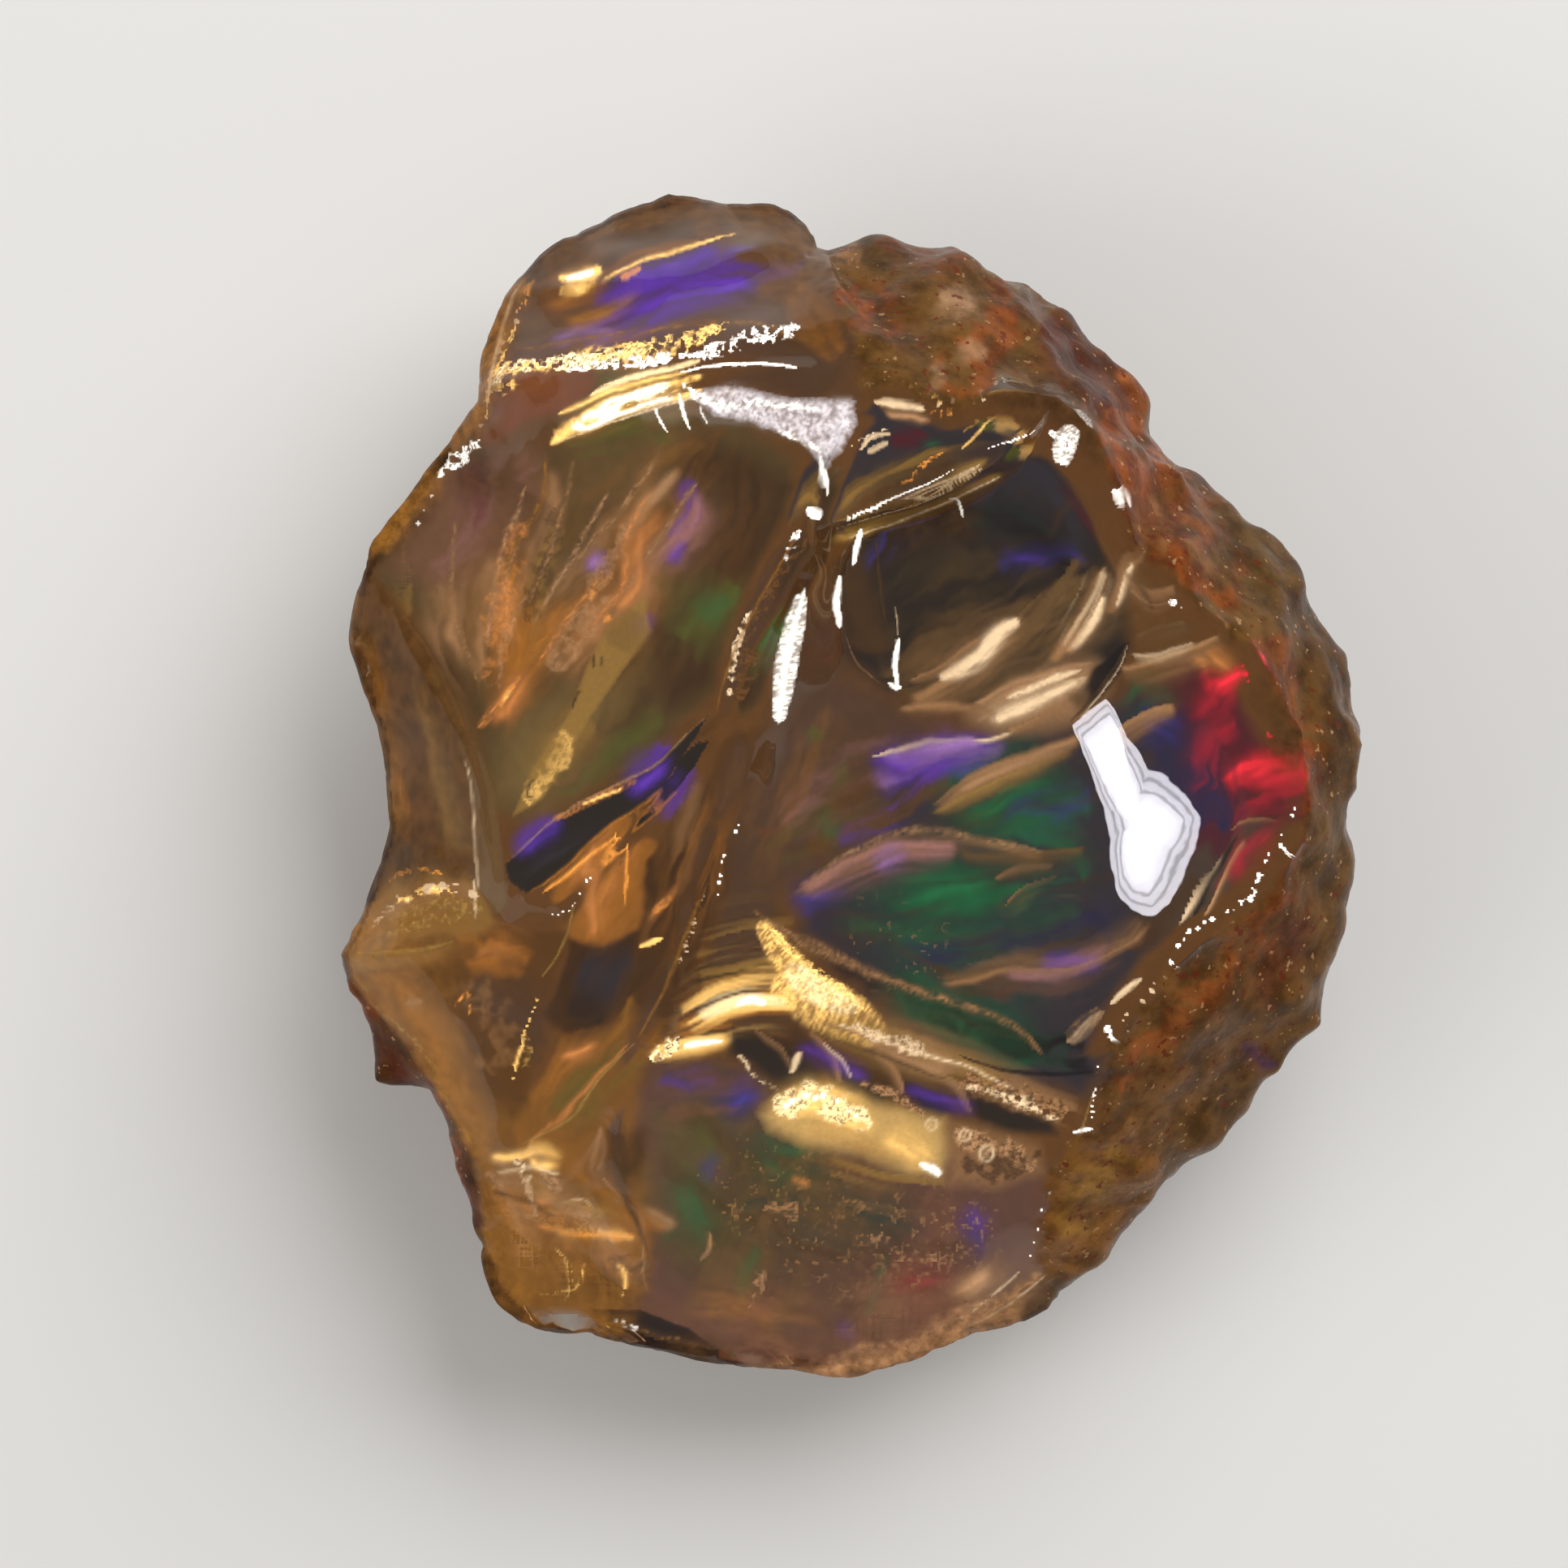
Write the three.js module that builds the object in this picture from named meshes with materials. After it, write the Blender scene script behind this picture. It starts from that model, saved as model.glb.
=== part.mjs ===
// A rough lump of Ethiopian opal: clear honey-brown opal broken along shell-shaped fractures, with a rusty
// rind of host rock on its right side, its back and a band of its lower left edge. It lies on its back.
// +Z points up out of the broken front, +Y towards the top of the stone. Everything is in millimetres.
import * as THREE from "three";
import { ImprovedNoise } from "three/addons/math/ImprovedNoise.js";

// Driving dimensions
const planReach = 20; // the plan of the stone lies within this of its middle
const ridgeStep = 0.5; // spacing of the points along a fracture edge
const rimStep = 0.55; // spacing of the points along the outline
const frontStep = 0.66; // spacing of the points on the broken front
const backStep = 1.1; // spacing of the points on the back
const edgeClearance = 0.62; // nearest a surface point comes to an edge, as a share of the spacing
const unevenness = 0.12; // how far a surface point strays from an even spacing, as a share of it
const edgeWander = 0.09; // how far a fracture edge strays from its smooth line
const rimWander = 0.14; // how far the outline strays
const rimSway = 0.9; // how far the outline sways up and down
const shoulderWander = 0.9; // how far the shoulder of the back strays
const shoulderSway = 0.9; // how far the shoulder sways up and down
const wanderLength = 2.2; // length of a sideways bend in a line, as a multiple of its spacing
const swayLength = 4; // length of an upward bend in a line, as a multiple of its spacing
const rindLump = 1.9; // size of the lumps in the rind
const rindGrain = 0.8; // size of the smaller lumps on them
const grainShare = 0.5; // height of the smaller lumps, as a share of the larger
const backRelief = 0.42; // height of the lumps on the back
const restClearance = 0.08; // how far the lumps of the back stay above the flat that it rests on
const longestSide = 1.9; // longest side of a triangle on a steep place, as a multiple of the spacing
const backBulge = 0.09; // roundness of the back, as a curvature in 1/mm
const relaxRounds = 900; // rounds that settle a surface between its edges
const wearRounds = 4; // rounds that wear the rind smooth before its lumps are made
const rindWear = 0.5; // how much of the unevenness goes in a round
const rimWear = 0.35; // how much of that wear reaches the outline sideways

// Places where edges meet, as [x, y, z]
const at = {
  peak: [-0.8, 8.0, 15.4], // highest point of the stone
  crestTop: [0.2, 10.4, 14.6],
  crestLedge: [-1.0, 6.7, 15.2],
  crestFoot: [-1.0, 6.2, 15.0],
  crestWaist: [-3.1, 1.9, 14.4],
  crestLip: [-4.0, -2.8, 13.2],
  crestEnd: [-5.6, -7.0, 11.6],
  topLeft: [-9.4, 13.1, 7.8],
  topRight: [-0.9, 14.5, 8.3],
  notch: [-0.6, 14.4, 8.6],
  bandLeft: [-10.1, 10.4, 8.0],
  shoulderTop: [-10.8, 9.3, 8.0],
  bandRight: [-0.2, 12.5, 13.0],
  plateLeft: [-4.7, 10.5, 13.6],
  flakeTop: [-13.1, 5.9, 7.4],
  flakeLow: [-9.5, -2.7, 10.6],
  flakeEnd: [-9.7, -3.7, 10.2],
  lobeLeft: [-12.7, -2.1, 7.2],
  tip: [-13.8, -4.6, 7.0],
  bladeTop: [-7.7, -3.2, 12.2],
  bladeStep: [-7.7, -3.9, 11.6],
  chin: [-9.3, -9.9, 8.2],
  jaw: [-10.4, -9.9, 7.2],
  rustTop: [-13.7, -5.2, 6.6],
  rustEnd: [-10.1, -12.6, 5.4],
  seamEnd: [-5.4, -15.4, 5.2],
  lipEnd: [7.0, -6.9, 12.2],
  pocketEnd: [5.4, 10.2, 14.0],
  fingerTop: [0.1, 6.6, 13.3],
  fingerEnd: [1.2, 2.7, 10.8],
  arcEnd: [9.2, 4.8, 13.2],
  rindEnd: [5.4, -14.3, 5.3],
  lobeEnd: [13.8, 1.5, 8.4],
};

// The outline of the stone as seen from above, clockwise from the top, one stretch at a time
const outline = [
  // clear top edge
  [-4.9, 16.0, 7.6], [-3.2, 15.8, 7.7], [-1.8, 15.6, 8.0], [-1.1, 15.1, 8.0], at.topRight, at.notch,
  // rusty lobes of the upper right
  [-0.4, 14.7, 8.2], [0.7, 15.3, 7.6], [1.7, 15.0, 7.4], [2.9, 14.9, 7.2], [3.5, 14.3, 7.2], [4.7, 13.5, 7.0],
  [6.3, 12.3, 7.0], [7.5, 11.7, 7.0], [8.2, 10.6, 7.2], [8.3, 10.0, 7.4], [8.2, 9.5, 7.6], [8.5, 9.0, 7.7],
  [9.4, 8.7, 7.8], [10.7, 7.4, 7.8], [11.8, 6.8, 7.9], [12.7, 5.5, 8.1], [13.4, 3.7, 8.3], at.lobeEnd,
  // rusty right side
  [13.9, -0.7, 8.4], [13.7, -2.9, 8.4], [13.3, -5.1, 8.2], [12.4, -7.0, 7.9], [11.2, -8.0, 7.6],
  [10.8, -8.9, 7.3], [9.8, -10.0, 6.9], [8.9, -11.1, 6.5], [7.8, -12.0, 6.1], [7.3, -13.2, 5.7],
  [5.8, -13.9, 5.4], at.rindEnd,
  // clear bottom edge
  [4.7, -14.7, 5.2], [3.1, -15.1, 5.2], [1.6, -15.8, 5.2], [0.0, -16.2, 5.2], [-1.9, -16.0, 5.2],
  [-3.9, -15.8, 5.2], at.seamEnd, [-7.0, -15.1, 5.2], [-8.8, -14.8, 5.2], [-9.8, -13.7, 5.3], at.rustEnd,
  // rusty band of the lower left
  [-10.7, -11.7, 5.4], [-11.1, -9.9, 5.5], [-11.7, -8.2, 5.6], [-12.9, -8.0, 5.4], [-13.5, -6.5, 5.8],
  at.rustTop, at.tip,
  // clear left edge
  [-13.3, -3.5, 7.1], at.lobeLeft, [-12.5, -0.7, 7.2], [-12.8, 1.4, 7.2], [-13.3, 3.1, 7.2],
  [-13.5, 3.8, 7.2], [-13.4, 5.2, 7.3], at.flakeTop, [-13.0, 6.5, 7.5], [-11.9, 7.9, 7.8],
  at.shoulderTop, at.bandLeft, [-9.8, 12.1, 7.8], at.topLeft, [-8.5, 14.3, 7.8], [-6.8, 15.2, 7.7],
];

// Edges between the fractures of the front
const frontEdges = {
  crestHead: [at.crestTop, [-0.2, 9.1, 15.2], at.peak],
  crestNape: [at.peak, at.crestLedge],
  crestNeck: [at.crestLedge, at.crestFoot],
  crestBack: [at.crestFoot, [-1.6, 5.3, 15.0], [-2.5, 3.6, 14.8], at.crestWaist],
  crestTail: [at.crestWaist, [-2.7, 0.8, 14.1], [-3.5, -1.1, 13.6], at.crestLip],
  crestHeel: [at.crestLip, [-4.7, -5.0, 12.5], at.crestEnd],
  brow: [at.topLeft, [-8.5, 13.3, 9.0], [-7.1, 13.4, 10.0], [-5.4, 13.5, 10.8], [-3.6, 14.0, 10.8],
    [-2.1, 14.4, 10.3], at.topRight],
  bandTop: [at.bandLeft, [-9.3, 10.8, 9.5], [-7.5, 10.9, 11.0], [-6.2, 11.1, 12.0], [-4.9, 11.5, 12.8],
    [-3.6, 11.8, 13.2], [-2.3, 12.0, 13.5], [-1.2, 12.1, 13.6], at.bandRight],
  bandLow: [at.shoulderTop, [-9.5, 9.5, 9.6], [-8.1, 9.3, 11.0], [-6.6, 9.9, 12.4], at.plateLeft],
  bandCrest: [at.plateLeft, [-3.2, 10.8, 14.2], [-1.5, 10.9, 14.6], at.crestTop],
  plate: [at.plateLeft, [-3.6, 9.9, 13.9], [-2.3, 9.2, 14.5], [-1.3, 8.6, 15.1], at.peak],
  flake: [at.flakeTop, [-12.2, 4.5, 8.6], [-11.5, 3.2, 9.4], [-10.6, 1.7, 10.0], [-9.9, 0.2, 10.4],
    [-9.7, -1.1, 10.5], at.flakeLow],
  flakeHeel: [at.flakeLow, at.flakeEnd],
  ledge: [at.flakeLow, [-8.6, -3.0, 11.6], at.bladeTop],
  ledgeRise: [at.bladeTop, [-6.7, -2.1, 12.8], [-6.1, -1.4, 13.2], [-5.2, -0.5, 13.6], [-4.3, 0.8, 14.0],
    at.crestWaist],
  shoulder: [at.tip, [-12.6, -4.6, 8.6], [-11.1, -4.3, 9.6], at.flakeEnd],
  shoulderIn: [at.flakeEnd, [-8.7, -3.7, 11.0], at.bladeStep],
  lobe: [at.lobeLeft, [-11.5, -1.9, 8.6], [-10.4, -2.6, 9.6], at.flakeLow],
  bladeHead: [at.bladeTop, at.bladeStep],
  blade: [at.bladeStep, [-8.3, -5.4, 10.9], [-8.6, -6.1, 10.4], [-9.0, -7.5, 9.6], [-9.5, -9.3, 8.5],
    at.chin],
  diamond: [at.chin, [-8.0, -9.2, 9.2], [-6.7, -8.2, 10.5], at.crestEnd],
  seam: [at.crestEnd, [-6.0, -8.3, 10.6], [-6.1, -9.8, 9.6], [-5.7, -11.4, 8.4], [-5.4, -13.3, 6.9],
    at.seamEnd],
  rustBand: [at.rustTop, [-13.0, -5.9, 6.9], [-12.0, -7.1, 7.2], [-11.1, -8.4, 7.4], at.jaw],
  rustHeel: [at.jaw, [-10.0, -11.3, 6.8], at.rustEnd],
  jawLine: [at.jaw, at.chin],
  lip: [at.crestLip, [-3.1, -3.1, 12.4], [-2.1, -3.7, 11.8], [-1.0, -4.5, 11.4], [0.2, -5.3, 11.2],
    [2.2, -6.1, 11.2], [4.4, -6.9, 11.4], [6.1, -7.3, 11.8], at.lipEnd],
  pocketLedge: [at.crestLedge, [0.6, 7.2, 14.3], [2.1, 7.6, 13.9], [3.2, 8.2, 13.8], [4.1, 8.8, 13.8],
    at.pocketEnd],
  pocketFoot: [at.crestFoot, at.fingerTop],
  pocketSill: [at.fingerTop, [0.9, 6.8, 12.6], [2.2, 7.1, 12.0], [3.5, 7.7, 12.0], [4.6, 8.5, 12.6],
    at.pocketEnd],
  finger: [at.fingerTop, [-0.3, 5.3, 12.9], [-0.1, 3.9, 12.2], [0.6, 3.1, 11.4], at.fingerEnd],
  arc: [at.fingerEnd, [2.3, 2.4, 10.6], [3.3, 1.8, 10.5], [4.4, 1.4, 10.4], [5.7, 1.5, 10.5],
    [6.5, 2.2, 10.8], [7.3, 3.5, 11.4], [7.6, 4.3, 11.9], [8.2, 4.9, 12.5], at.arcEnd],
  notchLine: [at.notch, [-0.4, 13.6, 11.2], at.bandRight],
  rindHead: [at.bandRight, [0.2, 11.3, 14.0], at.crestTop],
  rindBrow: [at.crestTop, [0.9, 10.7, 14.8], [1.9, 10.3, 14.6], [2.9, 10.0, 14.3], [3.9, 10.4, 14.2],
    at.pocketEnd],
  rindUpper: [at.pocketEnd, [6.2, 9.5, 13.8], [6.9, 8.3, 13.6], [7.3, 7.0, 13.4], [7.5, 6.3, 13.2],
    [8.4, 5.7, 13.2], at.arcEnd],
  rindSide: [at.arcEnd, [10.5, 3.8, 12.8], [11.2, 2.7, 12.6], [11.9, 1.5, 12.3], [12.1, 0.2, 12.0],
    [12.1, -1.1, 11.8], [11.8, -2.0, 11.8], [10.6, -3.3, 12.2], [9.3, -4.2, 12.6], [8.4, -5.0, 12.6],
    [7.6, -6.0, 12.4], at.lipEnd],
  rindFoot: [at.lipEnd, [6.8, -8.0, 11.5], [6.5, -9.3, 10.6], [5.9, -9.6, 10.2], [5.4, -10.4, 9.6],
    [5.2, -11.6, 8.6], [5.2, -13.0, 7.0], at.rindEnd],
  rindRidge: [at.notch, [0.3, 13.9, 9.6], [1.8, 13.5, 10.6], [3.3, 13.4, 11.0], [4.6, 12.3, 11.2],
    [5.6, 11.0, 11.4], [7.2, 9.5, 11.0], [8.5, 8.0, 11.0], [10.0, 6.5, 10.8], [11.6, 4.9, 10.4],
    [12.8, 3.0, 9.6], at.lobeEnd],
};

// The fractures of the front. inside is any [x, y] within one, hollow its curvature in 1/mm (negative bulges
// up), rough the height of the lumps on it in millimetres, and soft tells worn rind from a clean fracture.
const frontFaces = [
  { name: "top strip", inside: [-5.0, 14.8], hollow: 0.02, rough: 0.03 },
  { name: "top scoop", inside: [-5.4, 12.6], hollow: 0.3, rough: 0 },
  { name: "band", inside: [-8.0, 10.2], hollow: 0.22, rough: 0.03 },
  { name: "plate", inside: [-1.5, 10.1], hollow: -0.05, rough: 0.01 },
  { name: "left face", inside: [-6.5, 4.8], hollow: 0.13, rough: 0 },
  { name: "side flake", inside: [-12.0, 1.0], hollow: 0.3, rough: 0.02 },
  { name: "lobe", inside: [-11.4, -3.2], hollow: -0.35, rough: 0.12 },
  { name: "wedge", inside: [-8.8, -3.4], hollow: 0, rough: 0 },
  { name: "cloudy cheek", inside: [-10.7, -6.8], hollow: -0.08, rough: 0.03 },
  { name: "diamond scoop", inside: [-6.2, -5.0], hollow: 0.42, rough: 0 },
  { name: "crumpled corner", inside: [-7.7, -11.6], hollow: 0.12, rough: 0.22 },
  { name: "bottom face", inside: [-1.0, -11.6], hollow: -0.03, rough: 0.02 },
  { name: "great hollow", inside: [3.3, -1.9], hollow: 0.16, rough: 0 },
  { name: "upper hollow", inside: [4.4, 5.5], hollow: 0.24, rough: 0 },
  { name: "pocket step", inside: [2.2, 7.4], hollow: 0, rough: 0 },
  { name: "pocket", inside: [1.8, 9.0], hollow: 0.9, rough: 0.05 },
  { name: "rind", inside: [9.9, 5.9], hollow: -0.1, rough: 0.34, soft: true },
  { name: "outer rind", inside: [7.0, 10.6], hollow: -0.4, rough: 0.34, soft: true },
  { name: "rust band", inside: [-12.3, -7.4], hollow: -0.3, rough: 0.2, soft: true },
];

// The flat that the stone rests on, a worn face of the rind
const restFlat = [
  [-4.7, -5.9, 0], [-0.6, -7.0, 0], [3.8, -5.4, 0], [6.1, -1.6, 0], [5.4, 3.1, 0], [2.4, 6.4, 0],
  [-2.2, 6.0, 0], [-5.6, 3.4, 0], [-6.3, -1.2, 0],
];

// Where the steep sides of the stone round over into its back
const backShoulder = [
  [-3.6, 13.9, 4.0], [1.6, 13.3, 3.6], [5.8, 10.7, 3.2], [8.6, 7.2, 3.8], [11.8, 3.4, 3.9], [12.7, -1.1, 3.4],
  [11.6, -5.2, 3.0], [8.6, -9.0, 3.2], [5.8, -12.0, 2.6], [1.2, -13.9, 2.8], [-4.2, -13.6, 2.5],
  [-8.4, -11.2, 3.0], [-11.0, -6.4, 2.9], [-11.4, 0.6, 4.0], [-11.2, 4.8, 3.8], [-9.1, 9.6, 4.3],
  [-7.4, 12.6, 4.1],
];
const backFaces = [
  { name: "rest", inside: [0, 0], hollow: 0, rough: 0 },
  { name: "back", inside: [10.0, -1.0], hollow: backBulge, rough: backRelief, soft: true },
  { name: "side", inside: [13.2, -1.0], hollow: backBulge, rough: backRelief, soft: true },
];

const perlin = new ImprovedNoise();
const lumpGain = 1.6; // brings the noise to about one unit of height
const lumps = (x, y, z, size, seed) => perlin.noise(x / size + seed, y / size - seed, z / size + seed / 3);

// Points along a smooth line through the given places, about one step apart. In between it strays sideways by
// wander and up and down by sway.
function walk(places, step, wander, sway, seed) {
  const curve = new THREE.CatmullRomCurve3(places.map((p) => new THREE.Vector3(...p)), false, "centripetal");
  const count = Math.max(1, Math.round(curve.getLength() / step));
  return curve.getSpacedPoints(count).map((p, i) => {
    if (i === 0) return [...places[0]];
    if (i === count) return [...places[places.length - 1]];
    const fade = Math.min(1, (4 * Math.min(i, count - i)) / count);
    return [
      p.x + fade * wander * lumps(p.x, p.y, 0, wanderLength * step, seed),
      p.y + fade * wander * lumps(p.x, p.y, 0, wanderLength * step, seed + 7.3),
      p.z + fade * sway * lumps(p.x, p.y, 0, swayLength * step, seed + 3.1),
    ];
  });
}

// The points of a surface over the plan of the stone, with the edges that it must keep
class Plan {
  constructor() {
    this.points = [];
    this.fixed = [];
    this.edges = new Set();
    this.found = new Map();
  }
  key(a, b) {
    return a < b ? `${a}_${b}` : `${b}_${a}`;
  }
  add(point, fixed) {
    const name = `${point[0].toFixed(3)}_${point[1].toFixed(3)}`;
    if (this.found.has(name)) return this.found.get(name);
    this.points.push([...point]);
    this.fixed.push(fixed);
    this.found.set(name, this.points.length - 1);
    return this.points.length - 1;
  }
  addLine(line) {
    const ids = line.map((p) => this.add(p, true));
    for (let i = 1; i < ids.length; i++) this.edges.add(this.key(ids[i - 1], ids[i]));
    return ids;
  }
  middle(ids) {
    return [0, 1, 2].map((axis) => ids.reduce((sum, id) => sum + this.points[id][axis], 0) / ids.length);
  }
  sidesOf(triangles) {
    return new Set(triangles.flatMap((t) => t.map((c, k) => this.key(c, t[(k + 1) % 3]))));
  }
  // Triangles inside the outline that keep every edge. An edge that they would cross is split in two.
  fill(rimPoints) {
    for (;;) {
      const triangles = triangulate(this.points);
      const sides = this.sidesOf(triangles);
      const lost = [...this.edges].filter((name) => !sides.has(name));
      if (!lost.length) return triangles.filter((t) => contains(rimPoints, ...this.middle(t)));
      for (const name of lost) {
        const ends = name.split("_").map(Number);
        this.edges.delete(name);
        this.addLine([this.points[ends[0]], this.middle(ends), this.points[ends[1]]]);
      }
    }
  }
  // Adds a point on every long side between the edges, and tells whether there were any
  splitLong(triangles, longest) {
    const before = this.points.length;
    for (const name of this.sidesOf(triangles)) {
      const ends = name.split("_").map(Number);
      const [a, b] = ends.map((id) => new THREE.Vector3(...this.points[id]));
      if (!this.edges.has(name) && a.distanceTo(b) > longest) this.add(this.middle(ends), false);
    }
    return this.points.length > before;
  }
  // Even points over the plan, clear of every edge
  scatter(step, rimPoints, accept = () => true) {
    const edgePoints = this.points.slice();
    const rows = Math.ceil(planReach / step);
    for (let j = -rows; j <= rows; j++) {
      for (let i = -rows; i <= rows; i++) {
        const x0 = (i + (Math.abs(j) % 2) / 2) * step;
        const y0 = (j * step * Math.sqrt(3)) / 2;
        const x = x0 + unevenness * step * lumps(x0, y0, 0, step, 11.7);
        const y = y0 + unevenness * step * lumps(x0, y0, 0, step, 23.9);
        if (!contains(rimPoints, x, y) || !accept(x, y)) continue;
        const clear = edgePoints.every((p) => Math.hypot(p[0] - x, p[1] - y) > edgeClearance * step);
        if (clear) this.add([x, y, 0], false);
      }
    }
  }
}

// Whether [x, y] lies inside a polygon
function contains(polygon, x, y) {
  let odd = false;
  for (let i = 0, j = polygon.length - 1; i < polygon.length; j = i++) {
    const [xi, yi] = polygon[i];
    const [xj, yj] = polygon[j];
    if (yi > y !== yj > y && x < ((xj - xi) * (y - yi)) / (yj - yi) + xi) odd = !odd;
  }
  return odd;
}

// Delaunay triangles over the plan, by adding one point at a time
function triangulate(points) {
  const far = 10 * planReach;
  const all = [...points, [-far, -far], [far, -far], [0, far]];
  const circle = (a, b, c) => {
    const [ax, ay] = all[a];
    const [bx, by] = [all[b][0] - ax, all[b][1] - ay];
    const [cx, cy] = [all[c][0] - ax, all[c][1] - ay];
    const d = 2 * (bx * cy - by * cx);
    const ux = (cy * (bx * bx + by * by) - by * (cx * cx + cy * cy)) / d;
    const uy = (bx * (cx * cx + cy * cy) - cx * (bx * bx + by * by)) / d;
    return { corners: [a, b, c], x: ax + ux, y: ay + uy, r2: ux * ux + uy * uy };
  };
  const n = points.length;
  let triangles = [circle(n, n + 1, n + 2)];
  points.forEach(([x, y], id) => {
    const open = new Map();
    const kept = [];
    for (const t of triangles) {
      if ((t.x - x) ** 2 + (t.y - y) ** 2 >= t.r2) {
        kept.push(t);
        continue;
      }
      for (let k = 0; k < 3; k++) {
        const [a, b] = [t.corners[k], t.corners[(k + 1) % 3]];
        if (!open.delete(`${b}_${a}`)) open.set(`${a}_${b}`, [a, b]);
      }
    }
    for (const [a, b] of open.values()) kept.push(circle(a, b, id));
    triangles = kept;
  });
  return triangles.map((t) => t.corners).filter((t) => t.every((c) => c < n));
}

// Spreads each face's settings over the triangles around its inside point, stopping at the edges
function facesOf(plan, triangles, faces) {
  const beside = new Map();
  triangles.forEach((t, id) => {
    for (let k = 0; k < 3; k++) {
      const name = plan.key(t[k], t[(k + 1) % 3]);
      if (!beside.has(name)) beside.set(name, []);
      beside.get(name).push(id);
    }
  });
  const faceOf = new Array(triangles.length).fill(null);
  for (const face of faces) {
    const start = triangles.findIndex((t) => contains(t.map((c) => plan.points[c]), ...face.inside));
    if (start < 0 || faceOf[start]) throw new Error(`the face ${face.name} has no place of its own`);
    const waiting = [start];
    faceOf[start] = face;
    while (waiting.length) {
      const t = triangles[waiting.pop()];
      for (let k = 0; k < 3; k++) {
        const name = plan.key(t[k], t[(k + 1) % 3]);
        if (plan.edges.has(name)) continue;
        for (const next of beside.get(name)) {
          if (faceOf[next]) continue;
          faceOf[next] = face;
          waiting.push(next);
        }
      }
    }
  }
  return faceOf;
}

// Settles the free points between the edges into smooth hollows and bulges
function settle(plan, triangles, faceOf) {
  const { points, fixed } = plan;
  const neighbours = points.map(() => new Set());
  const face = new Array(points.length).fill(null);
  triangles.forEach((t, id) => {
    t.forEach((c, k) => {
      neighbours[c].add(t[(k + 1) % 3]).add(t[(k + 2) % 3]);
      face[c] = faceOf[id];
    });
  });
  const around = points.map((_, id) => id).filter((id) => !fixed[id]).map((id) => {
    const near = [...neighbours[id]];
    const reach = near.map((n) => Math.hypot(points[n][0] - points[id][0], points[n][1] - points[id][1]));
    const pull = reach.map((r) => 1 / r);
    const total = pull.reduce((a, b) => a + b, 0);
    const drop = (face[id].hollow * reach.reduce((a, b) => a + b, 0)) / total / 4;
    return { id, near, pull: pull.map((w) => w / total), drop };
  });
  for (let round = 0; round < relaxRounds; round++) {
    for (const { id, near, pull, drop } of around) {
      points[id][2] = near.reduce((sum, n, k) => sum + pull[k] * points[n][2], 0) - drop;
    }
  }
}

// One side of the stone: its points, its triangles and the face that each belongs to
function makeSurface(rim, edgeLines, step, faces, accept) {
  const plan = new Plan();
  plan.addLine([...rim, rim[0]]);
  edgeLines.forEach((line) => plan.addLine(line));
  plan.scatter(step, rim, accept);
  for (;;) {
    const triangles = plan.fill(rim);
    const faceOf = facesOf(plan, triangles, faces);
    settle(plan, triangles, faceOf);
    if (!plan.splitLong(triangles, longestSide * step)) return { plan, triangles, faceOf };
  }
}

// Joins the front and the back along the outline, and gives each point its surface's roughness. A point is
// soft where only worn rind meets, and crisp where it lies on the edge of a clean fracture.
function joinSurfaces(front, back, rim) {
  const stone = { points: [], soft: [], rough: [], crisp: [], onRim: [], triangles: [] };
  const found = new Map();
  const nameOf = (point) => point.map((v) => v.toFixed(6)).join();
  const rimNames = new Set(rim.map(nameOf));
  const place = (point) => {
    const name = nameOf(point);
    if (!found.has(name)) {
      found.set(name, stone.points.length);
      stone.points.push(new THREE.Vector3(...point));
      stone.soft.push(true);
      stone.rough.push(0);
      stone.crisp.push(false);
      stone.onRim.push(rimNames.has(name));
    }
    return found.get(name);
  };
  for (const { plan, triangles, faceOf } of [front, back]) {
    triangles.forEach((t, id) => {
      const corners = t.map((c) => {
        const at = place(plan.points[c]);
        stone.soft[at] &&= Boolean(faceOf[id].soft);
        stone.rough[at] = Math.max(stone.rough[at], faceOf[id].rough);
        stone.crisp[at] ||= plan.fixed[c];
        return at;
      });
      stone.triangles.push(plan === back.plan ? corners.reverse() : corners);
    });
  }
  return stone;
}

// Wears the rind smooth, so that no sharp edge is left where the front and the back meet in it
function wearRind({ points, soft, onRim, triangles }) {
  const neighbours = points.map(() => new Set());
  triangles.forEach((t) => t.forEach((c, k) => neighbours[c].add(t[(k + 1) % 3]).add(t[(k + 2) % 3])));
  for (let round = 0; round < wearRounds; round++) {
    const before = points.map((p) => p.clone());
    points.forEach((point, id) => {
      if (!soft[id]) return;
      const middle = new THREE.Vector3();
      neighbours[id].forEach((n) => middle.addScaledVector(before[n], 1 / neighbours[id].size));
      const planWear = onRim[id] ? rimWear : 1;
      middle.x = point.x + planWear * (middle.x - point.x);
      middle.y = point.y + planWear * (middle.y - point.y);
      point.lerp(middle, rindWear);
    });
  }
}

// Pushes the points in and out along the surface's own direction, into lumps
function roughen({ points, soft, rough, crisp, triangles }) {
  const normals = points.map(() => new THREE.Vector3());
  for (const t of triangles) {
    const [a, b, c] = t.map((corner) => points[corner].clone());
    const normal = b.sub(a).cross(c.sub(a));
    t.forEach((corner) => normals[corner].add(normal));
  }
  points.forEach((point, id) => {
    if ((crisp[id] && !soft[id]) || !rough[id]) return;
    const { x, y, z } = point;
    const lump = lumps(x, y, z, rindLump, 5.1) + grainShare * lumps(x, y, z, rindGrain, 9.7);
    point.addScaledVector(normals[id].normalize(), lumpGain * rough[id] * lump);
    point.z = Math.max(point.z, restClearance);
  });
}

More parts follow.
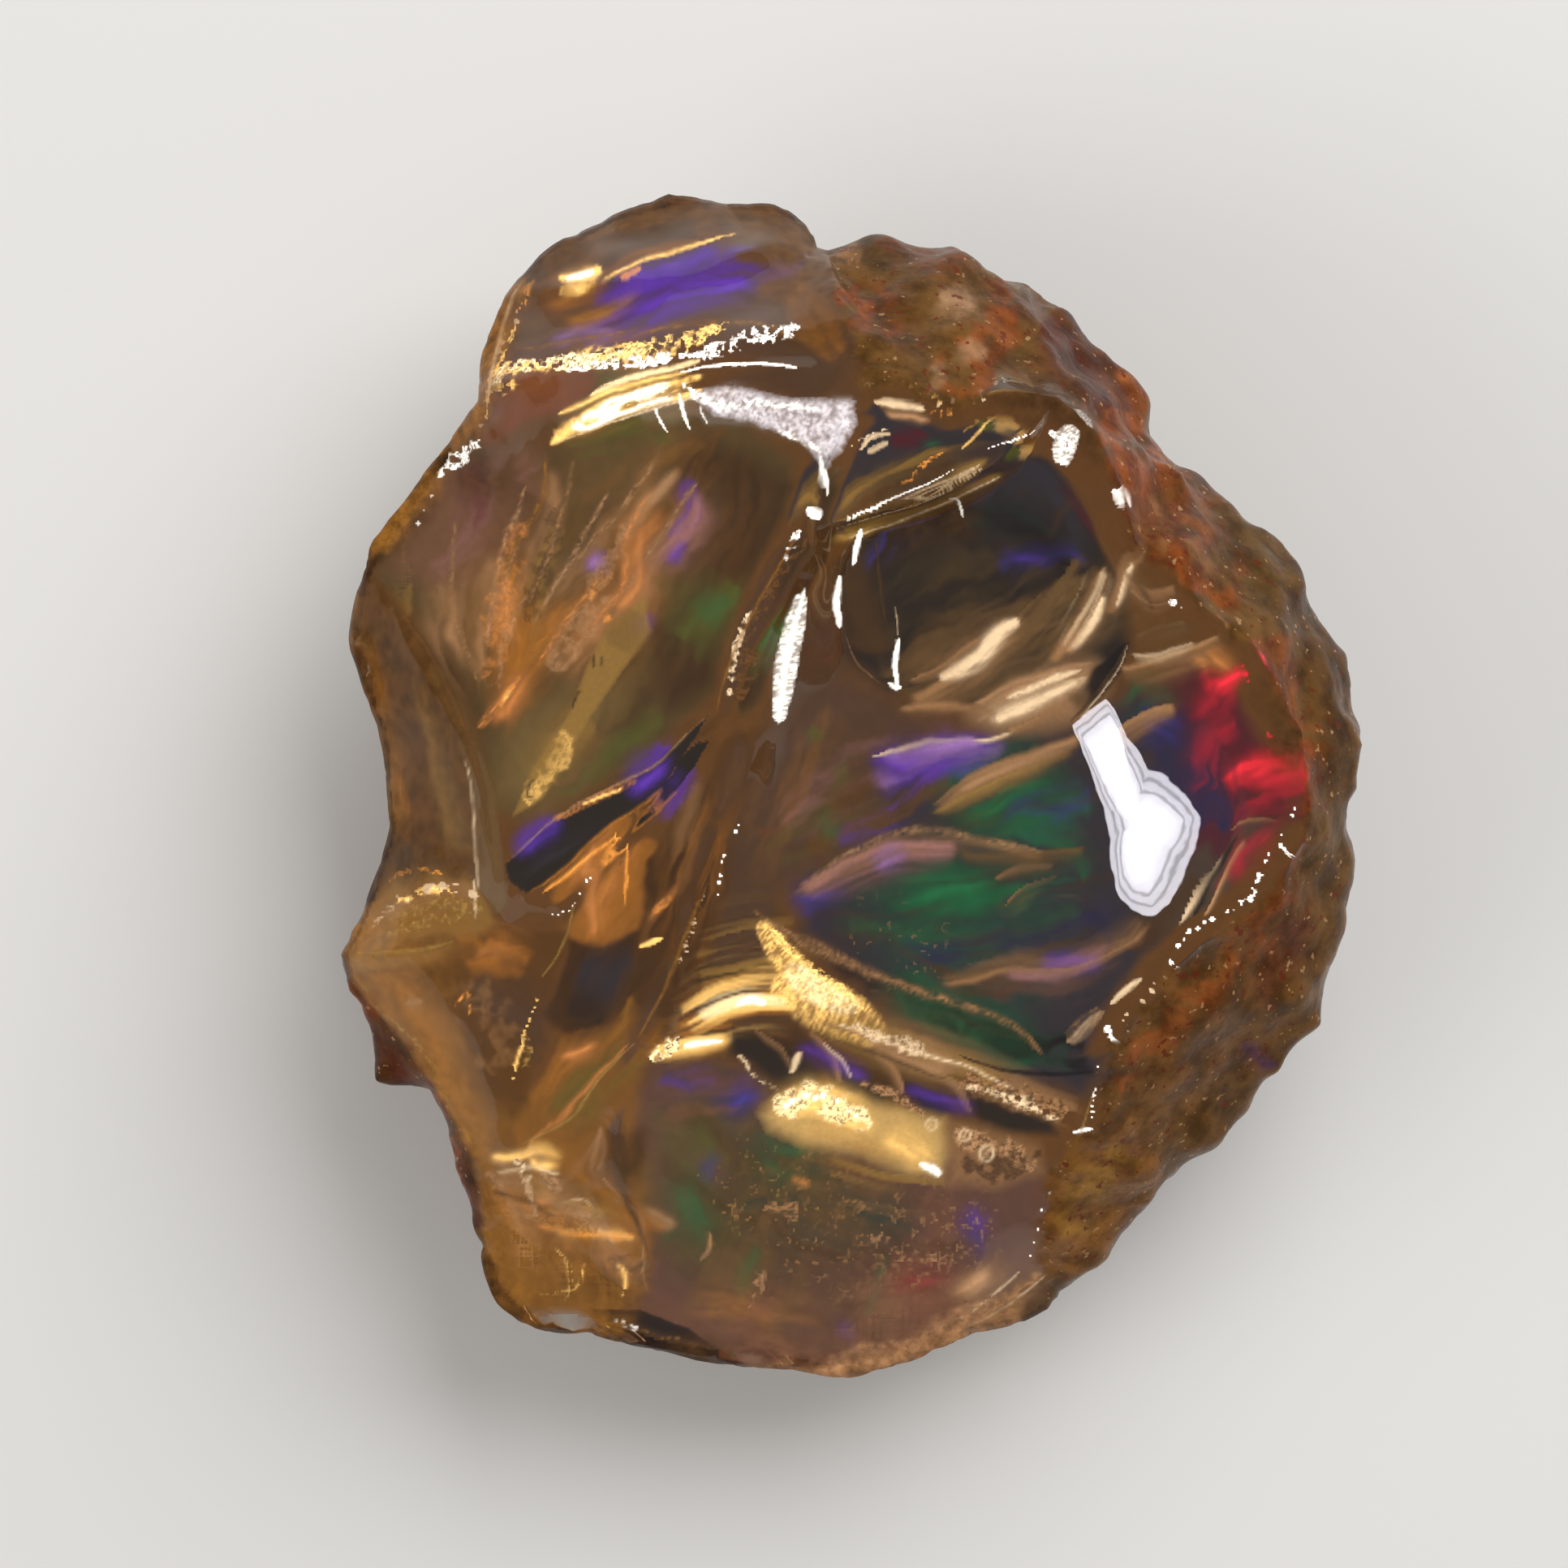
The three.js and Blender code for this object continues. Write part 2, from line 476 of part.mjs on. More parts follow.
// The outline as one closed line that bends only gently between the places where edges meet it
function makeRim() {
  const corners = Object.values(at).map((p) => p.join());
  const stretches = [];
  let stretch = [outline[0]];
  for (const place of [...outline.slice(1), outline[0]]) {
    stretch.push(place);
    if (corners.includes(place.join())) {
      stretches.push(stretch);
      stretch = [place];
    }
  }
  stretches.push(stretch);
  return stretches.flatMap((s, i) => walk(s, rimStep, rimWander, rimSway, i * 1.9 + 0.4).slice(0, -1));
}

function makeStone() {
  const rim = makeRim();
  const edges = Object.values(frontEdges).map((edge, i) => {
    return walk(edge, ridgeStep, edgeWander, edgeWander, i * 2.3 + 0.8);
  });
  const front = makeSurface(rim, edges, frontStep, frontFaces);

  const flat = restFlat.map((p, i) => walk([p, restFlat[(i + 1) % restFlat.length]], backStep, 0, 0, 0));
  const shoulder = walk([...backShoulder, backShoulder[0]], backStep, shoulderWander, shoulderSway, 4.4);
  const offTheFlat = (x, y) => !contains(restFlat, x, y);
  const back = makeSurface(rim, [...flat, shoulder], backStep, backFaces, offTheFlat);

  const made = joinSurfaces(front, back, rim);
  wearRind(made);
  roughen(made);
  const geometry = new THREE.BufferGeometry().setFromPoints(made.points);
  geometry.setIndex(made.triangles.flat());
  geometry.computeBoundingBox();
  const { min, max } = geometry.boundingBox;
  return geometry.translate(-(min.x + max.x) / 2, -(min.y + max.y) / 2, -min.z);
}

const opal = new THREE.Mesh(
  makeStone(),
  new THREE.MeshStandardMaterial({ color: 0x9a6a2c, roughness: 0.12, metalness: 0 }),
);
opal.name = "opal";

const stone = new THREE.Group();
stone.add(opal);

export default stone;
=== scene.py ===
import math

import bpy
import numpy as np
from mathutils import Matrix, Vector
from mathutils.bvhtree import BVHTree
from mathutils.kdtree import KDTree


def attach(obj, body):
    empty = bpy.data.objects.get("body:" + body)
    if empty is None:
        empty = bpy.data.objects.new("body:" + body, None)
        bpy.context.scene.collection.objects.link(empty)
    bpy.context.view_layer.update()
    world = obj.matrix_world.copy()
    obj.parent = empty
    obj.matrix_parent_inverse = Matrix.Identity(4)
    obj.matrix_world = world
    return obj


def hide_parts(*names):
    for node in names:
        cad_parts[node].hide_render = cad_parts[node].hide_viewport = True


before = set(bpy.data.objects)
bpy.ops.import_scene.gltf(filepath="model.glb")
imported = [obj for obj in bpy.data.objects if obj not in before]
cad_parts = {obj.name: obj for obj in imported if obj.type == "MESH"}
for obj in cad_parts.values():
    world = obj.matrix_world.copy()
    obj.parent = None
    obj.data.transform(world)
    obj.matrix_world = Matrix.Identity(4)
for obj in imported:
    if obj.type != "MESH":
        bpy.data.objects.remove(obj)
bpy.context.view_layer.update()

mm = 0.001  # everything below is worked out in millimetres and made in metres
print("frame loaded")

# Camera
# looks straight down on the broken front, as the stone is laid on its back
camera = {
    "over": (-1.82, 0.15),  # the point that it stands over
    "height": 247.0,
    "midHeight": 7.0,  # the height at which the frame is measured
    "frameWidth": 42.504,
    "sensor": 36,
}
eye = bpy.data.objects.new("camera", bpy.data.cameras.new("camera"))
eye.location = (camera["over"][0] * mm, camera["over"][1] * mm, camera["height"] * mm)
eye.data.sensor_width = camera["sensor"]
eye.data.lens = camera["sensor"] * (camera["height"] - camera["midHeight"]) / camera["frameWidth"]
bpy.context.scene.collection.objects.link(eye)
bpy.context.scene.camera = eye


def shrunk(z):
    # how a length at a height compares with what it shows as at the middle height
    return 1 - (z - camera["midHeight"]) / (camera["height"] - camera["midHeight"])


def seenAt(points):
    # where points show from the camera, in plan at the middle height
    return camera["over"] + (points[:, :2] - camera["over"]) / shrunk(points[:, 2:])


# Shader maths
class Wire:
    # one socket that can stand in a sum
    def __init__(self, finish, socket):
        self.finish, self.socket = finish, socket

    def math(self, operation, *terms):
        return self.finish.add("ShaderNodeMath", {"operation": operation}, dict(enumerate(terms)))

    def between(self, low, high):
        # 0 at low, 1 at high, smooth on the way
        return self.finish.add("ShaderNodeMapRange", {"interpolation_type": "SMOOTHSTEP"},
                               {"Value": self, "From Min": low, "From Max": high})


for sign, operation in (
        ("add", "ADD"), ("sub", "SUBTRACT"), ("mul", "MULTIPLY"), ("truediv", "DIVIDE"), ("pow", "POWER")):
    setattr(Wire, "__%s__" % sign, lambda self, other, does=operation: self.math(does, self, other))
    setattr(Wire, "__r%s__" % sign, lambda self, other, does=operation: self.math(does, other, self))


class Finish:
    # one material, or one lamp, and its nodes
    def __init__(self, name, lamp=None):
        self.lamp = lamp
        self.material = lamp or bpy.data.materials.new(name)
        self.material.use_nodes = True
        self.tree = self.material.node_tree
        self.tree.nodes.clear()

    def add(self, kind, settings, sockets, out=0):
        node = self.tree.nodes.new(kind)
        for key, value in settings.items():
            if key == "stops":
                ramp = node.color_ramp
                while len(ramp.elements) < len(value):
                    ramp.elements.new(0.5)
                for stop, (place, colour) in zip(ramp.elements, value):
                    stop.position = place
                    stop.color = (*colour, 1)
            else:
                setattr(node, key, value)
        for key, value in sockets.items():
            if isinstance(value, Wire):
                self.tree.links.new(value.socket, node.inputs[key])
            else:
                node.inputs[key].default_value = value
        return Wire(self, node.outputs[out])

    def place(self):
        # where the point lies, in millimetres
        spot = self.add("ShaderNodeTexCoord", {}, {}, "Object")
        return self.add("ShaderNodeVectorMath", {"operation": "SCALE"}, {0: spot, "Scale": 1 / mm})

    def noise(self, size, detail=3.0, roughness=0.55, at=None):
        return self.add("ShaderNodeTexNoise", {}, {
            "Vector": at or self.place(), "Scale": 1 / size, "Detail": detail, "Roughness": roughness})

    def mask(self, name):
        return self.add("ShaderNodeAttribute", {"attribute_name": name}, {}, "Fac")

    def colour(self, name):
        return self.add("ShaderNodeAttribute", {"attribute_name": name}, {}, "Color")

    def mix(self, factor, first, second, blend="MIX"):
        first, second = ((*tone, 1) if isinstance(tone, tuple) else tone for tone in (first, second))
        return self.add("ShaderNodeMix", {"data_type": "RGBA", "blend_type": blend},
                        {0: factor, 6: first, 7: second}, 2)

    def finish(self, surface, volume=None):
        output = self.tree.nodes.new("ShaderNodeOutputLight" if self.lamp else "ShaderNodeOutputMaterial")
        self.tree.links.new(surface.socket, output.inputs["Surface"])
        if volume:
            self.tree.links.new(volume.socket, output.inputs["Volume"])
        if not self.lamp:  # what glows is seen, but isn't sampled as a lamp
            self.material.cycles.emission_sampling = "NONE"
        return self.material


# Strokes of colour
shuffled = np.random.default_rng(11).permutation(256)
slopes = np.random.default_rng(12).normal(size=(256, 3))
slopes /= np.linalg.norm(slopes, axis=1, keepdims=True)


def lumps(points, size, seed=0.0):
    # smooth noise with lumps of one size, about -0.6 to 0.6
    spot = points / size + seed * np.array([1.0, 1.7, -1.3])
    cell = np.floor(spot).astype(int)
    t = spot - cell
    ease = t * t * t * (t * (t * 6 - 15) + 10)
    total = np.zeros(len(points))
    for corner in np.ndindex(2, 2, 2):
        c = cell + corner
        pick = shuffled[(shuffled[(shuffled[c[:, 0] & 255] + c[:, 1]) & 255] + c[:, 2]) & 255]
        share = np.prod(np.where(corner, ease, 1 - ease), axis=1)
        total += share * np.einsum("ij,ij->i", slopes[pick], t - corner)
    return total


def within(polygon, xy):
    # which points lie inside a polygon in plan
    inside = np.zeros(len(xy), bool)
    x, y = xy[:, 0], xy[:, 1]
    for (xi, yi), (xj, yj) in zip(polygon, polygon[-1:] + polygon[:-1]):
        crosses = (yi > y) != (yj > y)
        at = (xj - xi) * (y - yi) / ((yj - yi) or 1e-12) + xi
        inside ^= crosses & (x < at)
    return inside


def awayFrom(line, xy):
    # distance of each point from a line in plan
    best = np.full(len(xy), 1e9)
    for a, b in zip(line[:-1], line[1:]):
        a, b = np.array(a[:2]), np.array(b[:2])
        t = np.clip(((xy - a) @ (b - a)) / max((b - a) @ (b - a), 1e-12), 0, 1)
        best = np.minimum(best, np.linalg.norm(xy - a - t[:, None] * (b - a), axis=1))
    return best


def depthIn(polygon, xy, edge=None):
    # how far inside a polygon each point lies, measured from a part of its edge or the whole of it
    return np.where(within(polygon, xy), 1, -1) * awayFrom(edge or polygon + polygon[:1], xy)


def step(low, high, value):
    # 0 at low, 1 at high, smooth on the way
    t = np.clip((value - low) / (high - low), 0, 1)
    return t * t * (3 - 2 * t)


def smoothLine(spots, pieces=6):
    # a smooth line through given spots
    p = np.array(spots, float)
    if len(p) < 3:
        return np.linspace(p[0], p[-1], pieces + 1)
    ends = np.concatenate([[2 * p[0] - p[1]], p, [2 * p[-1] - p[-2]]])
    t = np.linspace(0, 1, pieces, endpoint=False)[:, None]
    runs = [0.5 * (2 * b + (c - a) * t + (2 * a - 5 * b + 4 * c - d) * t ** 2
                   + (3 * b - a - 3 * c + d) * t ** 3)
            for a, b, c, d in zip(ends, ends[1:], ends[2:], ends[3:])]
    return np.concatenate(runs + [p[-1:]])


def beside(xy, line):
    # how far along a line each point lies and how far to its side
    a, run = line[:-1], np.diff(line, axis=0)
    length = np.linalg.norm(run, axis=1)
    start = np.concatenate([[0], np.cumsum(length)[:-1]])
    off = xy[:, None] - a[None]
    t = np.clip((off * run).sum(2) / length ** 2, 0, 1)
    gap = ((off - t[..., None] * run) ** 2).sum(2)
    best = np.argmin(gap, axis=1)
    rows = np.arange(len(xy))
    side = np.sign(run[best, 0] * off[rows, best, 1] - run[best, 1] * off[rows, best, 0])
    return start[best] + t[rows, best] * length[best], side * np.sqrt(gap[rows, best]), length.sum()


def strokeOn(spots, kind, halfWidth, line, seed):
    # how strongly one stroke covers each spot
    def grains(size, shift):
        return np.column_stack([spots[near] / size, np.full(len(near), shift)])

    if kind == "ring":
        near = np.arange(len(spots))
        reach = np.zeros(len(spots))
        for number, middle in enumerate(line):
            size = halfWidth * (0.6 + 0.5 * shuffled[(number * 7 + seed) & 255] / 255)
            off = np.linalg.norm(spots - middle, axis=1) / size
            reach = np.maximum(reach, np.exp(-((off - 1) / 0.25) ** 2) + 0.5 * np.exp(-(off / 0.3) ** 2))
        return near, reach
    if kind in ("patch", "zone", "frost"):
        corners = np.array(line)
        low, high = corners.min(0) - halfWidth, corners.max(0) + halfWidth
        near = np.flatnonzero(np.all((spots > low) & (spots < high), axis=1))
        reach = step(-halfWidth, halfWidth, depthIn(line, spots[near]))
        if kind == "frost":
            place = grains(grainSizes["frost"], 0.0)
            reach *= 0.25 + 0.75 * step(-0.45, 0.25, lumps(place, 1.0) + 0.7 * lumps(place, 2.6, 3.0))
        return near, reach
    line = smoothLine(line)
    room = halfWidth * 2.6
    low, high = line.min(0) - room, line.max(0) + room
    near = np.flatnonzero(np.all((spots > low) & (spots < high), axis=1))
    along, side, total = beside(spots[near], line)
    taper = np.sqrt(np.sin(np.pi * np.clip(along / total, 0.004, 0.996)))
    width = halfWidth * (0.3 + 0.7 * taper)
    body = np.exp(-(side / width) ** 2) * step(0.0, 0.4, taper)
    u, v = along / halfWidth, side / halfWidth

    def grain(stretch, fine, part):
        return lumps(np.stack([u * fine / stretch, v * fine, np.full(len(u), seed * 3.7 + part)], 1), 1.0)

    def streaks(length, thick, part):
        return lumps(np.stack([along / length, side / thick, np.full(len(u), seed * 2.3 + part)], 1), 1.0)

    if kind == "haze":
        reach = body * (0.9 + 0.5 * grain(2, 1.2, 0))
    elif kind == "flame":
        reach = body * np.clip(0.75 + 1.2 * grain(6, 2.2, 0) + 0.9 * grain(12, 6, 1), 0, 1.6)
    elif kind == "flare":
        ends = np.minimum(step(-0.3, 1.6, u), step(-0.3, 1.6, total / halfWidth - u))
        streak = 0.85 + 1.0 * streaks(3.0, 0.5, 0) + 0.7 * streaks(1.6, 0.18, 1)
        reach = ends * body * np.clip(streak, 0, 1.6)
    elif kind == "fan":
        fade = step(0.25, -0.15, side / width) * np.exp(-np.abs(np.minimum(side, 0) / (1.2 * width)) ** 3)
        streak = 0.8 + 1.0 * streaks(3.5, 0.4, 0) + 0.7 * streaks(2.2, 0.14, 1)
        reach = fade * step(0.0, 0.45, taper) * np.clip(streak, 0, 1.5)
    elif kind == "veils":
        streak = streaks(3.6, 0.8, 0) + 0.6 * streaks(1.8, 0.32, 1) + 0.4 * streaks(1.2, 0.13, 2)
        reach = body * step(-0.25, 0.55, streak)
    elif kind == "shade":
        reach = body * step(0.0, 0.5, streaks(4.5, 0.6, 0) + 0.6 * streaks(2.2, 0.25, 1))
    elif kind == "strata":
        reach = body * step(-0.1, 0.3, streaks(6, 0.28, 0) + 0.6 * streaks(4, 0.12, 1))
    elif kind == "dust":
        place = grains(grainSizes["dust"], seed * 1.3)
        reach = body * step(0.18, 0.42, lumps(place, 1.0) + 0.5 * lumps(place, 4.0))
    elif kind == "beads":
        gap = 2.6 * halfWidth
        cell = np.floor(along / gap).astype(int)
        chance = shuffled[(cell * 3 + seed * 17) & 255] / 255
        drift = shuffled[(cell * 5 + seed * 29) & 255] / 128 - 1
        off = np.hypot(along - (cell + 0.5) * gap, side - halfWidth * 0.8 * drift)
        reach = step(1.15, 0.75, off / (halfWidth * (0.25 + 0.95 * chance)))
    elif kind == "gleam":
        reach = step(0.1, 1.05, body * (1 + 0.5 * grain(4, 2, 0) + 0.4 * grain(6, 5, 1)))
    elif kind == "comb":
        teeth = step(-0.2, 0.3, grain(0.16, 1.2, 0) + 0.5 * grain(3, 1.0, 1))
        reach = step(0.15, 0.5, body) * (0.2 + 0.8 * teeth)
    elif kind == "crust":
        place = grains(max(grainSizes["crust"], 0.55 * halfWidth), seed * 1.9)
        lump = lumps(place, 1.0) + 0.5 * lumps(place, 3.0)
        reach = step(0.28, 0.6, body * (0.7 + 1.5 * lump))
    elif kind == "line":
        uneven = np.clip(1 + 0.9 * grain(9, 1.5, 0), 0.2, 1.3)
        reach = np.exp(-(side / width) ** 2) * step(0.0, 0.25, taper) * uneven
    return near, reach


def painted(spots, plan):
    # the colour, the cover and the graininess of each spot of a sheet
    flat = np.column_stack([spots, np.zeros(len(spots))])
    bend = np.zeros_like(spots)
    for size, shift in plan["bends"]:
        bend += np.stack([lumps(flat, size, size), lumps(flat, size, size + 5)], 1) * shift
    cover = np.full((len(spots), 1), float(plan["cover"]))
    colour = cover * np.array(tones[plan["tone"]])
    grit = np.zeros(len(spots))
    for number, (tone, strength, halfWidth, kind, *line) in enumerate(plan["strokes"]):
        bent = spots + bend * bendsOf.get(kind, 1.0)
        near, reach = strokeOn(bent, kind, halfWidth, line, number)
        w = np.clip(strength * reach, 0, 1)[:, None]
        heat = 0.5 + 0.6 * reach[:, None] if kind in hot else 1.0
        colour[near] = colour[near] * (1 - w) + w * heat * np.array(tones[tone])
        cover[near] = cover[near] * (1 - w) + w
        grit[near] = grit[near] * (1 - w[:, 0]) + w[:, 0] * gritty.get(kind, 0.0)
    return colour / np.maximum(cover, 1e-6), cover[:, 0], grit


bendsOf = {  # how far the edges of each kind wander
    "line": 0.3, "comb": 0.3, "gleam": 0.3, "patch": 0.15, "zone": 0.5, "flame": 0.45, "veils": 0.8,
    "strata": 0.3, "flare": 0.6, "fan": 0.4, "ring": 0.1, "beads": 0.2, "frost": 0.7,
}
# on the glowing sheets, this brighter middle is painted glare
hot = ("gleam", "crust", "flame", "line", "fan", "flare")  # kinds that are brighter in the middle
gritty = {"crust": 1.0, "dust": 0.6, "frost": 0.5, "comb": 0.3}  # how grainy the kinds are
grainSizes = {"frost": 0.11, "dust": 0.12, "crust": 0.15}
glow = 2.0  # light given off by the sheets, for a tone of 1
# over 1 is painted glare: the bright tones carry the painted gleams and highlights
tones = {  # as they show, in linear light; over 1 is a glare
    "black": (0.008, 0.007, 0.008), "night": (0.03, 0.026, 0.034), "dusk": (0.062, 0.045, 0.034),
    "umber": (0.064, 0.032, 0.012), "brown": (0.12, 0.052, 0.014), "mauve": (0.11, 0.055, 0.042),
    "olive": (0.08, 0.052, 0.018), "sepia": (0.14, 0.078, 0.028), "russet": (0.17, 0.052, 0.018),
    "tan": (0.3, 0.155, 0.066), "peach": (0.44, 0.24, 0.115), "cream": (0.95, 0.7, 0.43),
    "honey": (0.26, 0.112, 0.018), "straw": (0.3, 0.17, 0.04), "amber": (0.4, 0.15, 0.02),
    "orange": (0.56, 0.21, 0.055), "fire": (1.1, 0.42, 0.07), "gold": (1.5, 0.9, 0.26),
    "paleGold": (1.5, 1.15, 0.62), "white": (2.0, 1.9, 1.75), "violet": (0.11, 0.035, 0.42),
    "lilac": (0.3, 0.15, 0.42), "rose": (0.33, 0.15, 0.15), "plum": (0.13, 0.02, 0.035),
    "blue": (0.045, 0.035, 0.23), "navy": (0.022, 0.02, 0.06), "green": (0.012, 0.12, 0.045),
    "moss": (0.08, 0.095, 0.018), "teal": (0.02, 0.046, 0.036), "crimson": (0.42, 0.016, 0.035),
    "red": (0.9, 0.03, 0.05), "wine": (0.075, 0.012, 0.02), "khaki": (0.15, 0.082, 0.028),
    "rust": (0.26, 0.07, 0.018), "darkRust": (0.085, 0.018, 0.007), "chalk": (0.4, 0.26, 0.18),
    "clay": (0.18, 0.08, 0.045), "silver": (0.98, 0.9, 0.95),
    "sand": (0.21, 0.14, 0.048), "soot": (0.02, 0.015, 0.012),
    "brass": (0.62, 0.39, 0.13), "bark": (0.04, 0.018, 0.006),
    "mocha": (0.078, 0.042, 0.024), "chestnut": (0.09, 0.038, 0.008),
}

# Stone: shape
stone = {
    "creaseFrom": 20, "creaseTo": 38,  # the angles over which a fold turns into a crisp fracture edge
    "rounds": 2,  # how often every triangle is divided
    "rindGrit": ((1.4, 0.10), (0.6, 0.06), (0.25, 0.018)),  # size and height of the grit of the rind
    "rindWaves": ((0.8, 0.35, 3.0), (0.3, 0.2, 7.0)),  # size, height and seed of the waves of its edge
    "rindEdge": (-0.18, 0.12),  # how far out and in that edge fades, on the right
    "rustEdge": (-0.15, 0.1),  # and on the lower left
    "backFrom": (0.9, 2.6),  # how far in from the rim the rind of the back begins
    "rimSlope": 0.25,  # the rim is where the surface faces up or down by less than this
    "waveHeight": 0.018,  # of the waves on the clean fractures
    "waves": ((2.2, 1.0, 4.0), (0.9, 0.5, 6.0)),  # size, share and seed
    "nickSize": 0.5,
    "nickDepth": 0.07,  # how deep the edges are nicked
    "foot": 0.3,  # up to this height nothing is raised, so that the stone lies flat
}
bowl = {  # the smooth part of the great hollow in which the big white gleam shows
    "outline": [
        (5.97, 1.75), (6.34, 2.04), (6.92, 2.48), (7.44, 1.45), (8.02, 0.57), (8.9, 0.0), (9.49, -0.75),
        (9.42, -1.33), (9.12, -2.07), (8.9, -2.65), (8.46, -3.24), (8.17, -3.46), (7.58, -3.3),
        (7.22, -2.87), (7.07, -2.2), (7.03, -1.33), (6.85, -0.45), (6.48, 0.57), (6.19, 1.31),
    ],
    "reach": (0.3, 1.0),  # how far past the outline the stone is smoothed
    "fitReach": 0.35,  # how far past it the stone is measured for the smooth form
    "facing": 0.2,  # the surface there faces up by more than this
    "tilt": 0.05,
    "hollow": (0.04, 0.02),  # how much deeper it is curved, across and along
}
rindEdge = [  # the edge of the rusty rind on the right, from the notch at the top to the foot
    (-0.6, 14.5), (-0.2, 12.6), (0.2, 11.4), (0.2, 10.5), (0.9, 10.8), (1.9, 10.4), (2.9, 10.1), (3.9, 11.0),
    (5.2, 10.9), (6.0, 10.2), (6.8, 8.8), (7.3, 7.1), (7.5, 6.4), (8.4, 5.8), (9.2, 4.9), (10.5, 3.9),
    (11.2, 2.8), (11.9, 1.6), (12.1, 0.3), (12.1, -1.0), (11.8, -1.9), (10.6, -3.2), (9.3, -4.1),
    (8.4, -4.9), (7.6, -5.9), (7.0, -6.8), (6.8, -7.9), (6.5, -9.2), (5.9, -9.5), (5.4, -10.3), (5.2, -11.5),
    (5.2, -12.9), (5.4, -14.2),
]
rindOutline = rindEdge + [(5.6, -20.0), (20.0, -20.0), (20.0, 20.0), (-0.6, 20.0)]
rustEdge = [  # the edge of the rusty band on the lower left
    (-13.7, -5.1), (-13.0, -5.8), (-12.0, -7.0), (-11.1, -8.3), (-10.4, -9.8), (-10.0, -11.2),
    (-10.1, -12.5),
]
rustOutline = [(-20.0, -5.1)] + rustEdge + [(-12.0, -14.0), (-20.0, -14.0)]


def weld(mesh):
    # the points and triangles of a mesh, with doubled points made one
    co = np.empty(len(mesh.vertices) * 3)
    mesh.vertices.foreach_get("co", co)
    co = co.reshape(-1, 3) / mm
    mesh.calc_loop_triangles()
    tri = np.empty(len(mesh.loop_triangles) * 3, dtype=np.int32)
    mesh.loop_triangles.foreach_get("vertices", tri)
    spots, index = np.unique(np.round(co, 4), axis=0, return_inverse=True)
    tri = index.reshape(-1)[tri].reshape(-1, 3)
    good = (tri[:, 0] != tri[:, 1]) & (tri[:, 1] != tri[:, 2]) & (tri[:, 2] != tri[:, 0])
    return spots, tri[good]


def faceNormals(points, faces):
    # the way that each triangle faces
    a, b, c = (points[faces[:, k]] for k in range(3))
    n = np.cross(b - a, c - a)
    return n / np.maximum(np.linalg.norm(n, axis=1, keepdims=True), 1e-12)


def pointNormals(points, faces):
    # the way that the surface faces at each point
    a, b, c = (points[faces[:, k]] for k in range(3))
    n = np.cross(b - a, c - a)
    total = np.zeros_like(points)
    for k in range(3):
        np.add.at(total, faces[:, k], n)
    return total / np.maximum(np.linalg.norm(total, axis=1, keepdims=True), 1e-12)


def edgesOf(faces):
    # every edge once, and the three edges of each triangle
    sides = np.sort(faces[:, [0, 1, 1, 2, 2, 0]].reshape(-1, 2), axis=1)
    edges, index = np.unique(sides, axis=0, return_inverse=True)
    return edges, index.reshape(-1, 3)


def foldOf(points, faces):
    # how crisp each edge is, from the angle between its two faces
    edges, index = edgesOf(faces)
    n = faceNormals(points, faces)
    total = np.zeros((len(edges), 3))
    for k in range(3):
        np.add.at(total, index[:, k], n)
    half = np.clip(np.linalg.norm(total, axis=1) / 2, 0, 1)  # the cosine of half the angle
    angle = 2 * np.degrees(np.arccos(half))
    return edges, np.clip((angle - stone["creaseFrom"]) / (stone["creaseTo"] - stone["creaseFrom"]), 0, 1)


def divide(points, faces, crisp):
    # every triangle into four, rounding all but the crisp edges
    edges, index = edgesOf(faces)
    p0, p1 = points[edges[:, 0]], points[edges[:, 1]]
    across = np.zeros_like(p0)
    for k, far in enumerate((2, 0, 1)):
        np.add.at(across, index[:, k], points[faces[:, far]])
    w = crisp[:, None]
    middle = w * (p0 + p1) / 2 + (1 - w) * ((p0 + p1) * 3 / 8 + across / 8)
    count = np.zeros(len(points))
    total = np.zeros_like(points)
    edgeCount = np.zeros(len(points))
    edgeTotal = np.zeros_like(points)
    for a, b in ((0, 1), (1, 0)):
        np.add.at(count, edges[:, a], 1)
        np.add.at(total, edges[:, a], points[edges[:, b]])
        np.add.at(edgeCount, edges[:, a], crisp)
        np.add.at(edgeTotal, edges[:, a], points[edges[:, b]] * w)
    beta = np.where(count == 3, 3 / 16, 3 / (8 * count))
    smooth = (1 - count * beta)[:, None] * points + beta[:, None] * total
    along = 0.75 * points + 0.25 * edgeTotal / np.maximum(edgeCount, 1e-9)[:, None]
    onEdge = np.clip(edgeCount - 1, 0, 1)[:, None]  # a point with two crisp edges follows them
    corner = np.clip(edgeCount - 2, 0, 1)[:, None]  # and one with three stays
    moved = smooth * (1 - onEdge) + onEdge * (along * (1 - corner) + points * corner)
    m = index + len(points)
    f = faces
    finer = np.concatenate([
        np.stack([f[:, 0], m[:, 0], m[:, 2]], 1), np.stack([f[:, 1], m[:, 1], m[:, 0]], 1),
        np.stack([f[:, 2], m[:, 2], m[:, 1]], 1), m])
    own = np.arange(len(edges)) + len(points)
    known = {}
    for (a, b), c, mid in zip(edges, crisp, own):
        if c > 0:
            known[(a, mid)] = c
            known[(b, mid)] = c
    newEdges, _ = edgesOf(finer)
    newCrisp = np.array([known.get((a, b), 0.0) for a, b in newEdges])
    return np.concatenate([moved, middle]), finer, newCrisp


def bowlTerms(xy):
    # what the six numbers of the bowl's form are multiplied by at each point
    x, y = xy[:, 0] - bowl["middle"][0], xy[:, 1] - bowl["middle"][1]
    return np.stack([np.ones(len(x)), x, y, x * x, x * y, y * y], 1)


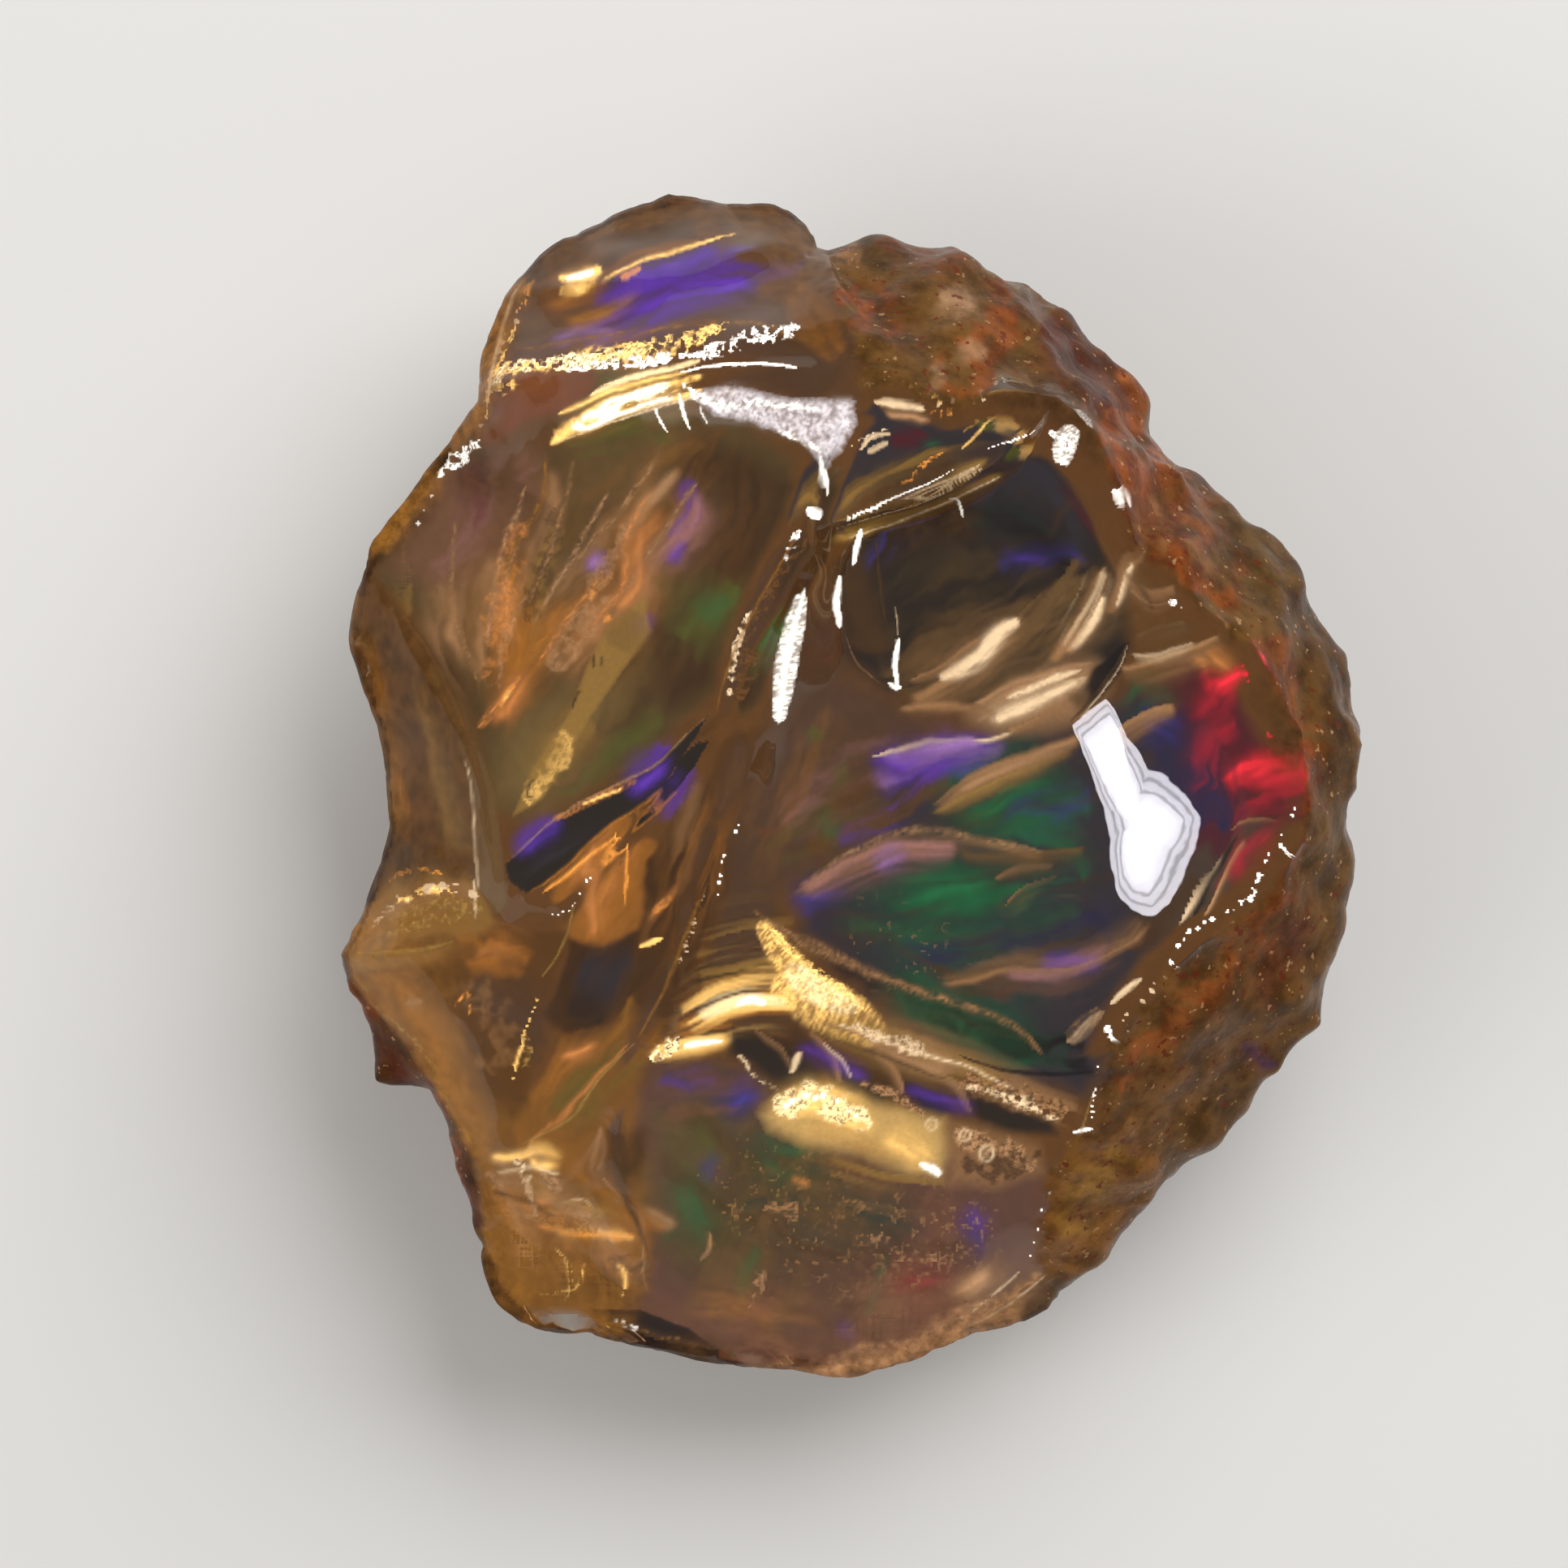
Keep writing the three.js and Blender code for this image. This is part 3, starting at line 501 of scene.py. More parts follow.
def smoothBowl(points, normals):
    # the share by which each point belongs to the bowl, and the height of the bowl there
    spots = seenAt(points)
    gap = np.maximum(-depthIn(bowl["outline"], spots), 0)
    front = normals[:, 2] > bowl["facing"]
    use = front & (gap < bowl["fitReach"])
    bowl["middle"] = points[use, :2].mean(0)
    terms = np.linalg.lstsq(bowlTerms(points[use]), points[use, 2], rcond=None)[0]
    across, along = bowl["hollow"]
    bowl["terms"] = terms + (0, bowl["tilt"], 0, across, 0, along)
    return step(bowl["reach"][1], bowl["reach"][0], gap) * front, bowlTerms(points) @ bowl["terms"]


def fromRim(xy):
    # how far each point lies from the rim, in plan
    return np.array([rimTree.find((x, y, 0))[2] for x, y in xy])


def rindOf(points, normals):
    # 1 on the rusty rind, 0 on clear opal, ragged in between; the back is clear again close to the outline
    xy = points[:, :2]
    ragged = sum(height * lumps(points, size, seed) for size, height, seed in stone["rindWaves"])
    side = step(*stone["rindEdge"], depthIn(rindOutline, xy, rindEdge) + ragged)
    rust = step(*stone["rustEdge"], depthIn(rustOutline, xy, rustEdge) + ragged * 0.6)
    back = step(0.05, -0.12, normals[:, 2] + 0.2 * ragged)
    back *= step(*stone["backFrom"], fromRim(xy) + 1.6 * ragged)
    return np.maximum(np.maximum(side, rust), back)


base, faces = weld(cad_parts["opal"].data)
rimTree = KDTree(len(base))
for number, (spot, normal) in enumerate(zip(base, pointNormals(base, faces))):
    if abs(normal[2]) < stone["rimSlope"]:
        rimTree.insert((spot[0], spot[1], 0), number)
rimTree.balance()
edges, crisp = foldOf(base, faces)
rindEnds = rindOf(base, pointNormals(base, faces))
crisp *= 1 - np.minimum(rindEnds[edges[:, 0]], rindEnds[edges[:, 1]])  # the rind has no crisp edges
points = base
for _ in range(stone["rounds"]):
    points, faces, crisp = divide(points, faces, crisp)
normals = pointNormals(points, faces)
inBowl, bowlHeight = smoothBowl(points, normals)
points[:, 2] += inBowl * (bowlHeight - points[:, 2])
normals = pointNormals(points, faces)
rind = rindOf(points, normals)
edges, _ = edgesOf(faces)
nearEdge = np.zeros(len(points))
np.maximum.at(nearEdge, edges[:, 0], crisp)
np.maximum.at(nearEdge, edges[:, 1], crisp)

out = np.zeros(len(points))
for size, height in stone["rindGrit"]:
    out += height * rind * lumps(points, size, size * 10)
wave = sum(share * lumps(points * (1, 1, 0.4), size, seed) for size, share, seed in stone["waves"])
out += stone["waveHeight"] * (1 - rind) * (1 - inBowl) * wave
nick = np.clip(lumps(points, stone["nickSize"], 9.0) - 0.05, 0, 1) * 2.2
out -= stone["nickDepth"] * nearEdge * nick * (1 - rind)
resting = points[:, 2] < stone["foot"]
out[resting] = np.minimum(out[resting], 0)
points = points + normals * out[:, None]
points[:, 2] = np.maximum(points[:, 2], 0)
print("stone shaped:", len(points), "points,", len(faces), "triangles")


def makeMesh(name, points, faces, masks=None, colours=None):
    # a smooth mesh with a number and a colour of each name at every point
    mesh = bpy.data.meshes.new(name)
    mesh.from_pydata((points * mm).tolist(), [], faces.tolist())
    mesh.shade_smooth()
    for key, values in (masks or {}).items():
        mesh.attributes.new(key, "FLOAT", "POINT").data.foreach_set("value", values.astype(np.float32))
    for key, values in (colours or {}).items():
        rgba = np.concatenate([values, np.ones((len(values), 1))], 1)
        mesh.color_attributes.new(key, "FLOAT_COLOR", "POINT").data.foreach_set("color", rgba.ravel())
    piece = bpy.data.objects.new(name, mesh)
    bpy.context.scene.collection.objects.link(piece)
    return piece


# Stone: colours of the rind, and where the surface isn't clear
rindPaint = {
    "tone": "khaki",
    "cover": 1.0,
    "bends": ((1.2, 0.5), (0.4, 0.25), (0.15, 0.1)),
    "strokes": [
        # top lobe
        ("olive", 0.8, 1, "haze", (-0.2, 15), (1.35, 15.35), (3.1, 15)),
        ("tan", 0.6, 0.4, "crust", (-0.4, 14.8), (0.05, 14.35)),
        ("russet", 0.7, 0.7, "haze", (0.9, 14.6), (1.8, 14.8), (3.35, 14.35)),
        ("rust", 0.8, 0.7, "crust", (-0.85, 13.15), (0.45, 12.95), (1.55, 12.6)),
        ("rust", 0.6, 0.9, "crust", (2, 11.7), (3.35, 11.5), (4.1, 13.25)),
        ("chalk", 0.9, 0.45, "haze", (2.55, 13.35), (3.2, 12.95)),
        ("chalk", 0.8, 0.4, "haze", (3.2, 12.15), (3.55, 11.7)),
        ("chalk", 0.8, 0.3, "haze", (2.25, 11.4), (2.8, 11.25)),
        ("brown", 0.7, 0.5, "haze", (1.15, 13.9), (1.35, 12.6), (1.45, 11.7)),
        ("rust", 0.7, 0.4, "crust", (4, 13.9), (4.2, 12.6)),
        # outer lobe on the right
        ("darkRust", 1, 1.1, "haze", (5.3, 12.6), (6.4, 11.5), (7.4, 10.2)),
        ("rust", 0.9, 0.5, "haze", (6.85, 12.15), (7.6, 11.3), (7.95, 10.2)),
        ("orange", 0.6, 0.25, "haze", (7.2, 11.95), (7.75, 11.05)),
        ("darkRust", 0.6, 0.5, "haze", (4.45, 13.5), (5.3, 12.7)),
        # right side
        ("russet", 0.8, 1.4, "haze", (5.55, 9.95), (7.75, 7.75), (9.95, 6)),
        ("tan", 0.4, 0.9, "crust", (5.55, 9.95), (7.75, 7.75), (9.95, 6)),
        ("rust", 0.7, 1.5, "crust", (6.4, 9.95), (8.6, 7.75), (10.8, 4.7)),
        ("olive", 0.6, 1, "haze", (8.6, 9.1), (10.35, 7.3), (11.7, 5.1)),
        ("rust", 0.6, 1, "crust", (11.25, 4.25), (12.15, 1.6), (12.35, -0.6)),
        ("umber", 0.6, 0.8, "haze", (12.15, 5.55), (13, 2.5), (13.25, -0.6)),
        # lower right
        ("brown", 0.8, 1.6, "haze", (12.15, -1.9), (9.95, -5), (8.6, -7.85)),
        ("plum", 0.4, 0.6, "haze", (11.25, -5.65), (12.15, -3.45)),
        ("violet", 0.4, 0.25, "haze", (10.6, -7), (11.4, -7.45)),
        ("honey", 0.9, 1.6, "haze", (7.75, -9.4), (6.4, -11.15), (5.55, -13.15)),
        ("tan", 0.7, 0.9, "haze", (7.3, -9.4), (6.3, -11.2), (5.6, -12.6)),
        ("straw", 0.8, 0.8, "crust", (7.75, -8.95), (6.65, -10.7), (5.95, -12.25)),
        ("rust", 0.8, 0.5, "crust", (7.1, -8.1), (8.85, -6.3), (9.95, -5)),
        ("rose", 0.5, 0.15, "haze", (7.25, -9), (7.85, -9.95)),
        ("dusk", 0.6, 0.7, "haze", (9.95, -8.95), (10.6, -8.1)),
        ("tan", 0.4, 1.7, "haze", (10.6, -3.4), (9, -6.5), (7.4, -9.6)),
        ("rust", 0.5, 0.7, "crust", (12.4, 1), (11.2, -3.2), (9.5, -6)),
        # rusty band at the lower left
        ("rust", 0.9, 0.5, "haze", (-13.7, -4.65), (-13.3, -5.55), (-12.75, -6.2)),
        ("darkRust", 1, 0.8, "haze", (-13.15, -6.3), (-12.3, -7.65), (-10.75, -10.3), (-10.1, -12.05)),
        ("rust", 0.7, 0.3, "crust", (-11.65, -7.65), (-10.85, -9.4), (-10.4, -11.6)),
        ("chalk", 0.7, 0.12, "crust", (-11.4, -8.75), (-10.95, -9.4), (-10.35, -11.95)),
    ],
}
frosting = {  # where the surface is matt and grainy
    "tone": "white",
    "cover": 0.0,
    "bends": ((0.6, 0.25), (0.2, 0.12)),
    "strokes": [
        ("white", 1, 0.15, "patch", (-4.35, 10.65), (-3.2, 11.05), (-1.8, 10.65), (0, 10.6), (-0.2, 9.45),
         (-0.75, 8.65), (-1.4, 9.25), (-2.8, 9.9), (-3.95, 9.95)),
        ("white", 0.8, 0.4, "haze", (-5.7, 10.2), (-4.8, 10.4), (-3.95, 10.5)),
    ],
}
clouding = {  # where the opal just under the surface is milky
    "tone": "umber",
    "cover": 0.02,
    "bends": ((1.2, 0.5), (0.4, 0.25), (0.15, 0.1)),
    "strokes": [
        ("honey", 0.3, 0.9, "haze", (-13.4, -3.9), (-12.05, -4.35), (-10.75, -5.65)),
        ("honey", 0.35, 0.5, "haze", (-13.6, -4.35), (-12.75, -4.9), (-11.65, -6.3), (-10.75, -8.1),
         (-9.85, -9.85)),
        ("tan", 0.25, 0.6, "crust", (-10.75, -5.2), (-9.45, -6.3), (-9.85, -7.65)),
        ("honey", 0.3, 1.2, "haze", (-9.45, -11.15), (-7.25, -12.9), (-5.45, -13.8)),
        ("clay", 0.35, 0.5, "haze", (-3.25, -15.1), (-0.2, -15.55), (3.35, -14.45)),
        ("tan", 0.6, 0.35, "haze", (-3.3, -16), (0.2, -15.8), (2.9, -14.7), (5.1, -13.2)),
        ("peach", 0.7, 0.15, "haze", (-1.5, -16), (1.2, -15.4), (3.4, -14.4), (5.2, -13)),
        ("peach", 0.6, 0.12, "haze", (-0.5, -15.5), (2.2, -14.6), (4.2, -13.4)),
        ("sepia", 0.25, 0.9, "crust", (-3.25, -10.3), (-1.05, -10.95), (0.25, -11.6)),
        ("honey", 0.35, 0.35, "haze", (-9, 13.9), (-9.85, 11.95), (-10.3, 10.4), (-11.65, 8.65),
         (-12.95, 6.45)),
        ("chestnut", 0.6, 0.5, "haze", (-8.55, 14.6), (-6.35, 15.8), (-4.35, 16.15), (-1.5, 15.8)),
        ("chestnut", 0.6, 0.9, "haze", (-1.6, 15), (-1.1, 13.3), (-0.7, 11.8)),
        ("tan", 0.25, 0.3, "haze", (-13.4, 5.55), (-13.3, 3.15), (-12.5, 0.3)),
        ("chestnut", 0.6, 0.3, "patch", (-13.2, 6.2), (-11.6, 4.0), (-10.3, 1.0), (-9.9, -2.0),
         (-10.8, -2.5), (-12.5, -0.6), (-13.6, 3.8)),
        ("khaki", 0.6, 0.35, "veils", (-13.2, 4.5), (-12.7, 1.8), (-12.2, -0.8)),
    ],
}


def opalMesh():
    # the stone with what is painted on it
    spots = seenAt(points)
    rindTone, _, _ = painted(spots, rindPaint)
    _, frost, _ = painted(spots, frosting)
    cloudTone, cloud, _ = painted(spots, clouding)
    facing = step(-0.1, 0.25, normals[:, 2])
    # the thin rim is made milky and glows: painted light, for the bright honey of light through the thin
    # edge
    rim = clear["rim"] * facing * step(1.3, 0.2, fromRim(points[:, :2]) + 0.5 * lumps(points, 1.1, 4.0))
    sides = clear["sides"] * step(0.5, 0.12, np.abs(normals[:, 2]))
    cloud = np.maximum(np.maximum(cloud * facing, rim), sides)
    masks = {"rind": rind, "frost": frost * facing, "cloud": cloud, "front": facing}
    return makeMesh("opal_stone", points, faces, masks, {"rindTone": rindTone, "cloudTone": cloudTone})


# Stone: finish
clear = {
    "ior": 1.44,
    "roughness": 0.02,
    "frost": 0.38,  # roughness of the matt patches
    "honey": (0.90, 0.52, 0.16),  # what is left of white light after a way through the stone
    "depth": 0.05,  # how fast it takes the colour, for a millimetre of way
    "tint": (1, 0.97, 0.92),
    "sides": 0.85,  # how milky the steep sides are
    "rim": 0.7,  # and the thin rim
    "milk": ((0.5, 0.45, 0.4), (1.6, 1.5, 1.4)),  # multiplies the milky tones, in blotches
    "milkIor": 1.12,
    "milkRoughness": 0.25,
    # painted glow: the milky parts give off light of their own tone
    "milkGlow": 0.3,
}
rusty = {
    "shine": 0.13,  # roughness, to which the grain adds
    "ior": 1.14,
    # painted glow: the rind gives off light of its own painted tone
    "glow": 0.25,
    "back": [(0.32, (0.022, 0.009, 0.005)), (0.5, (0.075, 0.030, 0.012)), (0.66, (0.16, 0.07, 0.025)),
        (0.8, (0.30, 0.19, 0.11))],
    "front": ((0.34, 0.28, 0.20), (0.9, 0.76, 0.56)),  # multiplies the painted tones, in blotches
    "specks": (  # size, how common, strength, tone
        (0.3, (0.62, 0.68), 0.8, (0.10, 0.017, 0.006)),
        (0.24, (0.66, 0.72), 0.7, (0.36, 0.20, 0.09))),
}


def opalFinish():
    f = Finish("clear honey opal with rusty rind")
    fine = f.noise(0.35, 6, 0.62)
    blotch = f.noise(2.2, 4, 0.6)
    front = f.mask("front")
    backTone = f.add("ShaderNodeValToRGB", {"stops": rusty["back"]}, {0: blotch * 0.6 + fine * 0.4})
    frontTone = f.mix(f.noise(0.9, 4, 0.6).between(0.3, 0.7), *rusty["front"])
    frontTone = f.mix(1.0, frontTone, f.colour("rindTone"), "MULTIPLY")
    for size, common, strength, tone in rusty["specks"]:
        frontTone = f.mix(f.noise(size, 2, 0.5).between(*common) * strength, frontTone, tone)
    grit = f.add("ShaderNodeBump", {}, {
        "Strength": 0.45, "Distance": 0.06 * mm, "Height": fine + 2 * f.noise(0.9, 2)})
    # the front of the rind glows in its own tone: painted glow
    rindSkin = f.add("ShaderNodeBsdfPrincipled", {}, {
        "Base Color": f.mix(front, backTone, frontTone), "Roughness": rusty["shine"] + 0.2 * fine,
        "Normal": grit, "IOR": rusty["ior"], "Emission Color": f.mix(front, (0, 0, 0), frontTone),
        "Emission Strength": rusty["glow"]})
    ripple = f.add("ShaderNodeBump", {}, {
        "Strength": 0.25, "Distance": 0.02 * mm, "Height": f.noise(0.8, 2)})
    frost = f.mask("frost")
    sparkle = f.add("ShaderNodeBump", {}, {
        "Strength": 0.5, "Distance": 0.03 * mm, "Height": f.noise(0.09, 2) * frost, "Normal": ripple})
    glass = f.add("ShaderNodeBsdfPrincipled", {}, {
        "Base Color": (*clear["tint"], 1), "Roughness": clear["roughness"] + clear["frost"] * frost,
        "IOR": clear["ior"], "Transmission Weight": 1.0, "Normal": sparkle})
    cloudTone = f.mix(f.noise(0.4, 5, 0.65).between(0.25, 0.75), *clear["milk"])
    cloudTone = f.mix(1.0, cloudTone, f.colour("cloudTone"), "MULTIPLY")
    # the milky parts glow in their own tone: painted glow
    milk = f.add("ShaderNodeBsdfPrincipled", {}, {
        "Base Color": cloudTone, "Roughness": clear["milkRoughness"], "IOR": clear["milkIor"],
        "Normal": ripple, "Emission Color": cloudTone, "Emission Strength": clear["milkGlow"]})
    skin = f.add("ShaderNodeMixShader", {}, {0: f.mask("cloud"), 1: glass, 2: milk})
    surface = f.add("ShaderNodeMixShader", {}, {0: f.mask("rind"), 1: skin, 2: rindSkin})
    honey = f.add("ShaderNodeVolumeAbsorption", {}, {
        "Color": (*clear["honey"], 1), "Density": clear["depth"] / mm})
    return f.finish(surface, honey)


opal = opalMesh()
opal.data.materials.append(opalFinish())
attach(opal, "root")
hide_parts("opal")
print("stone finished")

# Inside the stone: where things lie
relief = {
    "gap": 0.15,  # of the grid on which the heights of the stone are kept
    "smooth": 1.1,  # how far round a height is averaged for the way that light bends
    "above": 40,  # the heights from which the top and the bottom are looked for
    "below": -9,
    "none": 99.0,  # height of the bottom where there is no stone
    "slopeOver": 0.3,  # the step to each side over which a slope is measured
    "share": 0.42,  # the most of the stone's thickness that a sheet lies down in it
    "least": 0.5,  # the thickness of the stone under which there is no sheet
    "faint": 0.01,  # the cover under which a sheet is left out
}


def rayMap(points, faces):
    # top and bottom of the stone over an even grid
    tree = BVHTree.FromPolygons(points.tolist(), faces.tolist())
    low, high = points.min(0) - 1, points.max(0) + 1
    gap = relief["gap"]
    across = np.arange(low[0], high[0], gap)
    along = np.arange(low[1], high[1], gap)
    top = np.full((len(across), len(along)), np.nan)
    foot = np.full_like(top, np.nan)
    down, up = Vector((0, 0, -1)), Vector((0, 0, 1))
    for i, x in enumerate(across):
        for j, y in enumerate(along):
            hit = tree.ray_cast(Vector((x, y, relief["above"])), down)[0]
            if hit:
                top[i, j] = hit.z
                foot[i, j] = tree.ray_cast(Vector((x, y, relief["below"])), up)[0].z
    return {"x": low[0], "y": low[1], "top": top, "foot": foot}


def blurred(grid, reach):
    # each value averaged with those round it, leaving out the empty ones
    gap = relief["gap"]
    n = int(3 * reach / gap)
    weights = np.exp(-0.5 * (np.arange(-n, n + 1) * gap / reach) ** 2)
    known = np.isfinite(grid).astype(float)
    value = np.where(known > 0, grid, 0)
    for axis in (0, 1):
        for part in (value, known):
            pad = [(n, n) if axis == k else (0, 0) for k in (0, 1)]
            wide = np.pad(part, pad)
            part[...] = sum(w * np.take(wide, range(k, k + part.shape[axis]), axis)
                            for k, w in enumerate(weights))
    return value / np.maximum(known, 1e-6)


def sampled(grid, x, y):
    # a value between the points of the grid
    i = np.clip((x - heights["x"]) / relief["gap"], 0, grid.shape[0] - 1.001)
    j = np.clip((y - heights["y"]) / relief["gap"], 0, grid.shape[1] - 1.001)
    i0, j0 = i.astype(int), j.astype(int)
    a, b = i - i0, j - j0
    return ((grid[i0, j0] * (1 - a) + grid[i0 + 1, j0] * a) * (1 - b)
            + (grid[i0, j0 + 1] * (1 - a) + grid[i0 + 1, j0 + 1] * a) * b)


heights = rayMap(points, faces)
solid = np.isfinite(heights["top"])
heights["soft"] = blurred(heights["top"], relief["smooth"])
heights["full"] = np.where(solid, heights["top"], heights["soft"])
heights["under"] = np.where(solid, heights["foot"], relief["none"])
print("heights of the stone known:", int(solid.sum()), "spots")

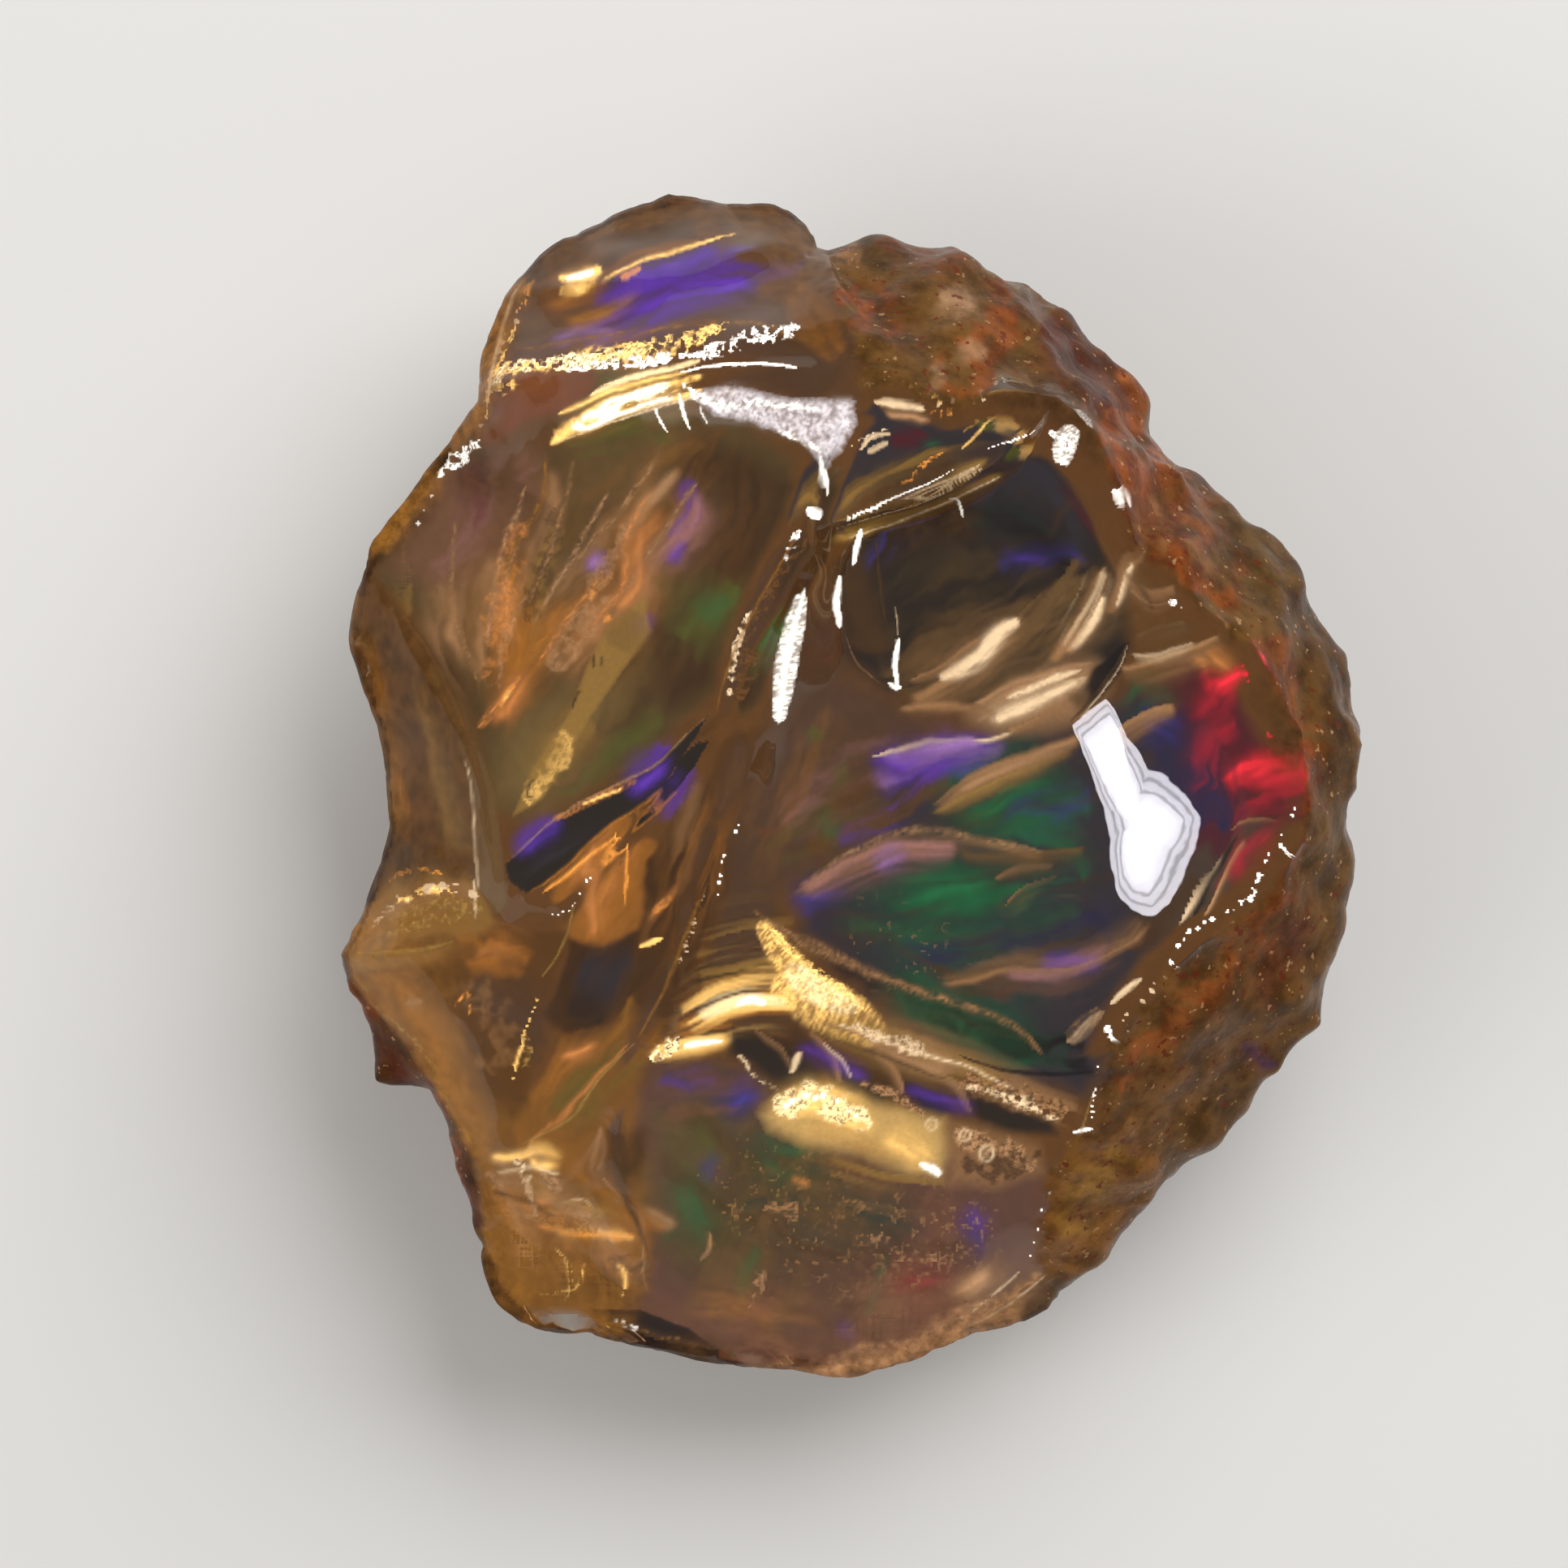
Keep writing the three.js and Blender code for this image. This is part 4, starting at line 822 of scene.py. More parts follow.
# Each stroke: tone, strength, half width, kind, then the spots that it runs through, as they show from above
deepStrokes = [
    # ground colour of each fracture: partly the opal's own colour, partly painted light and shade, each face
    # toned by how it bends light and the hollows darkened
    ("chestnut", 0.9, 0.25, "zone", (-9.7, 10.8), (-9.6, 11.9), (-9, 13.7), (-7.7, 14.9), (-6.4, 15.6),
     (-4.6, 16.2), (-2.6, 15.9), (-1, 15.5), (0.2, 14.1), (0.5, 12.2), (-0.9, 10.8), (-3.3, 12.6),
     (-5.9, 11.9), (-7.9, 11.5)),
    ("mocha", 0.8, 0.8, "zone", (-3.7, 14.8), (-1.1, 14.8), (0, 13.7), (0.5, 12.2), (-0.9, 10.4),
     (-3.3, 11.9)),
    ("mauve", 0.7, 0.5, "zone", (-9.4, 11.5), (-9, 12.8), (-7.7, 13.5), (-5.5, 14.1), (-2.4, 14.4),
     (-2, 12.8), (-4.2, 12.6), (-6.4, 11.9)),
    ("russet", 1, 0.1, "zone", (-10, 9.6), (-9.9, 10.2), (-9.3, 10.8), (-8.6, 11.4), (-7.5, 11.4),
     (-6.7, 11.2), (-7.2, 10.6), (-8.1, 10.2), (-9, 9.8), (-9.8, 9.3)),
    ("olive", 0.9, 0.3, "zone", (-9.9, 9.4), (-7.9, 9.9), (-5.5, 10.4), (-3.3, 10.6), (-1.1, 8.9),
     (-1.1, 7.8), (-2, 6.2), (-3.1, 4), (-3.3, 2.5), (-4.4, 1.6), (-5.5, 0.7), (-7.7, -0.2), (-9, -0.8),
     (-9.9, -0.4), (-10.8, 2.5), (-12.1, 5.1), (-13.1, 6), (-12.5, 7.3), (-11.6, 8.6), (-10.6, 9.2)),
    ("bark", 0.9, 0.5, "zone", (-4.2, 9.7), (-2.4, 9.1), (-1.1, 8.2), (-1.5, 6.9), (-2.8, 5.1), (-3.4, 2.7),
     (-4.8, 2), (-5.7, 4.7), (-5.3, 7.3)),
    ("sepia", 0.6, 0.5, "zone", (-7.7, 9.7), (-5.5, 10.3), (-4.4, 10), (-4.6, 8.2), (-6.4, 7.5), (-7.7, 8)),
    ("clay", 0.7, 0.5, "zone", (-10.8, 9.1), (-8.6, 9.4), (-8.3, 8.2), (-8.8, 6.4), (-10.8, 5.1), (-12.5, 6),
     (-12.1, 8)),
    ("sand", 0.6, 0.7, "zone", (-9, 2), (-7.2, 3.1), (-6.1, 2.7), (-7, 0.7), (-8.3, -0.6), (-9.9, -0.2),
     (-9.7, 1.2)),
    ("chestnut", 0.9, 0.15, "zone", (-13.2, 6.2), (-12.5, 5.2), (-11.6, 4), (-10.8, 2.4), (-10.1, 0.3),
     (-9.8, -1.9), (-9.9, -3.7), (-10.8, -3), (-11.9, -2.1), (-12.5, -0.6), (-13.1, 1.6), (-13.6, 3.8)),
    ("sand", 0.6, 0.3, "zone", (-11.4, 2.9), (-10.8, 2), (-10.3, 0.3), (-10.1, -1.5), (-10.8, -1.5),
     (-11.2, 0.3)),
    ("honey", 0.5, 0.3, "zone", (-13.6, 3.8), (-13.1, 2.7), (-12.1, 0.3), (-12, -1.7), (-12.7, -1),
     (-13.4, 1.6)),
    ("straw", 0.6, 0.25, "zone", (-14.1, -4.4), (-13.2, -3.1), (-12.3, -2.2), (-10.8, -1.9), (-9.9, -2.8),
     (-9.6, -3.7), (-10.8, -4.4), (-12.1, -4.6), (-13.6, -4.9)),
    ("chestnut", 0.9, 0.2, "zone", (-13.6, -4.9), (-12.1, -4.7), (-9.9, -3.9), (-7.9, -3.7), (-8.4, -4.8),
     (-8.8, -6.3), (-9.4, -9.2), (-10.2, -9.4), (-11.2, -7.4), (-12.5, -6.1)),
    ("honey", 0.7, 0.3, "zone", (-13.8, -4.7), (-13.2, -4.7), (-10.8, -7), (-9.4, -9.4), (-9.9, -10.1),
     (-11.2, -8.3), (-13, -6.3)),
    ("amber", 0.6, 0.15, "zone", (-6, -1.1), (-6.8, -1.9), (-7.8, -2.9), (-7.9, -3.9), (-6.8, -4.1),
     (-5.7, -3.9), (-5.5, -1.5)),
    ("bark", 0.9, 0.15, "zone", (-7.9, -3.9), (-6.8, -4.2), (-5.5, -3.9), (-5.3, -5), (-6.4, -6.3),
     (-7.7, -6.8), (-8.6, -6.1)),
    ("chestnut", 0.95, 0.2, "zone", (-5.5, -1.3), (-3.9, 0.3), (-3.3, 1.6), (-2, 2), (-2.6, -0.6),
     (-3.7, -2.8), (-4.8, -5.4), (-5.7, -7), (-6.4, -6.3), (-5.5, -4.6)),
    ("honey", 0.6, 0.2, "zone", (-9.4, -9.4), (-9, -8.1), (-7.7, -7), (-5.7, -6.5), (-6.1, -7.9),
     (-7.7, -9.4), (-9, -9.9)),
    ("honey", 0.6, 0.4, "zone", (-10.1, -9.6), (-7.7, -9.4), (-6.1, -7.9), (-5.5, -9.4), (-5.3, -11.6),
     (-5.7, -13.8), (-7.7, -14.7), (-9.7, -13.8), (-10.4, -12)),
    ("mauve", 0.9, 0.4, "zone", (-5.7, -7), (-2.2, -8.1), (1.1, -9.4), (5.5, -10.5), (4.9, -12.9),
     (2.2, -14.9), (-1.1, -16.1), (-4.4, -15.1), (-5.9, -14), (-5.5, -11.6), (-6.2, -9.4)),
    ("moss", 0.5, 0.9, "zone", (-5.5, -9), (-3.3, -8.7), (-1.1, -9.8), (1.1, -10.7), (0.7, -12.5),
     (-2, -12.9), (-4.6, -12.9)),
    ("clay", 0.5, 0.6, "zone", (-5.9, -13.8), (-2.2, -13.8), (1.1, -13.6), (5.1, -12.5), (2.2, -15.3),
     (-1.1, -16.2), (-4.4, -15.3)),
    ("mocha", 0.9, 0.15, "zone", (-3.4, -3), (-2.2, -3), (-2, -4.6), (-3.3, -6.3), (-4.8, -7), (-5.5, -6.8),
     (-4.4, -4.6)),
    ("mocha", 0.95, 0.7, "zone", (-0.9, 6.2), (0, 3.1), (2.2, 2), (2.4, 0.3), (0.7, -2.4), (-2, -3),
     (-3.3, -4.6), (-4.2, -5), (-3.7, -1.7), (-2.6, 1.6), (-1.8, 4.7)),
    ("night", 1, 0.5, "zone", (0.7, 0.5), (4.2, 1.7), (6.2, 1.8), (7.7, 2.7), (9.9, 1.6), (9.9, -2.8),
     (7.7, -5.9), (6.8, -8.3), (4.2, -7.9), (1.1, -5.9), (-1.5, -3.9), (-0.9, -2.4), (1.1, -1.5)),
    ("teal", 0.8, 0.9, "zone", (0, -2.6), (2.9, -1.9), (5.5, -2.4), (6.4, -4.6), (4.2, -7), (1.1, -5.4)),
    ("soot", 1, 0.4, "zone", (-0.6, 6.2), (0.2, 7), (4, 8.3), (5.3, 10), (6.4, 10), (7.2, 8.4), (7.6, 6.9),
     (7.6, 4), (6.6, 2.4), (5.5, 1.5), (4.2, 1.5), (2.4, 2.7), (1.1, 2.6), (-0.2, 3.6)),
    ("night", 0.9, 0.7, "zone", (2.9, 7.8), (4.2, 8.2), (5.3, 9.7), (6.4, 9.7), (7.1, 8.2), (6.8, 6.9),
     (5.1, 6), (3.3, 6.2)),
    ("night", 0.95, 0.15, "zone", (0.3, 10.8), (0, 10), (-0.6, 8.8), (-1, 7.2), (1.1, 7.9), (4, 9.1),
     (5.3, 10.2), (4.2, 10.9), (2.9, 10.4), (1.6, 11), (0.7, 11.1)),
    ("sepia", 1, 0.12, "zone", (-0.5, 8.2), (1.6, 8.9), (3.3, 9.4), (4.2, 9.3), (3.3, 8.5), (1.1, 7.7),
     (-0.9, 7)),
    ("wine", 0.9, 0.5, "zone", (8.4, 2.7), (9.9, 4), (11.2, 2.9), (12.6, 0.5), (12.6, -0.8), (10.8, -2.4),
     (9.5, -3), (9.4, 0.5)),
    ("dusk", 0.9, 0.2, "zone", (8.6, -3.2), (9.7, -1.7), (11.2, -0.8), (12.1, -1.3), (10.6, -3.5),
     (8.8, -4.3)),
    # top strip and top scoop
    ("umber", 0.9, 1.3, "haze", (-9, 14.1), (-6.4, 15.5), (-3.3, 15.7), (-1.1, 15)),
    ("honey", 0.6, 1, "veils", (-8.8, 13.7), (-6.4, 15), (-3.7, 15.5), (-1.1, 14.8)),
    ("amber", 0.64, 0.5, "veils", (-4.2, 15), (-2.8, 15.2), (-1.4, 15)),
    ("mauve", 0.9, 1.5, "haze", (-9.2, 12.2), (-5.9, 13), (-2.2, 13.3)),
    ("umber", 1, 0.9, "veils", (-4.2, 13), (-2.4, 12.8), (-0.9, 12.2)),
    ("sepia", 0.96, 0.8, "veils", (-9.4, 11.9), (-7.7, 12.7), (-5, 13.3), (-2, 13.9)),
    ("amber", 0.56, 0.7, "veils", (-2.6, 14.1), (-1.5, 13.5), (-0.4, 11.9)),
    ("violet", 1, 0.34, "flare", (-7.1, 13.4), (-5.5, 13.8), (-4.2, 14.2), (-3.3, 14.5)),
    ("violet", 1, 0.6, "flare", (-7.3, 11.7), (-6.1, 12.7), (-5.1, 13.3), (-3.7, 13.7), (-2.4, 13.8)),
    ("violet", 1, 0.4, "veils", (-6.4, 13.8), (-4.2, 14.1), (-1.3, 14)),
    ("lilac", 0.6, 0.35, "flare", (-8.3, 12.1), (-7.2, 12.3), (-6, 12.3)),
    ("rose", 0.7, 0.35, "flare", (-7.9, 12.4), (-6.8, 12.9), (-5.5, 13.7)),
    ("honey", 0.7, 0.3, "flare", (-7.9, 12.8), (-6.6, 13.1), (-6.2, 13.4)),
    ("russet", 1, 0.8, "haze", (-9.9, 10.2), (-9, 10.5), (-7.7, 11)),
    ("moss", 0.5, 0.9, "haze", (-7, 10.8), (-5.7, 11.1)),
    # left face
    ("umber", 1, 1.8, "shade", (-2, 9.1), (-3.3, 6), (-4.6, 2)),
    ("brown", 0.9, 1.6, "veils", (-3.3, 10), (-4.4, 6.9), (-6.4, 2.5)),
    ("rose", 0.5, 1.1, "veils", (-9, 9.4), (-9.7, 7.3), (-10.8, 5.6)),
    ("plum", 0.9, 0.3, "flare", (-10, 9.1), (-10.2, 8), (-10.1, 6.9)),
    ("sepia", 0.9, 1.2, "flare", (-6.8, 10), (-6.1, 9.1), (-5.5, 9.1)),
    ("moss", 0.8, 0.9, "veils", (-7.7, 9.5), (-5.7, 10), (-4.8, 9.7)),
    ("honey", 0.5, 2.2, "veils", (-3.7, 9.5), (-5.7, 6.9), (-7.7, 4), (-9.4, 1.6)),
    ("tan", 0.5, 1.6, "veils", (-4.4, 9.1), (-6.1, 6.4), (-8.6, 3.4)),
    ("honey", 0.65, 1.2, "flare", (-8.8, 7.3), (-9.5, 5.1), (-10.2, 2)),
    ("tan", 0.65, 0.9, "veils", (-9, 7.1), (-9.9, 4.7), (-10.5, 2.5)),
    ("amber", 0.58, 0.8, "flare", (-7.7, 5.6), (-8.6, 4), (-9.7, 2.3)),
    ("tan", 0.65, 0.36, "flare", (-8.3, 9.1), (-8.2, 8.1), (-8.5, 6.8), (-9, 5.7), (-9.5, 4.5)),
    ("tan", 0.68, 0.5, "flare", (-5, 9.1), (-6.5, 7.2), (-7.6, 6), (-8.4, 4.9)),
    ("amber", 0.75, 0.9, "flare", (-4.8, 8.4), (-5.7, 6.9), (-6.1, 5.6), (-7, 4.4), (-8.1, 3.1)),
    ("orange", 0.68, 0.5, "flare", (-5.2, 8), (-5.8, 6.7), (-5.9, 5.6), (-6.6, 4.7), (-7.6, 4)),
    ("tan", 0.65, 0.65, "flare", (-3.9, 8.2), (-5.1, 6.2), (-6.1, 5.1), (-7.2, 4.1), (-8.3, 2.9)),
    ("peach", 0.5, 0.3, "flare", (-4.1, 8.2), (-5.2, 6.4), (-6, 5.4), (-6.9, 4.6)),
    ("amber", 0.8, 0.5, "flare", (-8.9, 6.9), (-9.4, 5.1), (-9.3, 3.6), (-9.7, 2.7)),
    ("peach", 0.5, 0.3, "flare", (-9.3, 6.2), (-9.5, 5), (-9.3, 3.8)),
    ("peach", 0.5, 0.4, "flare", (-9.6, 6.7), (-10, 5.7), (-10.1, 4.6), (-10.4, 2.7)),
    ("tan", 0.65, 0.7, "flare", (-10.8, 6), (-11.1, 4.2), (-10.8, 2.7)),
    ("orange", 0.75, 0.45, "flare", (-10.2, 1.6), (-9.4, 2.3), (-8.7, 3.5)),
    ("rose", 0.8, 0.6, "flare", (-4.3, 8.4), (-4.5, 7.3), (-5.1, 5.8)),
    ("plum", 0.6, 0.5, "veils", (-4.4, 8.2), (-4.6, 7.1), (-5.7, 5.6)),
    ("violet", 0.7, 0.3, "veils", (-4.2, 8.4), (-4.5, 7.5), (-5.1, 7)),
    ("violet", 0.6, 0.24, "flare", (-4.5, 6.9), (-5, 6.1)),
    ("lilac", 1, 0.36, "flare", (-7.3, 6), (-6.9, 6.3), (-6.5, 6.5)),
    ("violet", 0.5, 0.3, "flare", (-5.5, 5), (-5.6, 4.7), (-6, 4.2)),
    ("moss", 1, 1, "haze", (-2.9, 5.5), (-3.7, 4.9), (-4.6, 4)),
    ("green", 0.4, 0.6, "haze", (-3.2, 5.3), (-3.6, 5), (-4.1, 4.5)),
    ("moss", 0.6, 0.5, "flare", (-4.5, 5.9), (-4.7, 5.5), (-4.9, 5)),
    ("umber", 0.8, 1.2, "shade", (-4.2, 3.1), (-5.7, 1.4), (-7.7, 0.1)),
    ("sepia", 0.8, 1, "flare", (-6.1, 1.8), (-7.7, 0.5), (-9, -0.3)),
    ("moss", 0.7, 0.7, "veils", (-5, 2), (-6.8, 0.5), (-7.9, -0.2)),
    ("violet", 0.7, 0.5, "haze", (-4.7, 0.9), (-5.2, 0.2), (-4.8, -0.3)),
    # side flake and lobe
    ("bark", 0.9, 0.6, "haze", (-12.7, 4.7), (-11.6, 2.9), (-10.8, 0.9)),
    ("amber", 1, 0.42, "veils", (-13, 4), (-12.4, 1.6), (-12.1, -0.6)),
    ("straw", 0.96, 0.35, "veils", (-11.6, 3.1), (-11, 0.9), (-10.5, -1.5)),
    ("dusk", 0.8, 0.5, "haze", (-12.5, -2.1), (-11.4, -2), (-10.5, -2.4)),
    ("honey", 0.8, 0.9, "haze", (-13.2, -3.9), (-11.6, -3.5), (-10.3, -3.5)),
    ("tan", 0.8, 0.8, "veils", (-13.4, -3.9), (-11.6, -3.5), (-10.1, -3)),
    ("mocha", 0.9, 0.9, "haze", (-10.8, -5), (-9.4, -5.9), (-9, -7.2)),
    ("amber", 0.96, 0.6, "veils", (-10.8, -4.4), (-9.7, -4.3), (-8.7, -4.7)),
    ("honey", 0.8, 0.9, "haze", (-13.2, -5), (-11.6, -6.5), (-10.5, -8.3), (-9.7, -10.3)),
    ("amber", 0.5, 0.7, "veils", (-13.2, -4.8), (-11.4, -6.8), (-9.9, -9.6)),
    # diamond scoop, seam and crumpled corner
    ("amber", 0.5, 0.7, "veils", (-6.4, -1.3), (-6.9, -2.6), (-6.9, -4.2)),
    ("orange", 0.5, 0.4, "veils", (-6.1, -1.3), (-6.9, -2.6), (-7, -3.9)),
    ("bark", 0.8, 0.9, "haze", (-3.5, 0.1), (-4.3, -2.4), (-5, -4.6), (-5.7, -6.5)),
    ("amber", 0.5, 0.5, "veils", (-3.5, 0.3), (-4.4, -2.6), (-5.5, -5.7)),
    ("bark", 0.9, 0.3, "haze", (-5.6, -1.9), (-5.5, -2.8), (-5.3, -3.5)),
    ("night", 0.9, 0.75, "haze", (-7.6, -4.8), (-6.6, -5), (-5.7, -5)),
    ("soot", 0.8, 0.6, "haze", (-7.7, -5.9), (-6.6, -6)),
    ("honey", 0.8, 0.7, "veils", (-7.9, -7.6), (-6.8, -7), (-5.5, -5.9)),
    ("amber", 0.8, 0.6, "veils", (-8.8, -8.7), (-7.5, -7.4), (-5.9, -6.5)),
    ("moss", 0.7, 0.5, "veils", (-8.1, -9), (-6.8, -7.9), (-5.9, -7)),
    ("honey", 0.5, 1.5, "haze", (-9.2, -10.5), (-7.7, -11.4), (-7.2, -13.1)),
    ("amber", 0.45, 1.2, "veils", (-9.4, -10.1), (-7.7, -11.4), (-5.7, -12.5)),
    ("bark", 1, 0.7, "veils", (-7.2, -10.3), (-6.7, -11.6), (-6.6, -13.6)),
    ("bark", 0.9, 0.6, "veils", (-9, -11.2), (-7.9, -12.6), (-7, -13.8)),
    ("bark", 0.7, 0.4, "flare", (-6, -9), (-6.2, -10.1), (-6.2, -11.2)),
    # bottom face
    ("mocha", 0.8, 3.2, "haze", (-3.3, -9.8), (-0.6, -12.3), (1.6, -13.1)),
    ("sepia", 0.96, 2.4, "veils", (-1.5, -7.9), (-2.4, -11.2), (-3.5, -14.7)),
    ("clay", 0.64, 2.2, "veils", (2.9, -9.4), (1.6, -12), (0.2, -15.1)),
    ("mocha", 0.9, 1.4, "haze", (-4.4, -5.4), (-2.6, -6.3), (-2, -7.6)),
    ("dusk", 0.96, 1.2, "veils", (-5.5, -7.9), (-3.3, -8.3), (-1.3, -9.4)),
    ("moss", 0.6, 1.4, "veils", (-4.6, -8.7), (-4.2, -10.9), (-3.3, -12.5)),
    ("green", 0.6, 0.7, "flare", (-4.7, -10.1), (-4.4, -11.2), (-3.7, -12.5)),
    ("green", 0.5, 0.5, "flare", (-5.5, -12), (-4.8, -12.5)),
    ("green", 0.6, 0.7, "flare", (-2.8, -9.4), (-1.8, -10.1), (-0.4, -10.5)),
    ("green", 0.5, 0.25, "flare", (-2.4, -12.3), (-3.2, -13.8)),
    ("green", 0.5, 0.2, "flame", (1, -12.7), (0.4, -14.2)),
    ("teal", 0.8, 0.9, "veils", (-3.3, -11.2), (-0.6, -11.6), (2, -12.5)),
    ("blue", 0.8, 0.5, "flare", (-3.9, -8.7), (-3.2, -8.4), (-2.2, -8.2)),
    ("blue", 0.5, 0.4, "flare", (-3.6, -9.7), (-3.8, -10.3), (-4, -10.9)),
    ("violet", 0.5, 0.4, "veils", (-5.5, -7.9), (-4.6, -8.1), (-3.7, -7.9)),
    ("clay", 0.8, 0.5, "veils", (-5.5, -9.2), (-3.9, -8.6), (-2.4, -8.4)),
    ("crimson", 0.35, 0.7, "flare", (0.7, -13.6), (2, -13.4), (3.1, -13.6)),
    ("clay", 0.8, 1, "veils", (0, -13.8), (2, -13.6), (4.2, -12.9)),
    ("orange", 0.32, 0.7, "veils", (-4.4, -14), (-2.6, -14.2), (-0.6, -14.7)),
    ("violet", 0.4, 0.35, "flare", (-0.4, -14.7), (0.2, -14.5)),
    ("violet", 0.55, 0.55, "flare", (3.2, -11.2), (3.4, -12.3)),
    ("blue", 0.5, 0.4, "flare", (3.1, -11.6), (3.5, -12.9)),
    # great hollow
    ("mocha", 1, 1.5, "haze", (-1.7, 1.6), (-1.8, -0.6), (-2.4, -2.4)),
    ("honey", 0.35, 1.2, "veils", (-0.9, 2.5), (-1.7, 0.3), (-2.6, -2.6)),
    ("rose", 0.45, 1.3, "veils", (-2, -0.8), (-0.2, 0.3), (1.3, 0.9)),
    ("moss", 0.5, 0.9, "veils", (-2.2, -1.7), (-0.6, -0.6), (0.2, 0.7)),
    ("brown", 0.9, 1.2, "veils", (-1.1, -1.9), (0.9, -0.4), (2.9, 0.5)),
    ("teal", 0.9, 1.6, "haze", (1.1, -3.5), (3.3, -4.1), (5.5, -3.5)),
    ("green", 0.8, 1.3, "veils", (0, -3.5), (2.9, -3.2), (6.2, -2.6)),
    ("navy", 1, 0.9, "veils", (1.1, -4.6), (4, -4.6), (7.3, -3.2)),
    ("umber", 0.9, 1.2, "veils", (-0.2, -4.1), (3.3, -5.3), (7.3, -4.6)),
    ("violet", 1, 0.55, "flare", (0.4, 0.6), (2, 0.9), (4.2, 1.3)),
    ("violet", 0.9, 0.6, "veils", (0.8, -0.4), (2.2, 0.5), (3.7, 0.8)),
    ("violet", 0.7, 0.4, "veils", (-0.3, -1.5), (0.9, -0.8), (2.4, -0.3)),
    ("lilac", 1, 0.4, "veils", (0.6, 0.4), (2.2, 0.8), (4, 1.1)),
    ("green", 1, 1.1, "flare", (2.2, -0.9), (4, -0.1), (6.2, 0.5)),
    ("green", 0.8, 0.8, "veils", (3.3, -0.6), (5.3, -0.4), (6.5, -0.3)),
    ("green", 1, 0.9, "flare", (0.7, -3), (2.4, -2.8), (4.4, -2.7)),
    ("green", 0.7, 0.6, "veils", (4, -1.3), (5.5, -1.7), (6.4, -2.6)),
    ("green", 0.6, 0.4, "flare", (-1.1, -1.4), (-0.4, -0.9), (0, -0.6)),
    ("moss", 0.8, 0.3, "haze", (-1.2, 1.7), (-1.1, 1.3)),
    ("blue", 0.8, 0.4, "veils", (4.2, -0.9), (5.5, -0.6), (6.5, 0)),
    ("blue", 0.8, 0.45, "flare", (-1.8, -3.2), (-0.9, -3), (0, -3)),
    ("amber", 0.3, 0.5, "veils", (3.8, -3.1), (5.3, -2.8), (6.6, -2.9)),
    ("russet", 0.6, 0.5, "veils", (-2.8, -0.9), (-2.2, -0.7), (-1.4, -0.4)),
    ("green", 0.8, 0.6, "flare", (0.7, -5.1), (2.7, -6.3), (5.5, -7.2)),
    ("green", 0.6, 0.4, "veils", (1.6, -5.9), (3.3, -6.6), (6.2, -7.4)),
    ("black", 0.9, 0.28, "flare", (-0.6, -4.7), (2, -5.9), (4.4, -6.9), (7.1, -7.5)),
    ("violet", 0.7, 0.3, "flare", (4.9, -4.7), (6, -4.8), (7.3, -4.7)),
    ("mauve", 0.8, 0.7, "veils", (3.3, -5.2), (5.5, -5.4), (7.7, -4.6)),
    ("navy", 1, 1.2, "haze", (8.4, 2), (9.5, 0.5), (9.9, -1)),
    ("green", 0.6, 0.5, "flare", (7.1, 2.2), (8.2, 2.6), (9.3, 2.7)),
    ("blue", 0.8, 0.4, "flare", (7.6, 2), (8.6, 1.6), (9.3, 1.1)),
    ("wine", 0.95, 1, "haze", (9.5, 2.5), (10.6, 1.6), (10.8, -0.4)),
    ("crimson", 0.9, 0.5, "flare", (9.3, 1.8), (10.3, 2.5), (11.5, 3.3)),
    ("red", 0.9, 0.35, "flare", (9.8, 2.8), (10.5, 3.3), (11.4, 3.6)),
    ("red", 1, 0.5, "flare", (10.1, 0), (11.6, 0.6), (13.2, 1.1)),
    ("crimson", 0.9, 0.6, "veils", (10.4, -0.8), (11.9, 0.1), (13.2, 0.7)),
    ("crimson", 0.9, 0.5, "veils", (10.1, -3), (11, -1.9), (12, -0.8)),
    ("crimson", 0.7, 0.5, "veils", (9.5, -0.2), (10.1, 1.2), (11, 2)),
    ("plum", 1, 0.7, "veils", (9.5, 1.6), (10.4, 0.3), (10.8, -1.5)),
    ("orange", 0.9, 0.45, "flare", (9.5, 3.5), (10.3, 4), (10.8, 3.8)),
    ("umber", 0.8, 0.8, "haze", (9.7, -2.4), (8.6, -3.7), (7.7, -4.3)),
    # upper hollow, darkened with painted shade
    ("soot", 1, 2.4, "haze", (1.3, 5.6), (4, 6.9), (6, 7.8)),
    ("night", 0.9, 1.3, "haze", (3.3, 8), (5.1, 8.6), (6.4, 8)),
    ("sepia", 0.7, 1.4, "veils", (0.9, 2.9), (3.5, 4.1), (6.2, 5.7)),
    ("olive", 0.6, 0.8, "veils", (0.7, 4.2), (2.4, 5.6), (4, 6.2)),
    ("sepia", 1, 0.8, "veils", (1.6, 3.4), (3.1, 3.8), (4.9, 4.9), (7, 6.4)),
    ("blue", 0.6, 0.34, "veils", (3.9, 6.1), (5.3, 6.4), (6.6, 6.7)),
    ("violet", 0.8, 0.14, "veils", (4.2, 6.3), (5.2, 6.3), (6.1, 6.5)),
    ("violet", 0.6, 0.12, "veils", (4.3, 5.65), (5.1, 5.75), (5.75, 5.9)),
    ("blue", 0.9, 0.4, "veils", (0.5, 5.7), (1.3, 6.8), (2.4, 7.3)),
    ("umber", 1, 0.6, "haze", (0, 6.7), (0.1, 5.1), (0.7, 3.8)),
    ("wine", 0.7, 0.5, "flare", (6.3, 9.1), (7, 8.3), (7.5, 7.1)),
    # pocket
    ("night", 1, 1, "haze", (0, 9.1), (1.3, 9.6), (3.1, 10)),
    ("wine", 0.95, 0.45, "haze", (1, 9.8), (2.3, 10.1)),
    ("green", 0.7, 0.3, "flare", (2, 9.3), (2.9, 9.7)),
    ("gold", 0.3, 0.55, "haze", (4.2, 10.4), (5, 10.4)),
    ("moss", 1, 0.4, "haze", (3.7, 10.4), (4.2, 10.6)),
